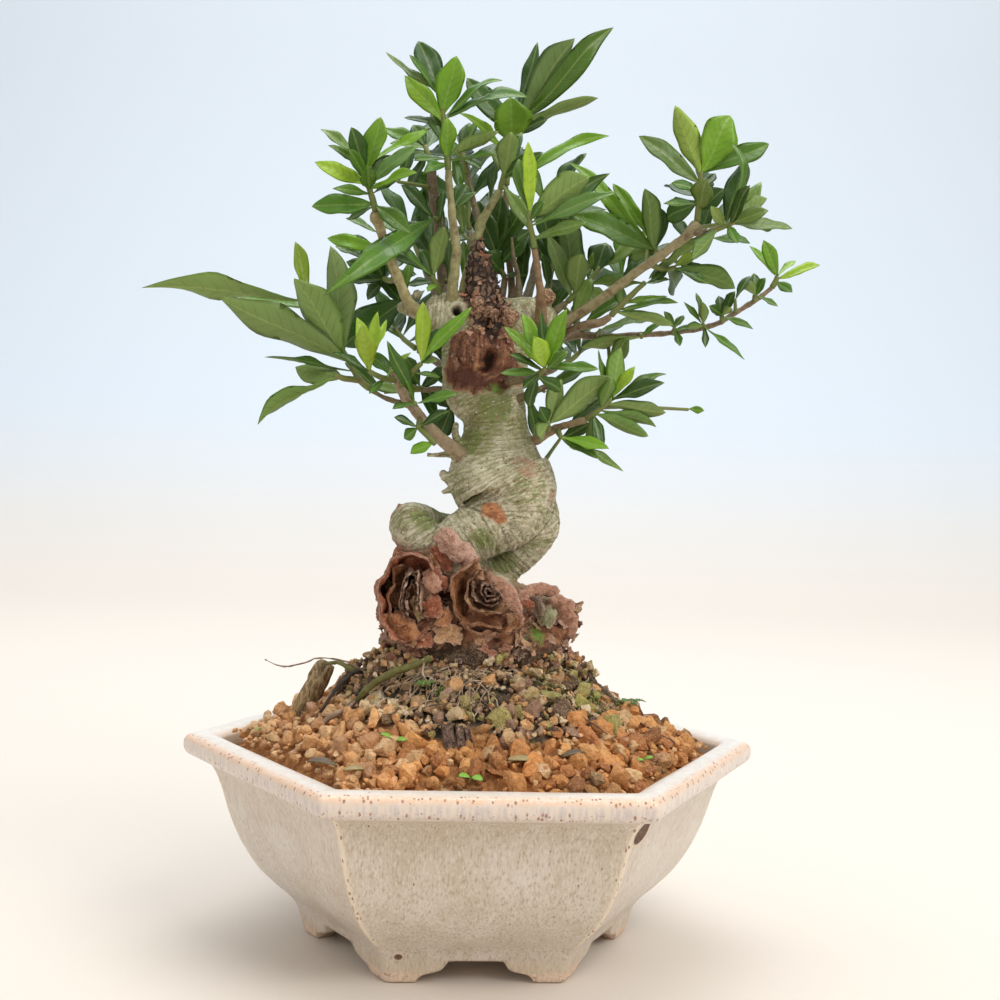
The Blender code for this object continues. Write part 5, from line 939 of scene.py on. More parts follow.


# %% [markdown]
# The bark's colour has three layers: the ground colour of its zone, the film of green algae that lives
# on it in patches, and small marks such as pale breathing pores and brown dots.  Over them lies painted
# shade in the creases and hollows, and the wrinkles get painted shade in their troughs and a painted
# highlight on their crests.  The wrinkles run across each limb, so their noise is drawn out by adding
# the way along the limb to the place.

# %% The bark's finish
def make_bark():
    finish = Finish("bark", Specular_IOR_Level=0.4)
    here = finish.place()
    brown, crease, wet = finish.layer("brown"), finish.layer("crease"), finish.layer("wet")
    column, algae, crust = finish.layer("column"), finish.layer("algae"), finish.layer("crust")
    along, high = finish.layer("along"), finish.height(here)
    large = finish.speckle(here, 9.0, 3.0)
    medium = finish.speckle(here, 2.6, 4.0, 0.65)
    fine = finish.speckle(here, 0.7, 3.0, 0.7)

    # the living bark: wrinkles and rings across the limb, algae, blotches, pale pores and dark dots
    down = finish.node("ShaderNodeCombineXYZ", {}, along * 0.9, along * -0.7, along * 0.8)
    evenly = finish.place(stretch=(0.42, 0.42, 0.42))
    across = finish.node("ShaderNodeVectorMath", {"operation": "ADD"}, evenly, down)
    wrinkles = finish.speckle(across, 0.85, 4.0, 0.70)
    rings = (along / 1.35 + medium * 1.3 + large * 1.6).zigzag()
    lines = rings.between(0.33, 0.47) * fine.between(0.35, 0.5)
    blotch = finish.speckle(here, 1.5, 4.0, 0.7).between(0.57, 0.64) * (0.35 + large)
    pores = finish.cells(finish.place(stretch=(0.8, 0.8, 1.5)), 1.5).between(0.27, 0.15)
    green = finish.coats(
        (0.400, 0.372, 0.215),
        (medium.between(0.36, 0.62), (0.67, 0.625, 0.45)),
        (high.between(147.0, 157.0) * large.between(0.35, 0.6) * 0.70, (0.26, 0.26, 0.09)),
        # painted shade in the wrinkles' troughs and a painted highlight on their crests, following the bump
        (wrinkles.between(0.47, 0.36) * 0.55, (0.165, 0.135, 0.060)),
        (wrinkles.between(0.56, 0.68) * 0.65, (0.76, 0.72, 0.60)),
        (rings.between(0.22, 0.04) * fine.between(0.44, 0.6) * 0.45, (0.74, 0.68, 0.54)),
        (lines * 0.24, (0.165, 0.130, 0.060)),
        (large.between(0.50, 0.62) * wrinkles.between(0.62, 0.44) * 0.75, (0.21, 0.235, 0.065)),
        ((algae * (0.35 + medium)).clipped() * 0.85, (0.16, 0.22, 0.035)),
        (blotch.clipped() * 0.8, (0.33, 0.185, 0.110)),
        (finish.layer("tan") * medium.between(0.38, 0.52) * 0.85, (0.40, 0.235, 0.14)),
        (pores * fine.between(0.4, 0.6) * 0.9, (0.70, 0.67, 0.55)),
        (finish.cells(here, 2.4).between(0.17, 0.10) * 0.8, (0.11, 0.055, 0.03)))

    # the healed wood of the wound, streaked downwards, and the scales of the dead column
    streaks = finish.speckle(finish.place(stretch=(1, 1, 0.22)), 0.9, 3.0, 0.6)
    healed = finish.coats(
        (0.066, 0.020, 0.011),
        (streaks.between(0.36, 0.66), (0.30, 0.120, 0.056)),
        (medium.between(0.48, 0.62) * 0.6, (0.170, 0.062, 0.032)),
        (fine.between(0.58, 0.70) * 0.5, (0.52, 0.36, 0.24)),
        (wet * 0.9, finish.mix(medium, (0.055, 0.014, 0.008), (0.155, 0.045, 0.024))))
    plate_place = finish.place(stretch=(1.0, 1.0, 0.65))
    cracks = finish.cells(plate_place, 2.3, feature="DISTANCE_TO_EDGE")
    scaly = finish.mix(finish.lot(plate_place, 2.3), (0.15, 0.080, 0.052), (0.50, 0.33, 0.215))
    scaly = finish.tint(high.between(205.0, 214.0) * 0.6, scaly, (0.50, 0.46, 0.46))
    scaly = finish.tint(fine.between(0.6, 0.4) * 0.6, scaly, (0.50, 0.42, 0.36))
    scaly = finish.mix(cracks.between(0.16, 0.05) * 0.9, scaly, (0.022, 0.012, 0.009))
    red = finish.coats(
        (0.085, 0.026, 0.012),
        (medium.between(0.35, 0.62), (0.29, 0.105, 0.046)),
        (large.between(0.47, 0.62) * 0.7, (0.44, 0.215, 0.105)),
        (fine.between(0.55, 0.68) * 0.6, (0.50, 0.33, 0.22)),
        # painted dark low on the trunk: crumbly bark near the soil, and painted shade under the rolls
        (finish.layer("crumbly") * 0.9,
         finish.mix(fine.between(0.42, 0.62), (0.022, 0.014, 0.009), (0.17, 0.115, 0.062))),
        (finish.layer("wound"), healed),
        (column, scaly))

    # both together, then algae on the brown, painted shade in the creases, pale lips, scrapes,
    # crusts and painted shade in the hollows
    scraped = finish.mix(medium.between(0.40, 0.62), (0.60, 0.270, 0.115), (0.36, 0.140, 0.060))
    crusty = finish.mix(fine.between(0.42, 0.60), (0.17, 0.075, 0.04), (0.58, 0.36, 0.22))
    specks = fine.between(0.56, 0.66) * 0.30
    shade = finish.coats(
        green,
        (brown, red),
        (algae * brown * medium.between(0.42, 0.55), (0.15, 0.25, 0.035)),
        ((crease * 0.7).clipped(), finish.mix(brown, (0.095, 0.075, 0.040), (0.020, 0.009, 0.006))),
        (finish.layer("lip") * (0.35 + medium * 0.7),
         finish.mix(brown, (0.50, 0.47, 0.33), (0.56, 0.30, 0.14))),
        (finish.layer("orange") * medium.between(0.30, 0.40), scraped),
        (crust * medium.between(0.30, 0.42), crusty),
        # painted shade, near black, in the hollows
        ((finish.layer("depth") * (0.92 - specks)).clipped(), (0.014, 0.008, 0.006)))
    relief = (wrinkles * 0.85 - lines * 0.35) * (1 - brown) + medium * 0.4 + fine * 0.35 + brown * fine * 0.6
    relief = relief + cracks.between(0.0, 0.2) * column * 1.2 + crust * fine
    rough = (0.52 + medium * 0.3 - brown * 0.08 - wet * 0.32).clipped()
    return finish.use(Base_Color=shade, Roughness=rough, Normal=finish.bump(relief, 0.6, 0.9))


show("old_trunk", wood_mesh, make_bark(), "bark", "trunk")


# %% [markdown]
# The branches are younger wood, smooth and tan or olive.  Each is a tube of its own whose foot sinks into
# the trunk.  Rings of old leaf scars make it knobbly, every few millimetres.

# %% The branches
BRANCH_TONES = {
    "crown_a": (0.33, 0.31, 0.14), "crown_b": (0.34, 0.34, 0.15), "crown_left": (0.40, 0.34, 0.16),
    "crown_f": (0.20, 0.13, 0.07), "crown_e": (0.25, 0.15, 0.07), "crown_c": (0.17, 0.12, 0.065),
    "right_high": (0.32, 0.27, 0.135), "right_low": (0.25, 0.18, 0.100), "left_low": (0.36, 0.27, 0.165),
    "right_twig": (0.24, 0.17, 0.09), "right_under": (0.34, 0.25, 0.13),
}
PLAIN_BRANCH = (0.19, 0.150, 0.075)
BRANCH_SLIM = np.array([1, 1, 1, 0.86])      # the told radii are those of the solid, which is thicker
SCAR_EVERY = 5.2                             # mm from one ring of scars to the next


def scars(along, angle, points):
    """Rings of scars: a sharp swelling each few mm, a little askew, and fine roughness between."""
    askew = along + 0.6 * np.sin(angle) + 1.2 * noise(points, 9.0, 71)
    return 0.13 * bell(askew / SCAR_EVERY % 1.0, 0.5, 0.09) + 0.20 * noise(points, 1.5, 72)


def branch_parts():
    told = {name: seen(rows, CROWN_STEP) for name, rows in BRANCHES.items()}
    told.update({name: seen(rows) for name, rows in BACK_BRANCHES.items()})
    for name, rows in told.items():
        points, faces, layers = tube(smooth_path(rows, 8) * BRANCH_SLIM, 14, scars)
        yield points, faces, layers, np.tile(BRANCH_TONES.get(name, PLAIN_BRANCH), (len(points), 1))


def make_branch_bark():
    finish = Finish("branch_bark", Roughness=0.6)
    here = finish.place()
    medium = finish.speckle(here, 2.4, 4.0, 0.65)
    fine = finish.speckle(here, 0.6, 3.0, 0.7)
    blotch = finish.speckle(here, 4.0, 3.0).between(0.56, 0.66)
    scar = (finish.layer("along") / SCAR_EVERY).zigzag()
    pore = finish.cells(finish.place(stretch=(1.2, 1.2, 0.6)), 1.1).between(0.26, 0.12)
    shade = finish.coats(
        finish.tint(medium.between(0.4, 0.6) * 0.6, finish.tone(), (0.55, 0.50, 0.42)),
        (fine.between(0.55, 0.66) * 0.55, (0.42, 0.38, 0.27)),
        (blotch * 0.7, (0.14, 0.075, 0.04)),
        (scar.between(0.42, 0.5) * medium * 0.35, (0.10, 0.065, 0.04)),
        (pore * fine.between(0.42, 0.58) * 0.7, (0.17, 0.090, 0.045)))
    return finish.use(Base_Color=shade, Roughness=(0.45 + medium * 0.3),
                      Normal=finish.bump(medium + fine * 0.5, 0.3, 0.7))


def show_parts(name, parts, material, slot, crumple=0.0):
    """One piece from many parts, each with its own tone, bent and crumpled by noise of three sizes."""
    mesh = stack_meshes(name, parts)
    if crumple:
        here = mesh_points(mesh)
        dented = mesh_normals(mesh) * noise(here, 1.0, 97)[:, None]
        bent = 0.9 * noise_way(here, 5.5, 91) + 0.5 * noise_way(here, 1.9, 94) + 0.22 * dented
        move_points(mesh, here + crumple * bent)
    print(name + ":", len(mesh.polygons), "faces")
    show(name, weld(mesh, recalculate=True), material, slot)


show_parts("branches", list(branch_parts()), make_branch_bark(), "bark")


# %% [markdown]
# Low on the trunk the old bark has come away and rolled up, like wood shavings.  Each roll, plate and
# flake is a thin sheet: one grid for its outside, the same grid again sunk a little for its inside, and
# the two meet in a sharp ragged border, so that the sheet is a closed solid with thickness.

# %% Sheets of bark
def sheet(grid, thick, tone):
    """Points, faces, layers and colours of a closed shell over a rows by columns grid of points.

    The inside is grid - normal thick taper; the taper falls to 0 at the border, where both sides meet."""
    rows, columns = grid.shape[-3:-1]
    normal = unit(np.cross(np.gradient(grid, axis=-3), np.gradient(grid, axis=-2)))
    u = np.linspace(0, 1, rows)[:, None]
    v = np.linspace(0, 1, columns)[None, :]
    from_border = np.minimum(np.minimum(u, 1 - u) * (rows - 1), np.minimum(v, 1 - v) * (columns - 1))
    taper = np.minimum(1.0, from_border)
    lower = grid - normal * (thick * taper)[..., None]
    both = np.stack([grid, lower], axis=-4).reshape(-1, 2, rows * columns, 3)
    upper_faces = grid_faces(rows, columns, ring=False)
    faces = np.concatenate([upper_faces, upper_faces[:, ::-1] + rows * columns])
    faces = faces[None] + (np.arange(len(both)) * 2 * rows * columns)[:, None, None]
    rim = np.exp(-from_border / 0.9).ravel()
    points = both.reshape(-1, 3)
    # deep is how far into a roll a point lies, for painted shade; it stays 0 but in the curls
    layers = {"rim": np.tile(rim, 2 * len(both)),
              "inner": np.tile(np.repeat([0.0, 1.0], rows * columns), len(both)),
              "deep": np.zeros(len(points))}
    tones = np.repeat(np.atleast_2d(tone), both[0].size // 3, axis=0)
    return points, faces.reshape(-1, 4), layers, tones


def seen_grid(told):
    """A grid of x, z, back told from the front, as a grid of true places."""
    return seen(told.reshape(-1, 3)).reshape(told.shape)


ROLL_THINNESS = 0.62         # the rolls are this much thinner than the table of sheets says


def curl(x, z, front, depth, reach, turns, start, squash, thick, tone, flare=0.0, seed=0):
    """A sheet rolled round an axis that runs from front to back.

    At share u of the roll the angle is start + 360 turns u and the radius goes from the first reach to
    the second; v runs back from the ragged front edge, where the roll may flare."""
    rows = max(18, int(76 * turns))
    u = np.linspace(0, 1, rows)[:, None]
    v = np.linspace(0, 1, 19)[None, :]
    angle = np.radians(start) + 2 * math.pi * turns * u
    spot = np.stack(np.broadcast_arrays(3 * np.cos(angle), 2.2 * v, 3 * np.sin(angle)), axis=-1) + 40 * seed
    radius = (reach[0] + (reach[1] - reach[0]) * u) * (1 + flare * (1 - v)) * (1 + 0.18 * noise(spot, 1.1, 3))
    radius = radius + 0.35 * noise(spot, 0.3, 7)
    ragged = (1.7 * noise(spot, 0.8, 5) + 1.3 * noise(spot, 0.33, 6) + 0.7 * noise(spot, 0.16, 8)) * (1 - v)
    back = front + depth * v + ragged
    told = np.stack(np.broadcast_arrays(x + radius * np.cos(angle) * squash[0],
                                        z + radius * np.sin(angle) * squash[1], back), axis=-1)
    points, faces, layers, tones = sheet(seen_grid(told), ROLL_THINNESS * thick, tone)
    # how far back in the roll, for painted shade deep inside it
    layers["deep"] = np.tile(np.broadcast_to(v, back.shape).ravel(), 2)
    return points, faces, layers, tones


def plate(x, z, front, width, height, turn, lean, bow, thick, tone, seed=0):
    """A bowed plate with a ragged outline: place + a w side + b h up, turned in the front view, where
    the middle stands out by the bow and lean tips its lower end towards the front."""
    a, b = np.meshgrid(np.linspace(-0.5, 0.5, 12), np.linspace(-0.5, 0.5, 16), indexing="ij")
    spot = np.stack([5 * a, 5 * b, 0 * a], axis=-1) + 17 * seed
    ragged = 1 + 0.26 * noise(spot, 1.3, 9) + 0.14 * noise(spot, 0.45, 11)
    taper = 1 - 0.25 * np.abs(b * 2) ** 3
    side, up = a * width * ragged * taper, b * height * ragged
    c, s = math.cos(math.radians(turn)), math.sin(math.radians(turn))
    out_by = bow * (1 - (2 * a) ** 2) - lean * b + 0.5 * noise(spot, 0.9, 10)
    return sheet(seen_grid(np.stack([x + side * c - up * s, z + side * s + up * c, front - out_by], axis=-1)),
                 thick, tone)


def strip(rows, width, bow, thick, tone, seed=0):
    """A ragged band along a path of x, z, back rows: path + across a width, bowed out in its middle."""
    path = smooth_path(np.array([(x, z, back, 1.0) for x, z, back in rows]), 7)[:, :3]
    share = np.linspace(0, 1, len(path))[:, None]
    a = np.linspace(-0.5, 0.5, 9)[None, :]
    way = unit(np.gradient(path[:, :2], axis=0))
    spot = np.stack(np.broadcast_arrays(9 * share, 4 * a, 0 * a), axis=-1) + 23 * seed
    wide = width * np.sin(math.pi * np.clip(share * 0.86 + 0.10, 0, 1)) ** 0.6
    side = a * wide * (1 + 0.35 * noise(spot, 0.9, 12)) + 0.3 * noise(spot, 0.5, 13)
    out_by = bow * (1 - (2 * a) ** 2) + 0.4 * noise(spot, 0.8, 14)
    told = np.stack([path[:, 0:1] + side * way[:, 1:2], path[:, 1:2] - side * way[:, 0:1],
                     path[:, 2:3] - out_by], axis=-1)
    return sheet(seen_grid(told), thick, tone)


# %% [markdown]
# Fresh bark is red, its underside is pink or pale, and what has lain open for years is tan or nearly
# black.  Each sheet is told by its place in the front view, its size and one of these tones.

# %% The sheets and their tones
RED_BARK = (0.45, 0.145, 0.068)
ORANGE_BARK = (0.55, 0.240, 0.100)
TAN_BARK = (0.60, 0.350, 0.175)
PINK_BARK = (0.68, 0.390, 0.270)
PALE_BARK = (0.70, 0.490, 0.370)
DARK_BARK = (0.095, 0.040, 0.025)

bark_sheets = [
    # the left bowl: its wall, a fold inside it, and the hairpin of thin pale layers
    curl(-20.8, 108.2, -27.0, 15, (9.4, 8.8), 0.70, 50, (0.92, 1.14), 1.5, RED_BARK, 0.30, 1),
    curl(-21.2, 107.6, -25.4, 13, (7.6, 7.0), 0.44, 104, (0.90, 1.20), 1.0, ORANGE_BARK, 0.22, 2),
    curl(-21.2, 108.4, -26.4, 10, (6.6, 6.2), 0.80, -40, (0.52, 1.30), 0.6, PALE_BARK, 0.06, 3),
    curl(-21.3, 108.6, -26.8, 9, (5.4, 5.0), 0.74, -30, (0.50, 1.34), 0.5, PALE_BARK, 0.06, 4),
    curl(-21.0, 108.2, -26.2, 9, (4.2, 3.6), 0.80, -50, (0.50, 1.40), 0.5, PALE_BARK, 0.04, 5),
    curl(-21.4, 108.8, -25.4, 8, (3.0, 2.2), 0.76, -40, (0.50, 1.45), 0.5, TAN_BARK, 0.0, 6),
    plate(-19.2, 105.0, -24.4, 2.8, 7.6, 12, 0.5, 0.6, 0.5, (0.40, 0.31, 0.14), 7),
    strip([(-16.8, 117.4, -24), (-14.6, 114.4, -26), (-12.2, 110.6, -25.5)], 5.1, 0.7, 0.6, PINK_BARK, 8),
    strip([(-15.4, 118.2, -22), (-12.6, 115.6, -24), (-9.8, 111.8, -23.5)], 3.9, 0.5, 0.6, RED_BARK, 9),
    plate(-14.2, 105.6, -24.6, 7.0, 6.5, 25, 1.6, 1.8, 1.2, RED_BARK, 10),
    plate(-10.6, 102.6, -24.0, 4.2, 6.0, -20, 1.6, 1.4, 1.0, ORANGE_BARK, 11),
    plate(-9.2, 97.6, -24.5, 8.6, 6.4, -12, 1.4, 0.9, 0.9, TAN_BARK, 12),
    plate(-23.4, 99.4, -23.0, 6.5, 13.0, 48, 1.6, 2.2, 1.2, ORANGE_BARK, 13),
    strip([(-32.4, 103.4, -14), (-29.6, 101.8, -17), (-26.0, 98.4, -20)], 3.2, 0.5, 0.5, RED_BARK, 14),
    plate(-17.4, 95.4, -23.8, 6.0, 5.0, 10, 1.8, 1.2, 1.0, RED_BARK, 15),
    plate(-24.4, 121.0, -14.5, 4.2, 5.2, 15, -1.0, 1.6, 1.1, RED_BARK, 16),
    plate(-22.0, 119.6, -17.5, 6.5, 3.6, -12, -1.4, 1.2, 1.0, RED_BARK, 17),
    # the middle curl: its core, the sheets round it that open to the front, and the fold below
    curl(3.9, 111.6, -26.6, 8, (0.7, 3.5), 2.1, 40, (0.86, 1.06), 0.5, PALE_BARK, 0.10, 18),
    curl(3.7, 111.4, -25.6, 9, (4.3, 4.6), 0.62, 150, (1.05, 0.95), 0.5, PALE_BARK, 0.12, 19),
    curl(3.8, 111.6, -26.0, 11, (5.4, 5.8), 0.60, 110, (1.0, 1.0), 0.9, TAN_BARK, 0.30, 20),
    curl(3.8, 111.2, -26.5, 13, (7.6, 7.4), 0.50, 112, (1.0, 1.0), 1.4, ORANGE_BARK, 0.62, 21),
    curl(4.4, 104.6, -26.5, 12, (6.2, 6.6), 0.42, 190, (1.18, 0.70), 1.6, ORANGE_BARK, 0.40, 22),
    curl(4.8, 103.6, -25.4, 12, (7.0, 7.4), 0.36, 205, (1.16, 0.66), 1.2, PINK_BARK, 0.30, 23),
    strip([(3.4, 117.6, -20), (6.0, 115.6, -24), (9.0, 112.2, -26.5), (12.4, 107.6, -26), (14.6, 103.2, -25)],
          3.9, 0.5, 0.5, PINK_BARK, 24),
    strip([(-4.8, 118.6, -19), (-1.6, 118.2, -22), (1.6, 114.8, -24)], 4.1, 0.5, 0.5, TAN_BARK, 25),
    # the right lobe: its rolled top edge and the flake that hangs down its side
    strip([(13.4, 108.0, -20), (17.0, 111.6, -17), (21.4, 113.0, -14), (26.4, 111.6, -12)],
          4.8, 0.7, 0.7, PINK_BARK, 26),
    strip([(24.6, 110.6, -15), (28.4, 107.0, -15), (30.4, 102.4, -14), (29.6, 97.6, -13)],
          5.8, 0.7, 0.6, PINK_BARK, 27),
    strip([(13.0, 107.2, -22), (16.0, 107.6, -20), (19.0, 106.8, -18)], 3.0, 0.4, 0.5, RED_BARK, 28),
    plate(23.6, 103.4, -16.5, 4.8, 6.0, -8, 0.8, 1.4, 0.8, (0.36, 0.38, 0.22), 29),
    plate(20.4, 107.0, -17.2, 4.0, 6.4, 8, 1.0, 1.2, 0.8, (0.24, 0.17, 0.12), 30),
    plate(13.4, 101.6, -22.0, 6.0, 4.6, -15, 1.0, 1.2, 0.9, TAN_BARK, 31),
    # the pale plate that hangs in the fold over the rolls
    plate(-7.2, 125.0, -18.8, 8.2, 14.6, 41, 2.4, 1.4, 0.7, (0.70, 0.43, 0.33), 32),
    plate(-10.8, 121.6, -16.6, 3.8, 11.0, 34, 1.2, 0.9, 0.8, RED_BARK, 33),
    plate(-13.6, 120.6, -15.8, 4.6, 6.5, 34, 0.6, 0.8, 0.7, TAN_BARK, 34),
]


# %% [markdown]
# Between the big rolls the bark is all small flakes.  They are sown over the brown parts of the trunk's
# skin: each takes a point of the skin and its outward way, and stands off it a little at one end.

# %% Flakes
def flakes(draw, places, ways, widths, thick, tones):
    """Curled flakes, each place + side a w + other b h + way (lift a + curl b2), in one array."""
    a, b = np.meshgrid(np.linspace(-0.5, 0.5, 5), np.linspace(-0.5, 0.5, 5), indexing="ij")
    count = len(places)
    side = unit(np.cross(ways, draw.normal(size=(count, 3))))
    other = np.cross(ways, side)
    ragged = 1 + draw.uniform(-0.32, 0.32, (count, 5, 5))
    long = (widths * draw.uniform(0.8, 1.7, count))[:, None, None]
    lift = draw.uniform(0.05, 0.55, count)[:, None, None]
    bend = draw.uniform(-0.5, 0.6, count)[:, None, None]
    height = 0.15 + long * (lift * (a + 0.5) ** 2 + bend * (b ** 2 + 0.4 * a ** 2))
    points = (places[:, None, None] + side[:, None, None] * (a * ragged * long)[..., None]
              + other[:, None, None] * (b * ragged * widths[:, None, None])[..., None]
              + ways[:, None, None] * height[..., None])
    return sheet(points, thick, tones)


FLAKES = 520
BARK_TONES = np.array([RED_BARK, ORANGE_BARK, TAN_BARK, DARK_BARK, RED_BARK, PINK_BARK])

draw = np.random.default_rng(77)
skin = mesh_points(wood_mesh)
out = mesh_normals(wood_mesh)
open_to_air = (out[:, 2] > -0.75) & (pits < -0.3) & (wet < 0.1)
spots = np.flatnonzero((brown > 0.85) & (skin[:, 2] > 89) & (skin[:, 0] > -30) & open_to_air)
chosen = draw.choice(spots, FLAKES, replace=False)
high_up = skin[chosen, 2] > 150
widths = np.where(high_up, draw.uniform(0.7, 1.7, FLAKES), draw.uniform(1.2, 3.4, FLAKES))
widths = widths * np.where(out[chosen, 1] < -0.35, 1.0, 0.55)
flake_tones = BARK_TONES[draw.integers(0, len(BARK_TONES), FLAKES)] * draw.uniform(0.7, 1.1, (FLAKES, 1))
bark_sheets.append(flakes(draw, skin[chosen], out[chosen], widths, 0.3, flake_tones))


# %% [markdown]
# Peeling bark is matt and fibrous and worn pale along its torn rim.  Its inner face is tinted pinker
# and darker, partly its own colour and partly painted shade, and deep inside a roll it is painted darker
# still, as painted shade.  The sheets carry where their rim and their inside are, so one finish serves
# them all.

# %% The finish of the loose bark
def make_peeling():
    finish = Finish("peeling_bark", Specular_IOR_Level=0.4)
    here = finish.place()
    medium = finish.speckle(here, 1.8, 4.0, 0.7)
    fine = finish.speckle(here, 0.5, 3.0, 0.7)
    fibres = finish.speckle(finish.place(stretch=(1.6, 0.25, 1.6)), 0.9, 3.0, 0.6)
    shade = finish.tint(medium.between(0.40, 0.64) * 0.7, finish.tone(), (0.42, 0.29, 0.23))
    shade = finish.mix(fibres.between(0.54, 0.66) * 0.4, shade, (0.64, 0.41, 0.26))
    shade = finish.mix(finish.cells(here, 1.3).between(0.24, 0.12) * 0.7, shade, (0.10, 0.036, 0.020))
    # the inner face darker and pinker: partly its own colour, partly painted shade
    shade = finish.tint(finish.layer("inner") * 0.35, shade, (0.55, 0.38, 0.32))
    # painted shade deep inside the rolls
    shade = finish.tint(finish.layer("deep").between(0.30, 1.0) * 0.75, shade, (0.28, 0.16, 0.12))
    pale_edge = (finish.layer("rim") * fine.between(0.35, 0.6)).clipped() * 0.65
    shade = finish.mix(pale_edge, shade, (0.74, 0.53, 0.40))
    return finish.use(Base_Color=shade, Roughness=(0.42 + medium * 0.4).clipped(),
                      Normal=finish.bump(medium * 1.2 + fibres + fine * 0.7, 0.7, 1.0))


show_parts("bark_rolls", bark_sheets, make_peeling(), "bark", crumple=1.0)


# %% [markdown]
# The soil is a mound of baked clay grains, sifted to 3 to 6 mm, heaped against an older root ball.  The
# heap itself is one surface.  On it lie many hundred separate grains, because grains catch the light on
# one side and shade each other, which a bumpy surface alone does not do.

# %% The heap
MOUND_RADII = [0, 20, 30, 38, 46, 54, 64, 76, 90]
MOUND_HEIGHTS = [91, 90, 87.5, 82, 76, 70.5, 66, 62, 60]
SOIL_EDGE_HEIGHT = 60.0
SOIL_EDGE = 79.7             # to the corners
TOP_ROWS = 70
# radius at the corners and height of the soil's sides, just inside the pot's wall
SOIL_SIDES = [(SOIL_EDGE, 59.2), (72.0, 39.0), (61.0, 18.6), (54.2, 15.8), (2.0, 15.8)]


def hexagon_share(x, y):
    """How near the pot's wall a place is: 0 on the axis, 1 on the hexagon with its corners at SOIL_EDGE."""
    turn = (np.arctan2(y, x) - POT_ANGLE) % (math.pi / 3) - math.pi / 6
    return np.hypot(x, y) * np.cos(turn) / (SOIL_EDGE * math.cos(math.pi / 6))


def mound_height(x, y):
    """The table's height at this distance from the axis, easing to the edge height near the wall."""
    height = np.interp(np.hypot(x, y), MOUND_RADII, MOUND_HEIGHTS)
    ease = smoothstep(0.84, 1.0, hexagon_share(x, y))
    return height * (1 - ease) + SOIL_EDGE_HEIGHT * ease


side_radii, side_heights = np.array(SOIL_SIDES).T
heap = hexagon_rings(np.concatenate([np.linspace(0.4, SOIL_EDGE, TOP_ROWS), side_radii]),
                     np.concatenate([np.full(TOP_ROWS, SOIL_EDGE_HEIGHT), side_heights]), 2.0)
top = heap[:TOP_ROWS]
top[..., 2] = mound_height(top[..., 0], top[..., 1]) - 1.6 + 0.8 * layered_noise(top, 5.0, 5)
close_ends(heap)


def in_old_ball(places):
    """1 inside the ball of old dark soil round the trunk, 0 in the fresh grains, ragged between."""
    reach = np.hypot(places[..., 0] - 1, places[..., 1] * 0.95) + 4 * noise(places, 11.0, 9)
    return smoothstep(47.0, 45.0, reach)


heap_mesh = put_mesh("soil_heap", heap, grid_faces(*heap.shape[:2]), {"old": in_old_ball(heap)})


def make_ground():
    finish = Finish("soil_ground", Roughness=0.9)
    here = finish.place()
    medium = finish.speckle(here, 2.2, 4.0, 0.7)
    fine = finish.speckle(here, 0.7, 3.0, 0.7)
    old = finish.coats(
        (0.020, 0.014, 0.010),
        (medium.between(0.4, 0.6), (0.115, 0.080, 0.046)),
        (fine.between(0.58, 0.70) * 0.6, (0.24, 0.19, 0.12)),
        (finish.speckle(here, 6.0, 3.0).between(0.56, 0.64) * 0.7, (0.085, 0.095, 0.022)))
    shade = finish.coats(
        (0.27, 0.110, 0.038),
        (medium.between(0.35, 0.65), (0.58, 0.270, 0.090)),
        (fine.between(0.55, 0.7) * 0.6, (0.60, 0.32, 0.13)),
        (finish.layer("old"), old))
    return finish.use(Base_Color=shade, Normal=finish.bump(medium + fine * 0.6, 0.8, 0.9))


show("soil_heap", weld(heap_mesh, recalculate=True), make_ground(), "soil_grains", "soil")


# %% [markdown]
# A grain of baked clay is a broken lump with flat sides.  So each one starts as a ball of a few dozen
# faces, which random planes cut flat, and is then squashed, roughened and turned.  All grains are made
# in one array.  They start from a lattice whose points are shaken, so that they cover the heap evenly,
# and those that would lie in the wood or in the pot's wall are dropped.

# %% The grains
def random_turns(draw, count):
    """Rotation matrices from random unit quaternions."""
    q = unit(draw.normal(size=(count, 4)))
    w, a, b, c = q.T
    rows = [1 - 2 * (b * b + c * c), 2 * (a * b - c * w), 2 * (a * c + b * w),
            2 * (a * b + c * w), 1 - 2 * (a * a + c * c), 2 * (b * c - a * w),
            2 * (a * c - b * w), 2 * (b * c + a * w), 1 - 2 * (a * a + b * b)]
    return np.stack(rows, axis=-1).reshape(-1, 3, 3)


# %% [markdown]
# No grain may sit inside the wood.  A search tree finds the face that is nearest to a place, and the
# side of that face on which the place lies tells whether it is inside.

# %% Room for the grains
def solid_tree(name):
    """A solid's surface, in mm, ready to be asked how near a point is."""
    mesh = nodes[name].data
    corners = np.empty(len(mesh.loops), dtype=np.int32)
    mesh.loops.foreach_get("vertex_index", corners)
    return BVHTree.FromPolygons(mesh_points(mesh).tolist(), corners.reshape(-1, 3).tolist())


wood_faces = [list(face.vertices) for face in wood_mesh.polygons]
wood_tree = BVHTree.FromPolygons(mesh_points(wood_mesh).tolist(), wood_faces)
things_in_soil = [wood_tree, solid_tree("deadwood_stub"), solid_tree("wood_chip")]


def clear_of(trees, places, gap):
    """True where a place is outside each closed surface by at least the gap."""
    free = np.ones(len(places), dtype=bool)
    for tree in trees:
        for number, place in enumerate(places):
            found, normal, _, distance = tree.find_nearest(place)
            free[number] &= distance > gap[number] and (Vector(place) - found).dot(normal) > 0
    return free


# %% [markdown]
# Loose grains pack closely but not in rows.  They could be dropped one by one in a simulation.  Here a
# triangular lattice packs them closely and a shake of each place takes the rows away: it is quick,
# and it comes out the same each time.

# %% Where the grains lie
LATTICE_REACH = 80           # lattice points to each side of the middle, more than the finest layer needs
SHAKE = 0.36


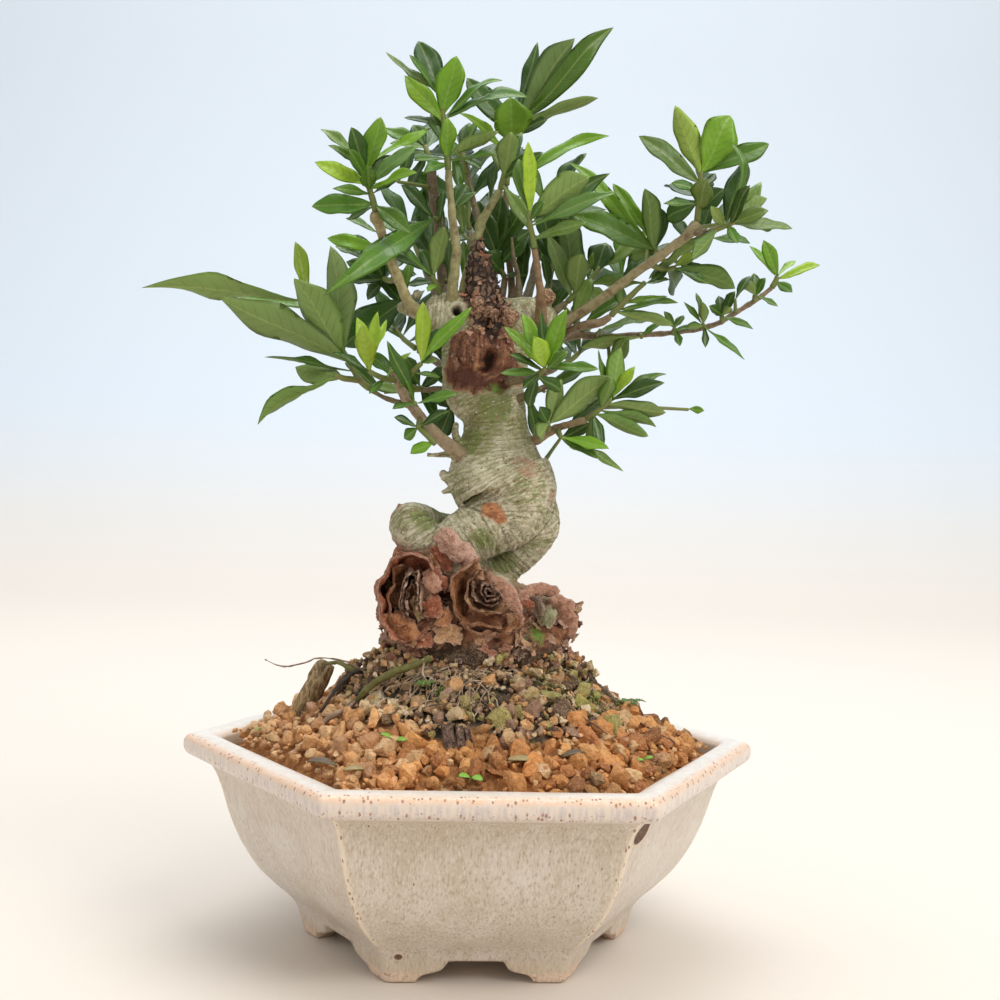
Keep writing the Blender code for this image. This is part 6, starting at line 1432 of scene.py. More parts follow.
def shaken_lattice(draw, pitch, reach):
    """Places of a triangular lattice of this pitch inside the hexagon, each shaken by a third of it."""
    steps = np.arange(-LATTICE_REACH, LATTICE_REACH + 1)
    i, j = np.meshgrid(steps, steps)
    x = (pitch * (i + 0.5 * (j % 2))).ravel()
    y = (pitch * math.sqrt(3) / 2 * j).ravel()
    x = x + draw.uniform(-SHAKE, SHAKE, len(x)) * pitch
    y = y + draw.uniform(-SHAKE, SHAKE, len(y)) * pitch
    inside = hexagon_share(x, y) < reach
    return x[inside], y[inside]


def lay_grains(seed, pitch, lift, low, high, reach):
    """Places and radii of one layer of grains; the left of the pot has finer ones."""
    draw = np.random.default_rng(seed)
    x, y = shaken_lattice(draw, pitch, reach)
    radius = draw.uniform(low, high, len(x)) * (1 - 0.28 * smoothstep(-15, -60, x) * (y < 10))
    radius = radius * (1 - 0.25 * smoothstep(46, 34, np.hypot(x, y)))
    rise = 0.8 + 1.2 * smoothstep(10, 40, x) + 2.8 * smoothstep(-20, -46, x)
    rise = rise * smoothstep(0.80, 0.93, hexagon_share(x, y))
    z = mound_height(x, y) + lift + rise + draw.uniform(-0.7, 0.7, len(x))
    return np.column_stack([x, y, z]), radius


# %% [markdown]
# Baked clay breaks into blunt lumps with flat sides.  Each grain is a small ball with a few random
# planes cut off, and numpy cuts all the grains at once.

# %% Cutting the grains
CUTS = 9                     # planes that cut each grain


def cut_grains(draw, places, radii, rows, columns):
    """Many grains at once: balls cut by random planes, stretched, roughened and turned.

    A plane with normal n at distance d moves each point p beyond it back to p - (p n - d) n."""
    points, faces = ball(np.zeros(3), np.ones(3), rows, columns)
    count = len(places)
    shape = np.repeat(points[None], count, axis=0)
    for _ in range(CUTS):
        normal = unit(draw.normal(size=(count, 1, 3)))
        beyond = (shape * normal).sum(-1, keepdims=True) - draw.uniform(0.42, 0.80, (count, 1, 1))
        shape = shape - np.maximum(beyond, 0) * normal
    shift = draw.uniform(0, 900, (count, 1, 3))
    lumps = 0.20 * noise(points[None] * 1.2 + shift, 1.0, 7) + 0.17 * noise(points[None] + shift, 0.45, 8)
    shape = shape * (1 + lumps)[..., None] * draw.uniform(0.75, 1.45, (count, 1, 3))
    shape = np.einsum("nij,nkj->nki", random_turns(draw, count), shape) * radii[:, None, None]
    faces = faces[None] + (np.arange(count) * len(points))[:, None, None]
    return shape + places[:, None], faces.reshape(-1, 4)


# %% [markdown]
# The clay runs from orange to straw, and the old root ball from tan to black.  Each grain has one
# tone, which sits on its points, and a number that says how wet it is.

# %% The grains' tones
AKADAMA = np.array([(0.92, 0.450, 0.155), (0.86, 0.375, 0.115), (0.94, 0.600, 0.300), (0.58, 0.225, 0.070),
                    (0.90, 0.430, 0.135)])
OLD_GRAINS = np.array([(0.80, 0.590, 0.340), (0.50, 0.305, 0.160), (0.88, 0.710, 0.470), (0.17, 0.100, 0.060),
                       (0.50, 0.430, 0.140), (0.86, 0.470, 0.200), (0.42, 0.245, 0.165)])
# lumps of yellow-green moss and the large grains that stand out: place, radius and tone
SINGLE_GRAINS = [
    ((23, -29, 83), 3.6, (0.42, 0.38, 0.12)), ((33, -23, 80), 3.4, (0.46, 0.42, 0.11)),
    ((38, -14, 80), 3.0, (0.38, 0.38, 0.10)), ((43, -26, 73.5), 3.6, (0.50, 0.46, 0.14)),
    ((17, -31, 84), 3.0, (0.62, 0.46, 0.20)), ((-3, -33, 80), 2.4, (0.80, 0.60, 0.38)),
    ((-30, -27, 79), 3.8, (0.78, 0.66, 0.46)), ((-21, -32, 78), 3.2, (0.70, 0.58, 0.38)),
]


LEFT_SHEEN_PALE = np.array([0.95, 0.62, 0.33])         # what the grains at the left are paled towards, as a painted sheen
GRAIN_EDGE = math.radians(32)                # edges sharper than this stay sharp


def grain_mesh(name, laid, rows, columns, seed, keep_old, extra=()):
    """The mesh of one kind of grains, with how wet each is and its tone."""
    draw = np.random.default_rng(seed)
    places, radii = (np.concatenate(part) for part in zip(*laid))
    free = clear_of(things_in_soil, places, radii * 0.62)
    old = in_old_ball(places) > 0.5
    free &= ~old | (draw.uniform(size=len(places)) < keep_old)
    places, radii, old = places[free], radii[free], old[free]
    count = len(places)
    fresh_tones = AKADAMA[draw.integers(0, len(AKADAMA), count)]
    aged = old & (draw.uniform(size=count) < 0.88)
    tones = np.where(aged[:, None], OLD_GRAINS[draw.integers(0, len(OLD_GRAINS), count)], fresh_tones)
    tones = tones * draw.uniform(0.86, 1.15, (count, 1))
    left = smoothstep(-10, -40, places[:, 0])
    damp = noise(places, 16.0, 17) + 0.5 * noise(places, 6.0, 18) - 0.5 * left
    # the grains at the left are paled: a painted sheen
    tones = tones + 0.35 * left[:, None] * (LEFT_SHEEN_PALE - tones)
    tones = tones * (1 - 0.50 * smoothstep(0.0, 0.6, damp)[:, None] * ~aged[:, None])
    wet = (draw.uniform(0, 1, count) + 0.25 * smoothstep(-20, -45, places[:, 0])
           + 0.15 * smoothstep(0, 0.6, damp))
    for place, radius, tone in extra:
        places, tones = np.vstack([places, place]), np.vstack([tones, tone])
        radii, wet = np.append(radii, radius), np.append(wet, 0.0)
    points, faces = cut_grains(draw, places, radii, rows, columns)
    each = points.shape[1]
    print(name + ":", len(places), "grains,", len(faces), "faces")
    mesh = put_mesh(name, points, faces, {"wet": np.repeat(wet, each)})
    set_tones(mesh, np.repeat(tones, each, axis=0))
    weld(mesh, recalculate=True).set_sharp_from_angle(angle=GRAIN_EDGE)
    return mesh


# %% [markdown]
# Two layers of large grains cover the heap.  Crumbs lie between them, finer ones on the old root ball,
# and some cling to the foot of the wood.

# %% Laying the grains
# each layer: seed, pitch of the lattice, lift over the heap, smallest and largest radius, how far it reaches
large_grains = [lay_grains(1, 4.4, -0.9, 1.7, 3.0, 0.965), lay_grains(2, 6.2, 0.7, 1.6, 4.1, 0.935)]
crumbs = [lay_grains(3, 3.6, 0.2, 0.5, 1.4, 0.98)]
old_x, old_y = shaken_lattice(np.random.default_rng(4), 2.5, 0.7)
old_crumbs = np.column_stack([old_x, old_y, mound_height(old_x, old_y) + 0.3])
old_crumbs = old_crumbs[in_old_ball(old_crumbs) > 0.5]
crumbs.append((old_crumbs, np.random.default_rng(5).uniform(0.5, 1.5, len(old_crumbs))))
# crumbs that cling to the foot of the wood, more of them lower down
CLINGING = 900
draw = np.random.default_rng(6)
wood_points = mesh_points(wood_mesh)
cling_to = 93 + 3.5 * noise(wood_points, 8.0, 19)
low_wood = np.flatnonzero((wood_points[:, 2] > 85) & (wood_points[:, 2] < cling_to))
low_wood = draw.choice(low_wood, CLINGING, replace=False)
cling_size = draw.uniform(0.45, 1.5, CLINGING)
clinging = wood_points[low_wood] + mesh_normals(wood_mesh)[low_wood] * 0.75 * cling_size[:, None]
crumbs.append((clinging, cling_size))


# %% [markdown]
# Dry clay is matt and rough, and a wet grain is dark and glossy.  A coat that is there only where the
# grain is wet gives that gloss without a second material.

# %% The grains' finish
def make_grain():
    finish = Finish("soil_grain", Specular_IOR_Level=0.5, Coat_Roughness=0.15)
    here = finish.place()
    coarse = finish.speckle(here, 1.9, 4.0, 0.7)
    medium = finish.speckle(here, 1.1, 4.0, 0.7)
    fine = finish.speckle(here, 0.45, 3.0, 0.7)
    shade = finish.tint(coarse.between(0.56, 0.38) * 0.54, finish.tone(), (0.45, 0.34, 0.26))
    shade = finish.mix(fine.between(0.52, 0.66) * 0.45, shade, (0.90, 0.66, 0.40))
    wetness = finish.layer("wet").between(0.76, 1.02) * medium.between(0.40, 0.56)
    rough = (0.80 - wetness * 0.55 + fine * 0.1).clipped()
    return finish.use(Base_Color=shade, Roughness=rough, Coat_Weight=wetness * 0.95,
                      Normal=finish.bump(coarse * 1.3 + medium + fine * 0.5, 0.9, 1.1))


grain_finish = make_grain()
large_mesh = grain_mesh("soil_grains", large_grains, 7, 8, 12, 0.75, SINGLE_GRAINS)
show("soil_grains", large_mesh, grain_finish, "soil_grains")
show("soil_crumbs", grain_mesh("soil_crumbs", crumbs, 5, 6, 13, 0.95), grain_finish, "soil_grains")


# %% [markdown]
# Round the trunk the old root ball shows: moss, and hair-thin roots that wander over the grains.  Moss
# is hundreds of tiny tapering tufts.  A root is a thin tube whose path takes small random turns while it
# keeps just above the heap.

# %% Moss and hair roots
def on_heap(x, y, lift):
    """Points that lie this far over the heap."""
    return np.stack([x, y, mound_height(x, y) + lift], axis=-1)


def hair_root(draw, start, heading, length, radius, lift=1.4):
    """A wandering path on the heap: the heading turns a little at random at each 2 mm."""
    steps = max(4, int(length / 2))
    turns = heading + np.cumsum(draw.normal(0, 0.35, steps))
    x = start[0] + np.cumsum(2 * np.cos(turns))
    y = start[1] + np.cumsum(2 * np.sin(turns))
    hump = lift + 0.7 * np.sin(np.arange(steps) * draw.uniform(0.6, 1.6) + draw.uniform(0, 6))
    path = on_heap(x, y, hump)
    return smooth_path(np.column_stack([path, radius * np.linspace(1, 0.45, steps)]), 2)


def tufts(draw, places, ways, length, width):
    """Tapering three-sided spikes: a triangle at the foot and a point at the tip."""
    side = unit(np.cross(ways, draw.normal(size=ways.shape)))
    other = np.cross(ways, side)
    angle = np.arange(3) * 2 * math.pi / 3
    foot = places[:, None] + width[:, None, None] * (np.cos(angle)[None, :, None] * side[:, None]
                                                     + np.sin(angle)[None, :, None] * other[:, None])
    tip = (places + ways * length[:, None])[:, None]
    points = np.concatenate([foot, tip], axis=1)
    faces = np.array([[0, 1, 3], [1, 2, 3], [2, 0, 3], [2, 1, 0]])
    faces = faces[None] + (np.arange(len(places)) * 4)[:, None, None]
    return points.reshape(-1, 3), faces.reshape(-1, 3)


# %% [markdown]
# Moss grows in a few spots of the old root ball.  Its tufts lean at random, are pale at their tips and
# dark at their feet, and so look soft from afar.

# %% The moss
MOSS_SPOTS = [(24, -24, 5), (32, -12, 5), (-30, -14, 5), (42, -20, 3), (44, -8, 5), (-9, -35, 1.6),
              (26, 16, 8), (-8, 30, 9), (-30, 18, 7), (12, 34, 7)]
EACH = 80                    # tufts on each spot

draw = np.random.default_rng(31)
moss_places = np.concatenate([
    on_heap(x + draw.normal(0, size, EACH), y + draw.normal(0, size * 0.8, EACH),
            draw.uniform(-0.2, 1.2, EACH))
    for x, y, size in MOSS_SPOTS])
moss_ways = unit(draw.normal(0, 0.55, moss_places.shape) + [0, 0, 1])
moss_points, moss_faces = tufts(draw, moss_places, moss_ways, draw.uniform(1.0, 2.4, len(moss_places)),
                                draw.uniform(0.18, 0.36, len(moss_places)))
height = np.tile([0.0, 0.0, 0.0, 1.0], len(moss_places))
moss_mesh = put_mesh("moss", moss_points, moss_faces, {"height": height})


def make_moss():
    finish = Finish("moss", Roughness=0.8)
    here = finish.place()
    patch = finish.speckle(here, 6.0, 3.0).between(0.35, 0.65)
    shade = finish.mix(patch, (0.050, 0.085, 0.012), (0.16, 0.20, 0.030))
    shade = finish.mix(finish.layer("height") * 0.5, shade, (0.27, 0.32, 0.06))
    return finish.use(Base_Color=shade, Normal=finish.bump(finish.speckle(here, 0.5), 0.2, 0.5))


show("moss", weld(moss_mesh, recalculate=True), make_moss(), "leaf_green")


# %% [markdown]
# Young roots are pale and old ones brown or black.  Most of them wander at random, and the few that
# stand out in the front view are told one by one.

# %% The hair roots
ROOT_TONES = {"pale": (0.52, 0.40, 0.28), "brown": (0.17, 0.105, 0.06), "dark": (0.045, 0.032, 0.024),
              "olive": (0.17, 0.165, 0.045), "dry": (0.36, 0.25, 0.17)}


def root_part(rows, sides, tone, rounded=False):
    points, faces, layers = tube(rows, sides, rounded=rounded)
    return points, faces, layers, np.tile(ROOT_TONES[tone], (len(points), 1))


HAIR_ROOTS = 170
ALL_ROUND = 110              # so many of them start all round the trunk, and the others in front
BROWN_ROOTS = 70

root_parts = []
for number in range(HAIR_ROOTS):
    turn = draw.uniform(0, 2 * math.pi) if number < ALL_ROUND else draw.uniform(-2.4, -1.3)
    reach = draw.uniform(24, 46) if number < ALL_ROUND else draw.uniform(26, 36)
    start = (reach * math.cos(turn), reach * 0.85 * math.sin(turn))
    heading = turn + draw.uniform(-1.6, 1.6)
    path = hair_root(draw, start, heading, draw.uniform(8, 22), draw.uniform(0.12, 0.26))
    root_parts.append(root_part(path, 5, "brown" if number < BROWN_ROOTS else "pale"))
# roots told one by one: x, y, z and radius
THIN_ROOTS = {
    "dry": [[(-34, -14, 86.4, 0.30), (-40, -15, 89.2, 0.26), (-48, -17, 90.4, 0.24), (-57, -18, 88.6, 0.22),
             (-62, -18, 88.8, 0.20), (-65, -18, 90.0, 0.14)],
            [(-47.3, -27.5, 71.4, 1.0), (-44, -27.5, 73.8, 0.9), (-40, -26.5, 76.4, 0.75),
             (-36, -25, 79.0, 0.5)]],
    "dark": [[(-33, -12, 85.6, 0.5), (-38, -16, 86.2, 0.55), (-43, -19, 81.0, 0.5), (-47, -21, 74.4, 0.4)],
             [(-33, -16, 84.0, 0.45), (-36, -20, 81.0, 0.5), (-36.4, -22, 77.0, 0.4)]],
    "olive": [[(-31, -12, 87.0, 0.6), (-38, -13, 86.4, 0.8), (-43, -10, 88.0, 0.75), (-47.5, -6, 87.4, 0.6)],
              [(-14, -26, 93.0, 1.3), (-20, -28.5, 90.4, 1.3), (-27, -28, 87.6, 1.2), (-32, -26, 83.4, 1.1),
               (-36, -24, 78.2, 0.9)]],
    "brown": [[(20, -26, 86.0, 0.3), (27, -32, 82.0, 0.3), (36, -36, 76.6, 0.25), (44, -38, 72.0, 0.2)],
              [(49, -8, 75.0, 0.25), (56, -14, 71.0, 0.3), (63, -20, 68.0, 0.2)]],
    "pale": [[(-16, -27.5, 93.0, 0.3), (-15.6, -29.5, 89.0, 0.3), (-13.6, -31.6, 85.6, 0.25),
              (-11.4, -35, 82.0, 0.2)]],
}
for tone, paths in THIN_ROOTS.items():
    root_parts += [root_part(smooth_path(np.array(rows, dtype=float), 6), 7, tone, True) for rows in paths]


def make_root_skin():
    finish = Finish("root_skin", Roughness=0.7)
    here = finish.place()
    patch = finish.speckle(here, 3.0, 3.0).between(0.35, 0.62)
    shade = finish.tint(patch * 0.7, finish.tone(), (0.45, 0.38, 0.32))
    return finish.use(Base_Color=shade, Normal=finish.bump(finish.speckle(here, 0.6), 0.3, 0.6))


show_parts("hair_roots", root_parts, make_root_skin(), "bark", crumple=0.7)


# %% [markdown]
# A gardenia leaf is a leathery, pointed oval with a deep midrib and curved side veins that quilt it.  It
# could be one flat card with a picture on it.  Here each leaf is a thin closed shell over a grid instead:
# one number runs from its foot to its tip and the other round its section, over the top from edge to
# edge and back underneath.  All the leaves of a shoot are worked out in one array.

# %% Where the leaves are
# Each shoot: its stems as rows of x, z and back, in crown steps; its leaves as rows of the place along the
# stems (0 to 1 on the first, 1 to 2 on the second), the tip's x and z, the tip's depth behind the foot, the
# width, the roll (0 shows the top face in front, 90 turns it up, 180 shows the underside) and how far it
# arches, where that isn't the usual; and each leaf's tone in turn: Dark, Middle, Olive underside, Bright,
# Yellow-green, White gloss or Grey.  Dark, Middle and Bright are one green at three strengths: partly the
# leaves' own difference, partly painted shade and light as each leaf lay in shade or light.  White gloss
# is a greyed green that stands for a painted sheen.
SHOOTS = {
    "shoot_left_outer": (
        [[(-36.6, 175.6, -7), (-40, 178.4, -7), (-44, 185, -5), (-50.5, 195, -3), (-56.5, 202.5, -2)],
         [(-39.5, 178, -7), (-44.5, 178.4, -9), (-47.6, 179.4, -10)]],
        [(1, -110.3, 205, 4, 9, 130, 0.05), (1, -61.5, 221.5, 2, 5, 20, 0.02), (0.9, -79, 203, 8, 6, 60),
         (0.3, -85.5, 203, -5, 12.5, 150), (0.38, -61.6, 209.8, -14, 12.5, 165, 0.05),
         (0.42, -50.3, 220.5, -6, 11, 150, 0.04), (0.2, -70.6, 184.4, -5, 4, 80),
         (2, -72, 162.6, -5, 8, 120, 0.09), (1.7, -60.4, 181.6, 10, 8.5, 170)], "OYBOOGDMO"),
    "shoot_left_bright": (
        [[(-28, 178.4, -6), (-32.5, 179, -9), (-36.8, 181, -10)]],
        [(1, -34.6, 200.2, -1, 4, 20), (1, -41.2, 198.2, 4, 4.6, 30, 0.02),
         (1, -39.4, 196, -6, 6.2, 10, 0.04), (1, -31.6, 197.8, -4, 3.6, 50),
         (0.5, -23.4, 187.6, -5, 3.4, 65, 0.02), (0.5, -36.6, 173.8, -3, 3, 30, 0.02),
         (0.9, -49, 186.6, -2, 3.4, 65)], "YYYYYMD"),
    "shoot_left_inner": (
        [[(-26.6, 176.8, -6), (-24.5, 179.5, -9), (-20.3, 184, -11)]],
        [(1, -20.3, 203.8, -2, 5.2, 10), (1, -4.6, 202.6, -5, 4.6, 25), (1, -13.3, 196, 0, 4.6, 30),
         (1, -15.2, 185, -4, 3.2, 60), (0.7, -13.8, 179.8, -2, 3.2, 70, 0.02)], "YBDOM"),
    "spur_left_low": (
        [[(-20, 165.6, -6), (-20.6, 163.6, -9.5)],
         [(-20.4, 164, -9), (-15, 158.4, -10)]],
        [(1, -10.6, 169.2, -2, 4, 40, 0.06), (1, -28.4, 166.6, -2, 3.4, 40),
         (1, -25, 159.8, 1, 4, 20, 0.02), (1.9, -22.8, 155, -1, 4, 25)], "DDMB"),
    "spur_left_mid": (
        [[(-23, 171.4, -6), (-21.8, 171.2, -9.5)]],
        [(1, -7.8, 174.6, -3, 4.2, 45, 0.04), (1, -29, 169.2, -2, 3.6, 55), (1, -31.4, 191, 3, 4.8, 30),
         (0.8, -25, 178.6, -4, 2.8, 50, 0.02)], "MMDM"),
    "spur_left_behind": (
        [[(-19.4, 175.8, 5), (-20.4, 176.4, 6.6)]],
        [(1, -8.2, 169.4, -2, 4.8, 35), (1, -14.4, 166.2, 0, 4.6, 30), (1, -11.8, 182.6, 3, 5, 30),
         (1, -25.6, 186.4, 4, 5.2, 25), (1, -31, 180.6, 2, 4.8, 35)], "DDDMD"),
    "shoot_knob_left": (
        [[(-14, 203.6, -1), (-15.8, 208.6, -2), (-17.5, 212, -2)]],
        [(1, -14, 227.8, -3, 6.6, 160, 0.05), (1, -30.2, 221.8, -5, 4.2, 55), (0.8, -25.8, 209, 3, 4.4, 55),
         (0.7, -18.8, 207, -6, 2.6, 30)], "OMDB"),
    "spur_crown_left_foot": (
        [[(-25.4, 204.4, -2), (-26.2, 204.4, 1.5)]],
        [(1, -45.4, 188.6, 4, 13, 25, 0.04), (1, -31, 197.2, 5, 4.8, 55), (1, -33, 217, 2, 4.2, 35),
         (1, -24.6, 216.8, 6, 4.2, 35)], "DMBB"),
    "shoot_behind_left": (
        [[(-29, 210.6, -3.4), (-31, 210, 0), (-33, 210.6, 3)]],
        [(1, -43.8, 209.2, -3, 4.4, 40), (1, -45.2, 215.6, 2, 5.6, 30, 0.04), (1, -39.6, 222.2, 4, 7.4, 25),
         (1, -32.8, 224, 8, 7.2, 30), (0.9, -26.4, 220.8, 10, 6.6, 35), (0.8, -22.6, 212.6, 6, 4.8, 40),
         (1, -38, 203.6, 2, 4.8, 40)], "DDDDDMD"),
    "spur_crown_left_mid": (
        [[(-32, 219.4, -4.4), (-34, 219.8, -1)]],
        [(1, -51.4, 222.8, 2, 5.2, 20, 0.04), (1, -45.2, 223.6, 8, 3.4, 50),
         (1, -20.4, 213.8, 6, 4.2, 45)], "BDD"),
    "shoot_crown_left": (
        [[(-36.2, 232, -7), (-37.2, 235.4, -8), (-38.4, 239, -8), (-39.6, 243, -8), (-40.3, 247, -8)]],
        [(0.15, -56.6, 232.7, -4, 7, 20), (0.12, -24.8, 225.3, 6, 6.6, 30, 0.05),
         (0.12, -45.2, 228.8, 3, 3.6, 50), (0.75, -35.4, 261.8, -1, 7, 15, 0.04),
         (0.8, -44.8, 258.2, -5, 6.4, 25, 0.04), (0.95, -54.6, 257.2, 4, 4, 45, 0.08),
         (0.95, -52, 252.2, -5, 3, 55, 0.02), (0.55, -56, 246.8, -8, 5.4, 20, 0.05),
         (0.6, -45.6, 251.6, -8, 4.2, 20), (0.55, -23.6, 252.8, -4, 5.8, 35, 0.06),
         (0.5, -23.4, 244.6, -8, 4, 40, 0.05), (0.35, -29, 242.2, -3, 3.2, 55, 0.04),
         (0.45, -39.2, 246.4, -15, 5.2, 10, 0.05), (0.35, -50.2, 238.6, -6, 3.4, 30, 0.06),
         (0.9, -19.4, 258.8, 6, 3.4, 40, 0.04), (0.7, -31.8, 249.8, 4, 4.4, 35)], "MMDBDOMYMWBDMMBD"),
    "shoot_crown_a": (
        [[(-13.5, 246, -6), (-14.2, 252, -6), (-15.2, 259, -5), (-16.2, 266, -5), (-16.8, 270, -5)]],
        [(0.95, -24.3, 286, 4, 8.8, 25), (0.68, -12, 281.8, -5, 9, 10, 0.04),
         (0.62, -28.3, 275, -6, 6.2, 15), (1, -34.6, 282.3, 3, 3.4, 45, -0.06),
         (0.95, -27, 281.6, -5, 3.8, 50, 0.02), (0.7, 3, 274.6, -2, 4.2, 55, 0.12),
         (0.66, 11.6, 269.4, -8, 7, 62, 0.13), (0.6, -28.2, 261.8, 3, 3.8, 55),
         (0.3, -19.6, 263.4, 6, 5.8, 25, 0.02), (0.1, -14.4, 262.6, -8, 5.4, 10, 0.04),
         (0.16, 2.2, 258.6, -8, 5.2, 140), (0.1, 2.2, 251.2, -9, 3.8, 60),
         (0.14, -24.6, 248.4, -3, 4, 60, 0.04), (0.08, -21.6, 244, -9, 4.2, 35, 0.14)], "DBBOMMWDDBOMMM"),
    "spur_crown_a": (
        [[(-11.8, 232, -5), (-11.4, 233.2, -1.5)]],
        [(1, -4.2, 239.2, -2, 3.4, 55), (1, -7.3, 241.5, 5, 6.6, 30)], "WD"),
    "shoot_crown_c": (
        [[(-19.1, 247.2, 8), (-20, 250.4, 8), (-21, 253, 9)]],
        [(0.7, -29.6, 248.3, -4, 5, 40), (1, -25.2, 259.6, 3, 5.8, 25), (1, -34.4, 258.2, 6, 5.2, 40),
         (0.9, -32.4, 253.4, 0, 4.4, 55), (0.5, -26, 238.4, 2, 4.8, 20, 0.04),
         (0.9, -16, 262, 14, 8, 30, 0.04), (0.8, -24, 255, 26, 9, 60, 0.05),
         (0.7, -10, 249, 18, 8, 60, 0.05)], "DDMODDDD"),
    "spur_crown_c_high": (
        [[(-16.2, 230, 7.6), (-17.4, 230.4, 5.2)]],
        [(1, -52.4, 204.2, -18, 8, 45, 0.13), (1, -28.4, 240.6, -4, 5.4, 30)], "MD"),
    "spur_crown_c": (
        [[(-15.8, 217.6, 8), (-17.2, 217.6, 12)]],
        [(1, -20.6, 240, 4, 10, 20), (1, -27, 229, 8, 8, 30, 0.04), (1, -14, 231, 14, 8, 35, 0.04)], "DDD"),
    "shoot_behind_middle": (
        [[(5.6, 212.6, 7), (3.6, 216, 6.8), (2.2, 219.6, 7)]],
        [(0.1, -1.4, 220.2, -5, 8.2, 25, 0.04), (1, 3.6, 238.4, -2, 9.2, 25),
         (0.8, -3.8, 236.4, -3, 8.2, 30), (0.9, 11.4, 236.4, -5, 8.8, 30),
         (0.5, 12.8, 226, -5, 8, 35, 0.04), (0.1, 12.6, 213.4, -6, 5.8, 40)], "DDDDDD"),
    "shoot_behind_right": (
        [[(19.8, 211.6, 6.4), (20.6, 215.6, 7.4), (21, 219.6, 8)]],
        [(1, 24.8, 240.2, 3, 8.6, 25), (0.9, 15.6, 237.4, 3, 7.8, 30), (0.7, 30.4, 232.4, 1, 8.8, 30, 0.04),
         (0.5, 12.4, 226.4, 3, 6.8, 35, 0.04), (0.4, 28, 221.4, 2, 7.4, 35),
         (0.1, 24, 207.4, 0, 6.2, 35)], "DDDDDD"),
    "shoot_crown_b_left": (
        [[(-7.4, 245.2, 2), (-8.6, 249, 2), (-9.6, 252.6, 2)]],
        [(1, -4, 262.5, 3, 3, 45, 0.02), (0.8, -7.2, 261, 6, 5, 25, 0.02), (0.7, -3, 246.4, -3, 4, 40),
         (0.6, -10, 256, 22, 8, 60, 0.05), (1, 0, 258, 16, 7, 50, 0.05)], "MDDDD"),
    "shoot_crown_b_right": (
        [[(3.5, 240.6, -3), (4, 243.5, -4), (4.6, 246.5, -4)]],
        [(0.6, 6.2, 258.5, -8, 7.4, 165), (0.5, 16.6, 252.4, -10, 5.4, 30, 0.05),
         (0.6, 37.6, 258.4, -6, 5.4, 35, 0.06), (0.8, -0.6, 252.8, -3, 4, 45, 0.02),
         (0.35, 14, 226.4, -4, 5, 30, 0.05), (0.9, 9.6, 258.6, 4, 5, 30, 0.02)], "ODBOOD"),
    "shoot_crown_f": (
        [[(5.2, 241.8, 9), (5.6, 250, 9), (7, 258, 8), (8, 262.5, 8)]],
        [(0.6, 5.5, 269.5, -8, 13, 10, 0.06), (0.95, 25.4, 288.7, -3, 11.2, 150),
         (0.97, 37.6, 292.6, 4, 7.8, 40, 0.12), (1, 13.6, 287.2, 6, 4.6, 30, 0.02),
         (0.85, 33.6, 270.2, -6, 5.8, 140, 0.04), (0.8, 17.6, 262.8, 0, 5, 30),
         (0.5, -10.6, 263.8, -2, 3.8, 40), (0.75, -8.6, 275, 4, 8.6, 25), (0.9, 10, 272, 24, 9, 55, 0.05),
         (0.4, 16, 250, 22, 9, 60, 0.05)], "BDMDODBDDD"),
    "shoot_crown_e": (
        [[(14.8, 222.2, -8), (13.9, 226, -8), (13, 230, -9), (12.7, 233.5, -9)]],
        [(0.9, 11.6, 255.7, -4, 4.8, 15, 0.02), (0.85, 31.6, 245.2, -5, 10.6, 160, 0.05),
         (0.95, 8.8, 250.2, 3, 5.8, 30), (0.2, 31.2, 230.8, -6, 5.4, 30, 0.06),
         (0.6, 40.6, 240.6, -4, 5.2, 35, 0.05), (0.7, 38.2, 246.6, 3, 5.4, 35, -0.05),
         (0.5, 9, 224, 3, 4.4, 30), (0.8, 17.6, 237, -6, 3.4, 30)], "YOWOWDDM"),
    "shoot_right_inner": (
        [[(26, 205.4, 3), (29.5, 209, 4), (33, 212.5, 5), (36, 216.5, 6)]],
        [(0.1, 19, 226.2, -3, 6.2, 25), (0.2, 29.8, 220.8, -10, 8.2, 165),
         (0.35, 22.8, 233.3, 4, 9.6, 165, 0.02), (0.7, 23.6, 233, 9, 3.4, 55, 0.02),
         (0.85, 37.6, 224.6, 4, 9.4, 20), (1, 53.8, 230.6, 2, 5.4, 30, -0.04),
         (0.6, 33.6, 221.5, -2, 3, 20, 0.02), (0.5, 38, 205, 4, 6, 40),
         (0.6, 44, 214, 20, 8, 60, 0.05)], "GODMDOOOD"),
    "spur_right_high": (
        [[(54, 221, -7.6), (53.8, 222.6, -4)]],
        [(1, 26.4, 232.9, 5, 9.4, 30, 0.06), (1, 53.6, 237, 2, 7.4, 25), (0.8, 49.4, 242.2, -3, 7.2, 155),
         (1, 24.6, 249.6, 12, 5, 35, 0.08), (1, 45.6, 220, 6, 5.2, 30)], "MDMBO"),
    "shoot_right_high": (
        [[(66.5, 232.4, -11), (66.8, 238, -12), (67, 244, -12), (67.2, 248, -12)]],
        [(0.75, 46.8, 258.7, -3, 7.2, 30, 0.04), (0.9, 58, 268.8, 3, 7.8, 160),
         (1, 75.8, 266.2, 2, 11.4, 15, 0.05), (0.95, 88.6, 257.7, 4, 6.2, 30, 0.07),
         (0.65, 57.8, 244.2, -3, 3.6, 30, 0.02), (0.35, 55.4, 237.6, -4, 2.8, 45),
         (0.4, 56.4, 232.6, 9, 8.2, 30, 0.04), (0.25, 69.2, 246, -8, 7.4, 15),
         (0.2, 74.8, 243, -2, 6.6, 25), (0.6, 71.8, 247.8, 4, 4, 30, 0.02), (0.6, 66, 252, 24, 9, 60, 0.05),
         (0.5, 56, 243, 22, 8, 60, 0.05)], "WYBMMMDODDDD"),
    "shoot_right_fork": (
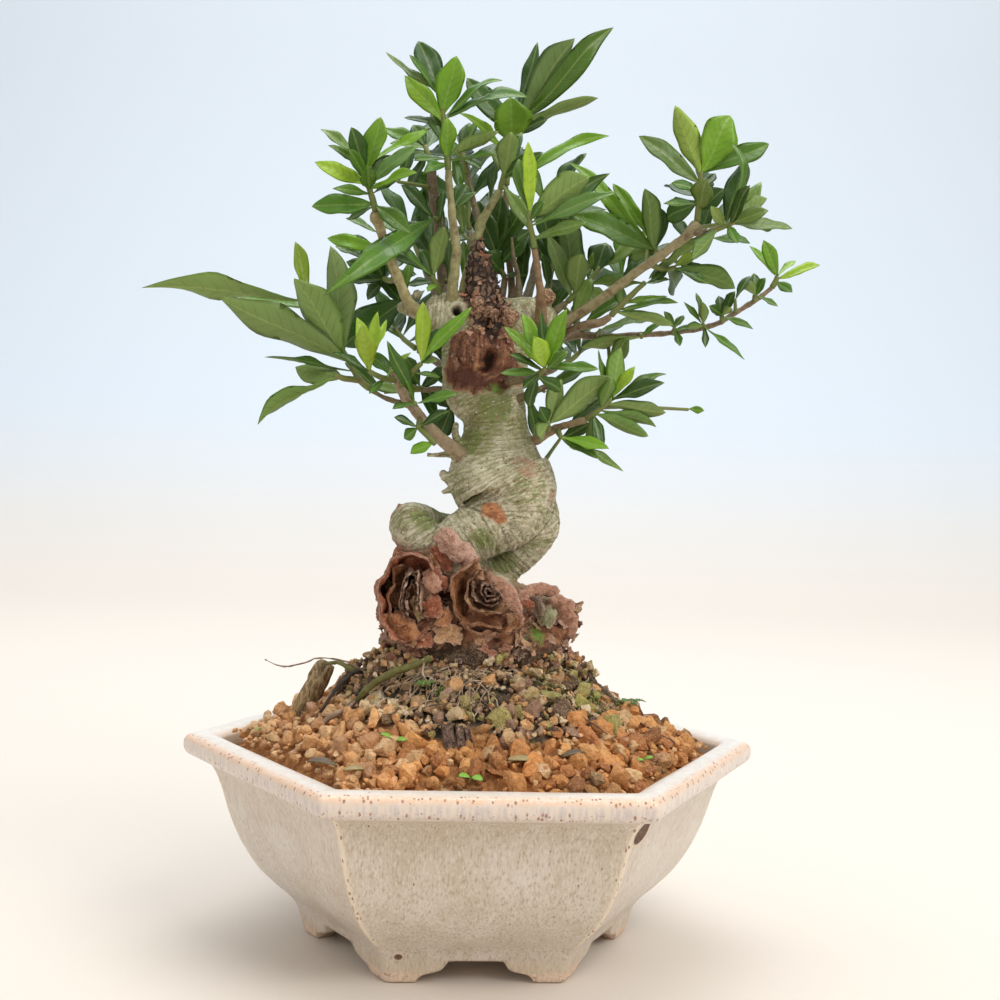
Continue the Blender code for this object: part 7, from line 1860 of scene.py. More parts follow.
        [[(70.4, 228.9, -12), (74.6, 230.8, -12), (78.5, 232.5, -12)]],
        [(0.9, 76, 257.6, -2, 4.2, 40, 0.24), (0.7, 81.2, 252.3, 4, 7.2, 25), (0.8, 83, 244.4, -5, 4.8, 30),
         (0.9, 88.7, 240.4, 6, 6.2, 150), (0.9, 89.3, 236.6, -3, 5.4, 30),
         (0.95, 97.2, 231.1, 3, 5, 45, 0.02), (0.7, 79.8, 225.8, -4, 3.8, 30),
         (0.6, 70.6, 237.4, -8, 4, 20, 0.04), (0.35, 65.2, 220.4, -4, 5.2, 150),
         (0.2, 51.6, 213.4, 2, 5.4, 150, 0.02), (0.6, 80, 240, 24, 8.6, 60, 0.05),
         (0.8, 90, 231, 18, 8, 60, 0.05)], "MDDOOOMOMMDD"),
    "shoot_right_middle": (
        [[(53, 217.8, -7), (56.5, 216.6, -4), (60, 217.4, -3)]],
        [(1, 79.6, 211.4, -4, 8.2, 150, 0.12), (1, 66, 222.6, 3, 3.8, 30, 0.02),
         (0.8, 52.4, 213, -6, 3.4, 30, 0.02), (0.9, 71.6, 212.4, -3, 3.6, 55),
         (0.8, 60, 210, 18, 8, 50, 0.05)], "MYDMD"),
    "shoot_right_twig": (
        [[(40.2, 201.6, -4), (44.3, 206, -5), (47.2, 209, -5), (50.5, 212.3, -5)]],
        [(0.1, 60.2, 198.9, -4, 5.2, 140, 0.04), (0.3, 58, 208.2, 3, 2.8, 45),
         (0.2, 61.6, 206.2, -6, 3.2, 45, 0.05), (0.25, 43, 211.4, 5, 4.4, 150, 0.02),
         (1, 33.6, 211.2, 4, 5.2, 140, 0.04), (1, 58.6, 213.6, 4, 3.4, 55)], "OBMMMM"),
    "spur_right_low_50": (
        [[(50, 195.4, 5.6), (50, 195, 3.8)]],
        [(1, 30.4, 190.6, -3, 4.8, 140), (1, 57, 200, -2, 3, 50)], "OM"),
    "spur_right_low_60": (
        [[(60.3, 196.6, 6.1), (60.6, 197.8, 4.4)]],
        [(1, 57, 203.4, -3, 3, 30), (1, 63.4, 202.4, 2, 2.8, 30, 0.02), (1, 65.6, 198.4, -3, 2.8, 45, 0.02),
         (1, 62.6, 192.4, -3, 3, 30, 0.02)], "MMMM"),
    "spur_right_low_70": (
        [[(69.8, 198.5, 6.3), (69.8, 199.4, 4.6)]],
        [(1, 67, 209.8, 3, 3, 45, 0.02), (1, 69.4, 206.9, -4, 3.8, 160, 0.02),
         (1, 63.2, 206.7, -3, 2.6, 50, 0.02), (1, 70.8, 192.2, -2, 2.8, 35, 0.02),
         (1, 83.7, 188.6, -4, 3, 55, 0.02), (1, 64.2, 198.6, -4, 3.2, 150, 0.02)], "MOMDMM"),
    "spur_right_low_76": (
        [[(76, 201, 6.7), (75.6, 202.6, 5)]],
        [(1, 71.4, 205.6, -3, 3.6, 30, 0.02), (1, 74.4, 209, 3, 3.8, 30, 0.02),
         (1, 79.6, 210.6, 2, 4, 30, 0.02), (1, 78.4, 205.4, -5, 3.6, 150, 0.02),
         (1, 86, 198.6, -2, 3.2, 50)], "DDDOM"),
    "spur_right_low_86": (
        [[(86, 207.8, 7.2), (86, 209.4, 5.6)]],
        [(1, 82.4, 214, -3, 4.4, 150, 0.02), (1, 85.4, 216.6, 3, 3.8, 30, 0.02),
         (1, 89.2, 215.2, -2, 3.4, 30, 0.02), (1, 93.6, 206.2, -3, 2.6, 50, 0.02)], "ODMM"),
    "shoot_right_low_end": (
        [[(91.4, 212.2, 7.4), (92.4, 214, 7.4), (92.8, 215.6, 7.4)]],
        [(1, 88, 227.2, -3, 5.2, 15), (1, 83.5, 225.2, 3, 2.8, 45, 0.02),
         (0.9, 106.6, 219.8, -1, 4, 35, 0.05), (1, 98.6, 221, 5, 2.8, 45, 0.05),
         (0.6, 98, 210.8, -3, 3.8, 30, 0.02)], "BBYYM"),
    "shoot_right_bright": (
        [[(16, 181.2, -11.6), (18, 182.4, -13), (19.6, 183.6, -14)]],
        [(1, 5.8, 196.8, -3, 4.2, 35), (1, 11.6, 201, 1, 4.6, 30), (1, 17.4, 202.4, 4, 4.4, 30, 0.02),
         (1, 15.6, 194, -9, 6.2, 10, 0.05), (1, 25.8, 203, -3, 5.8, 20, 0.04),
         (1, 26.8, 189.6, -2, 4.2, 30, 0.04), (1, 36.8, 184.2, -3, 4.2, 35, 0.06),
         (0.6, 5, 181.8, -6, 3.4, 35), (0.8, 7.8, 188, -5, 3.2, 40), (0.6, 12.8, 177, -3, 3.6, 35, 0.04),
         (0.3, 25, 176.6, 5, 4.8, 30), (0.2, 15, 170.8, 8, 4.8, 30)], "BBDYBWMMDDDD"),
    "shoot_right_under": (
        [[(33.6, 168.2, -5), (36, 170, -6), (38.5, 172.3, -6), (41, 174.5, -6)],
         [(38.2, 172, -6), (46, 172.4, 0), (56, 172.4, 5), (66, 172.2, 7)]],
        [(0.9, 58.8, 183.4, 6, 3.8, 45, 0.08), (1, 43.6, 191.4, 5, 6.6, 160, 0.02),
         (0.8, 36.4, 190.6, 3, 3.4, 45, 0.02), (1, 48.4, 185.5, -4, 4.2, 30, 0.02),
         (1, 58.1, 180.6, 3, 5.6, 35, 0.04), (0.8, 58.9, 171, -6, 5.2, 150, 0.06),
         (0.5, 56, 166.2, -6, 4.2, 150, 0.08), (0.35, 53.6, 163.2, -3, 5.4, 150, 0.04),
         (0.2, 36, 158, 3, 5.2, 170, 0.02), (0.3, 38.6, 158.4, -4, 4.6, 25, 0.02),
         (0.6, 41, 181.4, -9, 5.2, 160, 0.02), (2, 71.2, 172, 1, 2.6, 20, 0.02)], "MBMYDOMMODMB"),
    "spur_right_under_big": (
        [[(21.4, 164.4, -3.4), (21, 166, -7)]],
        [(1, 41.4, 181.8, -6, 9.8, 155, 0.08), (1, 25, 180.6, 3, 6.2, 160), (0.9, 18.2, 171.6, -5, 5.2, 30),
         (1, 18, 162, -9, 5.6, 150)], "OODO"),
    "shoot_lower_right": (
        [[(24.4, 163.8, -4), (25.4, 162, -7)]],
        [(1, 41.1, 158.8, -5, 4.2, 30), (1, 33.6, 158, 0, 4, 140, 0.02), (1, 37.4, 155.4, -3, 3.6, 35),
         (0.8, 46, 151.6, 2, 3.2, 50)], "BYMO"),
}
# the shoots at the back: stem in mm, then how many leaves, how long they are, where the first one points
BACK_SHOOTS = {
    "back_shoot_left": ([(-20.6, 215.4, 28), (-23, 221, 34), (-25, 228, 38)], 6, 27, 10),
    "back_shoot_middle": ([(-6.2, 227.4, 29), (-6.6, 234, 33), (-7, 242, 36)], 6, 28, 40),
    "back_shoot_right": ([(16.4, 223.4, 30), (18, 230, 34), (19, 237, 37)], 6, 28, 20),
    "back_shoot_far_right": ([(35.2, 206.8, 28.4), (40, 210, 33), (45, 214, 37)], 6, 27, 60),
    "back_shoot_low_left": ([(-22.2, 188.8, 29), (-26, 191.6, 34), (-29, 195, 38)], 6, 24, 30),
    "back_shoot_low_right": ([(24.2, 184.6, 28.4), (28, 187, 33), (31, 190, 37)], 6, 24, 80),
}
GOLDEN_ANGLE = 137.5
FOOT_SPREAD = 0.25         # the leaves' feet lie this far off the stem's middle, each its own way
USUAL_ARCH = 0.03
LEAF_FOLD = 0.20           # rise of the edges, as a share of their distance from the midrib
LEAF_WAVE = 0.030          # these three are shares of the leaf's length
EDGE_RIPPLE = 0.011
SIDEWAYS_BEND = 0.022
EYE = np.array([0.0, -EYE_AWAY, EYE_HEIGHT])


def stem_place(rows, place):
    """The point at a share of the stem's whole length."""
    lengths = lengths_along(rows[:, :3])
    return np.array([np.interp(place * lengths[-1], lengths, rows[:, k]) for k in range(3)])


def told_leaves(stems, rows):
    """Arrays of the leaves' feet, tips, widths, rolls, arches and phases."""
    rows = np.array([(*row, USUAL_ARCH)[:7] for row in rows], dtype=float)
    place, x, z, behind, widths, rolls, arches = rows.T
    on_stem = np.ceil(place).astype(int) - 1
    shares = np.round(place - on_stem, 2)
    feet = np.array([stem_place(stems[k], share) for k, share in zip(on_stem, shares)])
    number = np.arange(len(rows))
    turn = np.radians(GOLDEN_ANGLE * number)
    feet = feet + FOOT_SPREAD * np.column_stack([np.cos(turn), 0.4 * np.sin(1.3 * turn), np.sin(turn)])
    tips = seen(np.column_stack([x, z, feet[:, 1] + behind]))
    return feet, tips, widths, rolls, arches, 1.7 * number


def back_leaves(stem, count, length, first):
    """Leaves round a stem by the golden angle, the lower ones longer and flatter."""
    number = np.arange(count)
    share = (number + 1) / count
    feet = np.array([stem_place(stem, 0.25 + 0.75 * s) for s in share])
    turn = np.radians(first + GOLDEN_ANGLE * number)
    lean = np.radians(15 + 40 * share)
    ways = np.column_stack([np.cos(turn) * np.cos(lean), np.sin(turn) * np.cos(lean) * 0.8 + 0.35,
                            np.sin(lean)])
    tips = feet + unit(ways) * (length * (1.1 - 0.35 * share))[:, None]
    every = np.ones(count)
    return feet, tips, length * 0.3 * every, 60 * every, 0.06 * every, number.astype(float)


# %% [markdown]
# A leaf hangs on three directions: along it, out of its top face, and across it.  Its midline arches out
# of the straight line from foot to tip, its halves fold up like an open book, and its edges wave.

# %% The shape of a leaf
def leaf_axes(feet, tips, rolls):
    """Unit vectors along each leaf, out of its top face, and across it."""
    along = unit(tips - feet)
    view = EYE - (feet + tips) / 2
    front = unit(view - along * (view * along).sum(-1, keepdims=True))
    up = np.cross(along, front)
    up = np.where(up[..., 2:] < 0, -up, up)
    angle = np.radians(rolls)[..., None]
    face = front * np.cos(angle) + up * np.sin(angle)
    return along, face, np.cross(along, face)


def leaf_outline(t, blunt):
    """Half-width as a share of the widest, from foot to tip: sin(pi t^(1.15 + 0.35 b))^(0.85 - 0.2 b),
    where b runs from 0 for a leaf that tapers both ways to 1 for one shaped like a spoon."""
    return np.sin(math.pi * np.clip(t, 0, 1) ** (1.15 + 0.35 * blunt)).clip(0) ** (0.85 - 0.2 * blunt)


def leaf_points(leaf, t, s, fullness=1.0):
    """Points of the blade's middle: foot + along L t + across s half + face rise, where rise is
    6.75 arch L t2 (1 - t) + 0.2 |s| half + 0.03 s L sin(pi t) sin(8 t + phase), and smaller ripples
    at the edges.  The midline also bends a little to one side and back, by sin(2 pi t).

    The leaf's arrays have one more axis of length 1 for each axis that t and s share."""
    feet, tips, widths, rolls, arches, phases = leaf
    along, face, across = leaf_axes(feet, tips, rolls)
    length = np.linalg.norm(tips - feet, axis=-1)
    blunt = (0.5 + 0.5 * np.sin(3.7 * phases)) * smoothstep(50, 20, length)
    wavy = 1 + 0.07 * np.sin(13 * t + 2 * phases) * np.sign(s)
    pointed = 1 - 0.30 * smoothstep(0.70, 1.0, t) * (1 - blunt)
    half = leaf_outline(t, blunt) * wavy * pointed * widths / 2 * fullness
    rise = 6.75 * arches * length * t ** 2 * (1 - t) + np.abs(s) * half * LEAF_FOLD
    rise = rise + s * LEAF_WAVE * length * np.sin(math.pi * t) * np.sin(8 * t + phases)
    rise = rise + s * np.abs(s) * EDGE_RIPPLE * length * np.sin(math.pi * t) * np.sin(19 * t + 2.3 * phases)
    aside = s * half + SIDEWAYS_BEND * length * np.sin(2 * math.pi * t) * np.sin(2.3 * phases)
    return (feet + along * (length * t)[..., None] + across * aside[..., None] + face * rise[..., None],
            half, length, face)


def spread(leaf, axes):
    """The leaf's arrays with that many more axes of length 1 after the first."""
    return tuple(part.reshape(part.shape[:1] + (1,) * axes + part.shape[1:]) for part in leaf)


# %% [markdown]
# The solids bend some leaves forwards or back, or roll them, so that none runs through another.  Each
# leaf here tries the same bends and takes the one whose points lie nearest its solid.

# %% Bending each leaf like its solid
SHIFTS = (0, 3, -3, 6, -6, 9, -9, 13, -13, 18, -18, 24, -24)     # mm of the tip, away from the eye
TURNS = (0, 20, -20, 40, -40)                                    # degrees of roll
SOLID_LEAF_FULLNESS = 1.08                                       # the solid's leaves are a little wider
TRIED = np.array([(0.35, -0.9), (0.35, 0.9), (0.62, -0.9), (0.62, 0.9), (0.85, -0.7), (0.85, 0.7),
                  (1.0, 0.0)])


def bent_like(name, leaf):
    """The leaf's arrays with the bends that fit the solid best, and how far each then is from it."""
    steps = sorted((abs(shift) / 3 + abs(turn) / 20, shift, turn) for shift in SHIFTS for turn in TURNS)
    cost, shift, turn = np.array(steps).T
    feet, tips, widths, rolls, arches, phases = spread(leaf, 1)
    tips = tips + (tips - EYE) / EYE_AWAY * shift[None, :, None]
    rolls = rolls + turn[None, :]
    choices = (feet + 0 * tips, tips, widths + 0 * rolls, rolls, arches + 0 * rolls, phases + 0 * rolls)
    wide = tuple(part[:, :, None] for part in choices)
    points = leaf_points(wide, *TRIED.T, SOLID_LEAF_FULLNESS)[0]
    tree = solid_tree(name)
    away = np.array([tree.find_nearest(point)[3] for point in points.reshape(-1, 3)])
    away = away.reshape(points.shape[:3]).mean(axis=-1) + 0.02 * cost
    best = np.argmin(away, axis=1)
    pick = np.arange(len(best))
    return tuple(part[pick, best] for part in choices), away[pick, best]


# %% [markdown]
# The shell of each leaf is a ring of points at each station from foot to tip.  The midrib is sunk in the
# top and stands out below, and the blade bulges between its side veins.  Short leaves get fewer points.

# %% The leaf as a thin shell
def leaf_shells(leaf, stations, half_ring, colours, thick=0.34):
    """Points, faces, layers and colours for the given leaves, each a closed shell."""
    top = np.linspace(-1, 1, 2 * half_ring + 1)
    below = np.linspace(1, -1, 2 * half_ring + 1)[1:-1:1 if half_ring < 3 else 2]
    s = np.concatenate([top, below])
    under = np.concatenate([np.zeros(len(top)), np.ones(len(below))])
    t = np.linspace(0, 1, stations)
    middle, half, length, face = leaf_points(spread(leaf, 2), t[None, :, None], s[None, None, :])
    told = half
    half = np.maximum(told, np.where(t < 0.5, 0.42, 0.12)[None, :, None]) + 0 * s
    feet, tips, _, rolls, _, _ = spread(leaf, 2)
    middle = middle + leaf_axes(feet, tips, rolls)[2] * (s * (half - told))[..., None]
    count = 6 + length / 9
    off = np.abs(s) * half
    vein = count * (t[None, :, None] ** 0.9 - 0.85 * off / length - 0.25 * off * np.abs(s) / length)
    bulge = 0.045 * half * np.cos(2 * math.pi * vein) * np.sin(math.pi * t)[None, :, None] * (1 - s ** 4)
    groove = -0.22 * np.exp(-(off / 0.55) ** 2) * np.minimum(1.0, half / 2)
    depth = thick * (1 - 0.55 * s ** 2) * (0.35 + 0.65 * np.minimum(1.0, half / 1.5))
    lift = groove - bulge - under * (depth + 0.3 * np.exp(-(off / 0.5) ** 2) * np.minimum(1.0, half / 2))
    points = middle + face * lift[..., None]
    for end in (0, -1):
        points[:, end] = points[:, end].mean(axis=1, keepdims=True)
    leaves, ring = len(points), len(s)
    faces = grid_faces(stations, ring)
    faces = (faces[None] + (np.arange(leaves) * stations * ring)[:, None, None]).reshape(-1, 4)
    shape = half.shape
    layers = {
        "edge": np.broadcast_to(np.abs(s), shape).ravel(),
        "off": off.ravel(),
        "vein": vein.ravel(),
        "under": np.broadcast_to(under, shape).ravel(),
        "wood": np.zeros(half.size),
    }
    tones = np.broadcast_to(colours[:, None, None], shape + (3,)).reshape(-1, 3)
    return points.reshape(-1, 3), faces, layers, tones


STEM_RADIUS, SIDE_STEM_RADIUS = 1.05, 0.7


def stem_parts(stems):
    """Green stems that taper to their tips: the first one, and every short one, is thicker."""
    parts = []
    for number, rows in enumerate(stems):
        thick = STEM_RADIUS if len(rows) < 4 or number == 0 else SIDE_STEM_RADIUS
        rows = smooth_path(rows, 4)
        path = np.column_stack([rows[:, :3], thick * (1 - 0.25 * np.linspace(0, 1, len(rows)))])
        points, faces, _ = tube(path, 8, lambda along, angle, points: 0.12 * noise(points, 1.6, 8))
        layers = {label: np.zeros(len(points)) for label in ("edge", "off", "vein", "under")}
        layers["wood"] = np.ones(len(points))
        parts.append((points, faces, layers, np.tile(STEM_TONE, (len(points), 1))))
    return parts


# %% [markdown]
# One material serves all the leaves.  Each leaf's own tone is a colour on its points.  The material adds
# what every leaf has: pale veins, a thin pale edge, a matt paler underside, and wax that shines on top.

# %% The leaf's finish
# D, M and B: one green at three strengths, partly painted shade and light; W: a greyed green as a painted
# sheen
TONES = {
    "D": (0.036, 0.095, 0.009), "M": (0.078, 0.182, 0.014), "O": (0.160, 0.250, 0.048),
    "B": (0.165, 0.340, 0.015), "Y": (0.310, 0.480, 0.030), "W": (0.105, 0.205, 0.040),
    "G": (0.150, 0.225, 0.070),
}
STEM_TONE = (0.17, 0.21, 0.055)


def make_leaf_skin():
    finish = Finish("leaf_skin", Roughness=0.35, Specular_IOR_Level=0.34, Coat_Roughness=0.25)
    here, tone = finish.place(), finish.tone()
    under, edge, off = finish.layer("under"), finish.layer("edge"), finish.layer("off")
    wood = finish.layer("wood")
    side_vein = finish.layer("vein").zigzag().between(0.07, 0.01) * edge.between(1.0, 0.55) * (1 - wood)
    midrib = off.between(0.40, 0.14) * (1 - wood)
    patches = finish.speckle(here, 7.0, 2.0)
    fine = finish.speckle(here, 0.8, 3.0)
    speckled = finish.speckle(here, 2.2, 3.0).between(0.5, 0.62)
    pale = finish.mix(0.5, tone, (0.42, 0.52, 0.17))
    shade = finish.coats(
        finish.tint(patches.between(0.35, 0.7) * 0.45, tone, (0.60, 0.72, 0.50)),
        (under * 0.9, finish.mix(0.45, tone, (0.265, 0.375, 0.13))),
        ((side_vein * 0.20 + midrib * (0.45 + under * 0.3)).clipped(), pale),
        (edge.between(0.94, 1.0) * 0.22 * (1 - wood), (0.36, 0.42, 0.13)),
        (wood * speckled * 0.5, (0.24, 0.17, 0.08)))
    matt = (under * 0.25 + fine * 0.14 + patches * 0.10 + wood * 0.2 + 0.25).clipped()
    relief = side_vein * -0.5 + fine * 0.08 + patches * 0.3 + under * side_vein * 1.2
    return finish.use(Base_Color=shade, Roughness=matt, Coat_Weight=(1 - under) * (1 - wood) * 0.12,
                      Normal=finish.bump(relief, 0.4, 0.7))


# %% [markdown]
# A shoot is one piece: its green stem and all its leaves.  The tables say where the leaves are and the
# solids how they bend, so that all that is left is to put each shoot together.

# %% The shoots
SHORT_LEAF = 15              # leaves under this length get fewer points
leaf_skin = make_leaf_skin()


def make_shoot(name, stems, leaf, tones, seed):
    """Shows one shoot, its leaves bent like those of its solid if it has one."""
    draw = np.random.default_rng(seed)
    leaf, away = bent_like(name, leaf) if name in nodes else (leaf, np.zeros(len(tones)))
    colours = np.array([TONES[tone] for tone in tones])
    colours = colours * draw.uniform(0.82, 1.18, (len(tones), 1)) * draw.uniform(0.94, 1.06, (len(tones), 3))
    length = np.linalg.norm(leaf[1] - leaf[0], axis=-1)
    parts = stem_parts(stems)
    for chosen, stations, half_ring in ((length < SHORT_LEAF, 9, 2), (length >= SHORT_LEAF, 19, 3)):
        if chosen.any():
            some = tuple(part[chosen] for part in leaf)
            parts.append(leaf_shells(some, stations, half_ring, colours[chosen]))
    replaced = [name] if name in nodes else []
    show("leaves_" + name, weld(stack_meshes(name, parts)), leaf_skin, "leaf_green", *replaced)
    return len(tones), float(away.max())


made = []
for seed, (name, (stems, rows, tones)) in enumerate(SHOOTS.items()):
    stems = [seen(stem, CROWN_STEP) for stem in stems]
    made.append(make_shoot(name, stems, told_leaves(stems, rows), tones, seed))
# the leaves at the back are mostly Dark: painted shade
for seed, (name, (stem, count, length, first)) in enumerate(BACK_SHOOTS.items(), start=50):
    stem = seen(stem)
    made.append(make_shoot(name, [stem], back_leaves(stem, count, length, first), "DMD" * (count // 3), seed))


# %% [markdown]
# Dark leaves show in the gaps between the shoots.  They could be left out, but then the crown would be
# see-through, so each is a loose leaf here, on a thin stalk from the nearest wood.  Most are in the Dark
# tone, which here is painted shade.

# %% Leaves deep in the crown
# loose leaves deep in the crown, seen in the gaps between the shoots: foot x, z, back, tip x, z and width
INNER_LEAVES = [
    (-26.0, 202.4, 6, -35.0, 211.3, 5.5), (-35.4, 225.3, 4, -45.8, 229.4, 3.6),
    (-29.5, 241.5, 5, -24.4, 251.9, 3.4), (-8.9, 238.1, 8, -12.5, 249.8, 4.0),
    (0.1, 236.8, 10, 2.6, 249.7, 4.4), (-8.2, 225.4, 6, -9.8, 237.1, 3.6),
    (-15.6, 227.3, 12, -14.7, 239.5, 3.2), (-12.5, 210.9, 10, -11.7, 224.3, 4.2),
    (-6.7, 209.5, 14, -8.1, 223.8, 3.6), (11.3, 207.9, 12, 12.4, 225.2, 5.5),
    (19.7, 208.2, 8, 17.0, 220.9, 4.4), (-16.3, 210.1, 8, -21.8, 220.7, 4.2),
    (-26.2, 177.8, 6, -38.1, 187.0, 5.0), (-24.2, 173.8, 0, -36.5, 176.5, 4.6),
    (-31.6, 174.4, 4, -44.7, 183.5, 4.0), (-10.3, 182.9, 8, -18.3, 191.5, 4.5),
    (-9.1, 175.3, 8, -17.4, 181.3, 3.8), (-10.0, 171.4, 6, -13.5, 159.8, 6.0),
    (14.9, 175.2, 8, 16.7, 161.5, 5.0), (19.7, 176.3, 8, 33.9, 184.5, 5.6),
    (25.0, 161.2, 6, 35.1, 166.7, 4.2), (28.1, 166.4, 6, 40.6, 175.8, 6.0),
    (20.0, 198.7, 8, 27.3, 211.7, 5.0), (27.6, 200.8, 6, 33.6, 213.2, 5.5),
    (31.8, 199.1, 6, 45.4, 207.9, 5.0), (36.7, 196.7, 2, 54.2, 201.2, 4.6),
    (40.4, 183.5, 4, 45.8, 195.1, 5.0), (67.9, 226.6, 2, 71.3, 240.1, 6.0),
    (64.7, 224.9, 0, 57.4, 233.8, 5.0), (51.2, 227.2, 0, 39.1, 243.4, 4.2),
    (81.2, 232.8, 0, 86.5, 245.7, 5.0), (71.7, 227.3, -4, 83.9, 225.9, 4.6),
    (60.4, 219.3, 0, 70.8, 215.2, 4.0), (79.7, 207.9, 6, 84.3, 215.7, 3.0),
    (-37.1, 215.7, 4, -48.8, 220.4, 4.2),
]
# mostly Dark: painted shade deep in the crown
INNER_TONES = "DMDMDODDMDDDMODDMDDMDDDOMOODDBOWDDM"


def inner_leaves():
    """The arrays of the loose leaves, whose tips lie 2 mm further back than their feet."""
    x, z, back, tip_x, tip_z, width = np.array(INNER_LEAVES, dtype=float).T
    number = np.arange(len(x))
    feet, tips = seen(np.column_stack([x, z, back])), seen(np.column_stack([tip_x, tip_z, back + 2]))
    return feet, tips, width * 1.15, 35 + 25 * np.sin(2.1 * number), 0.05 + 0 * width, 1.7 * number


def inner_stalks(feet):
    """A straight stalk for each foot, from the nearest point p of the wood: p + (foot - p) t."""
    wood = np.concatenate([mesh_points(bpy.data.objects[name].data) for name in ("branches", "old_trunk")])
    t = np.linspace(0, 1, 7)[:, None]
    starts = [wood[np.argmin(np.linalg.norm(wood - foot, axis=-1))] for foot in feet]
    return [start + (foot - start) * t for start, foot in zip(starts, feet)]


inner = inner_leaves()
made.append(make_shoot("inner", inner_stalks(inner[0]), inner, INNER_TONES, 90))
print("leaves:", sum(count for count, _ in made), "worst fit:", round(max(fit for _, fit in made), 2), "mm")


# %% [markdown]
# A few small things live or lie on the soil: two seedlings, a sprig of fern and scraps of old leaves.
# Each leaflet is a thin closed sheet with a fold along its middle.

# %% Seedlings and litter
SPROUT_TONES = {"bright": (0.22, 0.47, 0.045), "stem": (0.32, 0.36, 0.10), "fern": (0.085, 0.19, 0.035),
                "dead": (0.11, 0.060, 0.045), "straw": (0.40, 0.29, 0.14), "moss": (0.30, 0.36, 0.09)}
# foot, tip, width and tone of each leaflet, in mm
LEAFLETS = [
    ((-22.7, -49.0, 72.6), (-26.6, -50.5, 74.4), 2.4, "bright"),
    ((-22.7, -49.4, 72.2), (-26.4, -52.5, 71.6), 2.6, "bright"),
    ((-22.4, -49.2, 72.4), (-18.8, -51.4, 72.9), 2.6, "bright"),
    ((-0.2, -67.6, 66.6), (-3.4, -69.4, 67.2), 2.8, "bright"),
    ((0.2, -67.6, 66.6), (3.4, -69.2, 66.2), 2.8, "bright"),
    ((51.0, -41.6, 67.2), (53.6, -43.2, 68.4), 2.2, "bright"),
    ((51.0, -41.6, 67.2), (49.0, -43.4, 67.4), 1.8, "bright"),
    ((-66.0, -14.4, 66.6), (-68.4, -15.6, 67.8), 1.9, "moss"),
    ((-66.0, -14.4, 66.6), (-63.8, -15.8, 67.4), 1.9, "moss"),
    ((-38.0, -57.4, 66.2), (-47.0, -54.4, 66.8), 3.0, "dead"),
    ((10.0, -57.0, 69.4), (18.0, -55.6, 69.0), 3.4, "straw"),
    ((26.0, -52.0, 69.6), (33.0, -49.0, 70.6), 2.6, "dead"),
    ((-30.0, -60.6, 66.4), (-36.0, -61.6, 66.0), 2.4, "straw"),
    ((30.0, 42.0, 76.4), (37.0, 45.0, 75.4), 3.0, "dead"),
    ((-36.0, 34.0, 78.2), (-43.0, 36.0, 77.2), 2.8, "straw"),
]
SPROUT_STEMS = [
    [(-23.4, -53.4, 67.6, 0.32), (-22.6, -51.4, 70.2, 0.26), (-22.7, -49.0, 72.4, 0.22)],
    [(-0.4, -66.4, 64.6, 0.35), (0.0, -67.6, 66.6, 0.25)],
    [(51.4, -40.8, 65.0, 0.3), (51.0, -41.6, 67.2, 0.22)],
]


def leaflet(foot, tip, width, tone):
    """foot + t L along + s half across + up (0.18 |s| half + 0.48 L t (1 - t)), half = w/2 sin(pi t)^0.6."""
    foot, tip = np.array(foot, dtype=float), np.array(tip, dtype=float)
    t, s = np.meshgrid(np.linspace(0, 1, 9), np.linspace(-1, 1, 5), indexing="ij")
    length = np.linalg.norm(tip - foot)
    way = (tip - foot) / length
    across = unit(np.cross(way, [0.0, -0.45, 1.0]))
    half = width / 2 * np.sin(math.pi * np.clip(t, 0.03, 0.97)) ** 0.6
    lift = 0.18 * np.abs(s) * half + 0.48 * length * t * (1 - t)
    points = foot + way * (length * t)[..., None] + across * (s * half)[..., None]
    return sheet(points + np.cross(across, way) * lift[..., None], 0.22, SPROUT_TONES[tone])


def frond(foot, heading, length, tone):
    """A fern frond: a stem that arches over, and leaflets to both sides of it that shorten to its tip."""
    t = np.linspace(0, 1, 9)
    out = length * t
    high = length * (0.95 * t - 0.75 * t ** 2)
    spine = np.column_stack([foot[0] + math.cos(heading) * out, foot[1] + math.sin(heading) * out,
                             foot[2] + high])
    yield spine
    side = np.array([-math.sin(heading), math.cos(heading), 0.15])
    way = np.array([math.cos(heading), math.sin(heading), 0.1])
    for place, share in zip(spine[2:], t[2:]):
        reach = 0.34 * length * (1.05 - share)
        for sign in (-1, 1):
            yield leaflet(place, place + (side * sign + way * 0.5) * reach, 0.42 * reach + 0.25, tone)


FERNS = [(50.0, 1.0, 75.4, 6, 6.0), (-15.3, -32.6, 85.6, 6, 4.2), (-20, 34, 84.5, 7, 8.0)]

draw = np.random.default_rng(5)
sprouts = [leaflet(*row) for row in LEAFLETS]
stalks = [np.array(rows, dtype=float) for rows in SPROUT_STEMS]
for x, y, z, count, length in FERNS:
    for number in range(count):
        heading = number * 2 * math.pi / count + draw.uniform(-0.4, 0.4)
        spine, *leaflets = frond((x, y, z), heading, length * draw.uniform(0.75, 1.15), "fern")
        stalks.append(np.column_stack([spine, np.linspace(0.28, 0.12, len(spine))]))
        sprouts += leaflets
for rows in stalks:
    points, faces, _ = tube(smooth_path(rows, 3), 6, rounded=False)
    plain = {label: np.zeros(len(points)) for label in ("rim", "inner", "deep")}
    sprouts.append((points, faces, plain, np.tile(SPROUT_TONES["stem"], (len(points), 1))))


def make_sprout():
    finish = Finish("sprout", Roughness=0.45, Specular_IOR_Level=0.5)
    here = finish.place()
    patch = finish.speckle(here, 1.4, 3.0).between(0.35, 0.65)
    shade = finish.tint(patch * 0.5, finish.tone(), (0.60, 0.62, 0.45))
    shade = finish.mix(finish.layer("rim") * 0.25, shade, (0.45, 0.50, 0.20))
    return finish.use(Base_Color=shade, Normal=finish.bump(finish.speckle(here, 0.5), 0.3, 0.5))


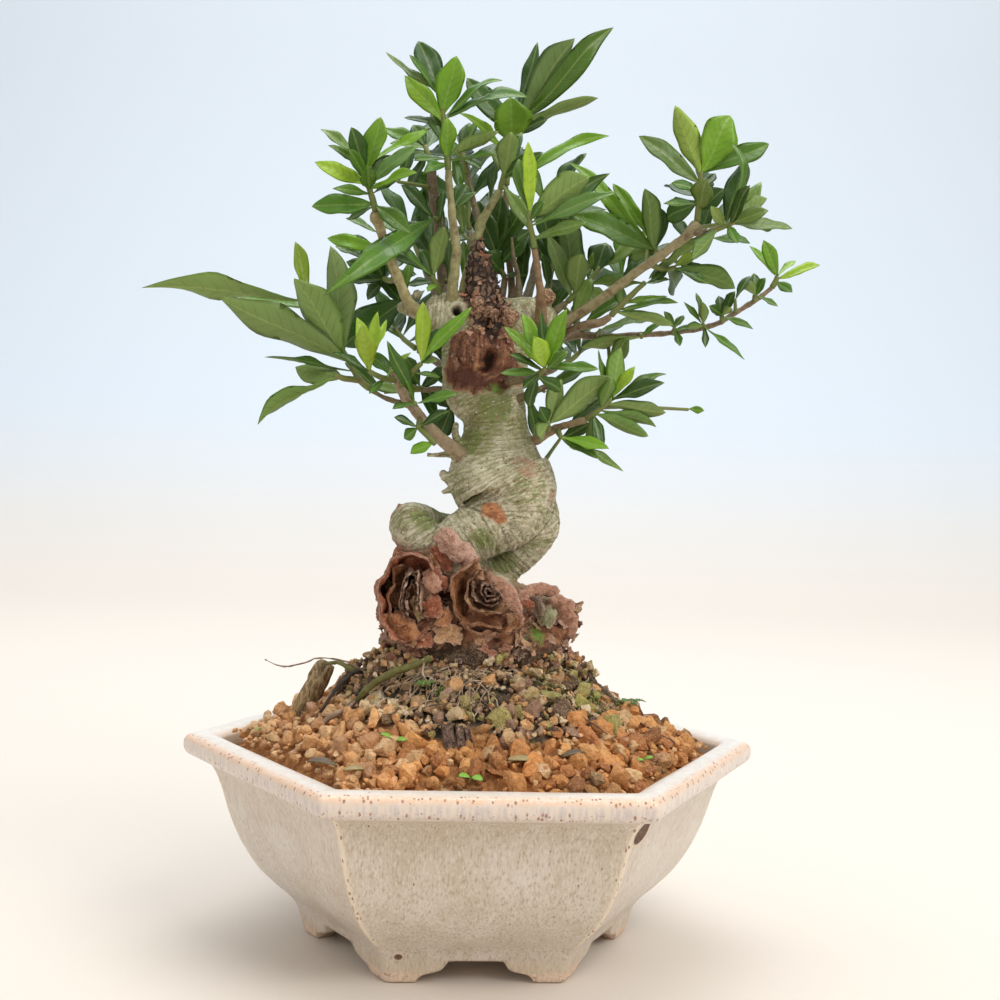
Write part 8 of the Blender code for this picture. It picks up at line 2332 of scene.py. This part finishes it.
show_parts("sprouts", sprouts, make_sprout(), "leaf_green")


# %% [markdown]
# A snapped-off stub of dead wood stands at the left, and a chip of dark wood lies at the front.  Weather
# opens such wood along its grain, so both are cut by deep grooves that run lengthways, and the stub's
# broken top ends in splinters of different lengths.

# %% Dead wood
STUB = [(-57, 66, -2, 2.6), (-54.4, 73.5, -2, 3.3), (-50.6, 80.5, -2, 3.4), (-47.4, 86.6, -2, 2.9)]


def weathered(along, angle, points):
    """Grooves: noise that changes fast round the stub and slowly along it."""
    round_it = np.stack([2.2 * np.cos(angle) + 0 * along, 2.2 * np.sin(angle) + 0 * along,
                         along * 0.09 + 0 * angle], axis=-1)
    return (0.62 * noise(round_it, 0.55, 101) + 0.30 * noise(round_it, 0.22, 102)
            + 0.25 * noise(points, 2.0, 103))


stub_rows = smooth_path(seen(STUB), 10)
points, faces, layers = tube(stub_rows, 30, weathered, rounded=False)
share = layers["along"] / layers["along"].max()
angle = layers["angle"]
round_it = np.column_stack([np.cos(angle), np.sin(angle), 0 * share])
spikes = 2.6 * np.cos(2 * angle + 0.6) + 3.4 * noise(round_it, 0.45, 104)
stub_way = unit(stub_rows[-1, :3] - stub_rows[-8, :3])
points = points + stub_way * (np.clip(spikes - 0.9, -4.6, 0.6) * smoothstep(0.76, 1.0, share))[:, None]
told = {"along": layers["along"], "broken": smoothstep(0.86, 1.0, share)}
stub_mesh = put_mesh("dead_stub", points, faces, told)


def slab(middle, size, tilts, rows=26, columns=24):
    """A splintered slab: rows run along the grain, and ends and face are ragged by the same long grooves."""
    u = np.linspace(-0.5, 0.5, rows)[:, None]
    turn = np.arange(columns)[None, :] * 2 * math.pi / columns
    across = np.sign(np.cos(turn)) * np.abs(np.cos(turn)) ** 0.5 / 2
    over = np.sign(np.sin(turn)) * np.abs(np.sin(turn)) ** 0.7 / 2
    grooves = noise(np.stack(np.broadcast_arrays(across * 9, over * 3, u * 0.6), axis=-1), 0.8, 105)
    near_end = np.abs(2 * u) ** 8
    thin = np.sqrt(np.clip(1 - (2 * u) ** 10, 0.0, 1))
    place = np.stack([across * size[0] * (1 + 0.05 * grooves) * thin,
                      u * size[1] + near_end * grooves * 2.2 * np.sign(u),
                      over * size[2] * (1 + 0.5 * grooves) * thin], axis=-1)
    tilt = np.array(Euler([math.radians(t) for t in tilts]).to_matrix())
    place = place @ tilt.T + middle
    close_ends(place)
    layers = {"along": np.repeat(u[:, 0] * size[1], columns), "broken": np.repeat(near_end[:, 0], columns)}
    return place.reshape(-1, 3), grid_faces(rows, columns), layers


CHIP_SLABS = [
    ((-6.9, -48.0, 73.8), (3.6, 9.0, 2.1), (52, -6, 8)),
    ((-3.4, -48.1, 73.7), (2.6, 8.4, 2.2), (50, -4, 6)),
    ((-1.0, -48.0, 73.5), (2.0, 7.6, 1.9), (54, -8, 10)),
]
chip_mesh = stack_meshes("dark_chip", [slab(*told) for told in CHIP_SLABS])


# %% [markdown]
# Dry dead wood is pale along its grain and nearly black in its cracks.  Both pieces get the same
# finish in their own tones: the stub is straw-brown and the chip a dark red-brown.

# %% The dead wood's finish
def make_dead_wood(name, dark, light, groove):
    finish = Finish(name, Specular_IOR_Level=0.3)
    here = finish.place()
    grain = finish.speckle(finish.place(turn=(0.0, 0.45, 0.0), stretch=(1.0, 1.0, 0.18)), 0.9, 4.0, 0.7)
    medium = finish.speckle(here, 2.2, 4.0, 0.7)
    shade = finish.coats(
        dark,
        (grain.between(0.36, 0.62), light),
        (medium.between(0.52, 0.66) * 0.6, (0.135, 0.135, 0.055)),
        (finish.cells(here, 2.0).between(0.24, 0.10) * 0.8, groove),
        (finish.layer("broken") * grain.between(0.4, 0.6) * 0.6, (0.38, 0.30, 0.18)))
    return finish.use(Base_Color=shade, Roughness=(0.6 + medium * 0.35).clipped(),
                      Normal=finish.bump(grain * 1.4 + medium * 0.4, 0.8, 1.0))


stub_wood = make_dead_wood("stub_wood", (0.17, 0.105, 0.055), (0.52, 0.37, 0.20), (0.035, 0.022, 0.014))
show("dead_stub", weld(stub_mesh, recalculate=True), stub_wood, "dead_wood", "deadwood_stub")
chip_wood = make_dead_wood("chip_wood", (0.045, 0.024, 0.018), (0.24, 0.145, 0.11), (0.012, 0.008, 0.007))
show("dark_chip", weld(chip_mesh, recalculate=True), chip_wood, "chip_wood", "wood_chip")


# %% [markdown]
# The net over the drain hole is black moulded plastic, and the soil hides it.  Its solid has the right
# shape already, so it stays and only gets its finish: a fine moulded grain with a film of soil dust.

# %% The drain net's plastic
def make_net_plastic():
    finish = Finish("net_plastic", Specular_IOR_Level=0.45)
    here = finish.place()
    grain, dust = finish.speckle(here, 0.35), finish.speckle(here, 4.0, 4.0, 0.65)
    shade = finish.mix(dust.between(0.5, 0.7) * 0.5, (0.022, 0.022, 0.023), (0.16, 0.10, 0.055))
    return finish.use(Base_Color=shade, Roughness=(0.45 + dust * 0.35), Normal=finish.bump(grain, 0.2, 0.3))


net = nodes["drain_mesh"]
if not net.material_slots:
    net.data.materials.append(None)
net.material_slots[0].link = "OBJECT"
net.material_slots[0].material = make_net_plastic()


# %% [markdown]
# The plant stands on a plain pale floor that sweeps up behind it like a paper roll in a studio.  Large
# soft lamps and a pale sky give the bright, even light of the photograph, with long soft highlights.

# %% The stage
def make_paper():
    finish = Finish("paper", Roughness=0.85)
    here = finish.place()
    tint = finish.mix(finish.height(here).between(-60.0, 220.0), (0.77, 0.69, 0.605), (0.665, 0.735, 0.815))
    return finish.use(Base_Color=tint, Normal=finish.bump(finish.speckle(here, 1.2, 2.0), 0.05, 0.2))


WALL_AWAY, WALL_HEIGHT, PAPER_HALF_WIDTH = 1600, 3200, 3200
SWEEP = 700                          # radius of the curve between the floor and the wall
PAPER_SINK = 0.05                    # the floor lies a hair under the feet


def sweep_floor():
    """A flat floor, then a quarter circle up into a wall: one profile carried sideways."""
    turn = np.radians(np.linspace(0, 90, 24))
    back = np.concatenate([[-2600, -600, 300], WALL_AWAY - SWEEP + SWEEP * np.sin(turn), [WALL_AWAY]])
    up = np.concatenate([[0, 0, 0], SWEEP - SWEEP * np.cos(turn), [WALL_HEIGHT]])
    across = np.linspace(-PAPER_HALF_WIDTH, PAPER_HALF_WIDTH, 9)
    points = np.stack(np.broadcast_arrays(across[None, :], back[:, None], up[:, None] - PAPER_SINK), axis=-1)
    return put_mesh("paper_roll", points, grid_faces(len(back), len(across), ring=False))


paper = add_object("paper_roll", sweep_floor())
paper.data.materials.append(make_paper())


# %% [markdown]
# Four square lamps light the plant: a warm key from the right, a weak fill from the left, one from
# above, and one for the paper behind.  Large lamps give soft shadows.

# %% The light
def lamp(name, place, aim, size, watts, colour=(1.0, 1.0, 1.0)):
    """A soft square lamp at place that faces aim."""
    light = bpy.data.lights.new(name, "AREA")
    light.size = size
    light.energy = watts
    light.color = colour
    item = add_object(name, light)
    item.location = place
    item.rotation_mode = "QUATERNION"
    item.rotation_quaternion = (Vector(aim) - Vector(place)).to_track_quat("-Z", "Y")


lamp("key", (0.80, -0.72, 1.12), (0, 0, 0.13), 0.9, 12.6, (1.0, 0.975, 0.93))
lamp("fill", (-1.1, -0.8, 0.75), (0, 0, 0.12), 1.0, 2.5, (1.0, 0.99, 0.97))
lamp("top", (-0.1, 0.35, 1.4), (0, 0, 0.2), 1.0, 6.5)
lamp("paper_light", (0.0, 0.5, 1.6), (0.0, 1.5, 0.4), 1.6, 14.0, (0.93, 0.97, 1.0))

sky = bpy.data.worlds.new("pale_sky")
sky.use_nodes = True
glow = sky.node_tree.nodes["Background"].inputs
glow["Color"].default_value = (1.0, 0.985, 0.95, 1.0)
glow["Strength"].default_value = 0.5
bpy.context.scene.world = sky
bpy.context.scene.view_settings.view_transform = "Standard"


# %% [markdown]
# The camera stands where the photograph was taken from: half a metre in front, at the height of the
# trunk's middle, tipped down a little and turned a shade off level.

# %% The camera
SENSOR = 36.0                # mm
LENS = 52.85                 # mm
LOOKS_RIGHT = Vector((0.99936, -0.01234, 0.03347))
LOOKS_UP = Vector((-0.03290, 0.04335, 0.99851))
LOOKS_BACK = LOOKS_RIGHT.cross(LOOKS_UP)

camera_data = bpy.data.cameras.new("camera")
camera_data.sensor_width = SENSOR
camera_data.lens = LENS
camera_data.clip_start = 0.01
camera_data.clip_end = 20.0
camera = add_object("camera", camera_data)
turned = Matrix((LOOKS_RIGHT, LOOKS_UP, LOOKS_BACK)).transposed().to_4x4()
turned.translation = Vector((0.0, -EYE_AWAY, EYE_HEIGHT)) * MM
camera.matrix_world = turned
bpy.context.scene.camera = camera
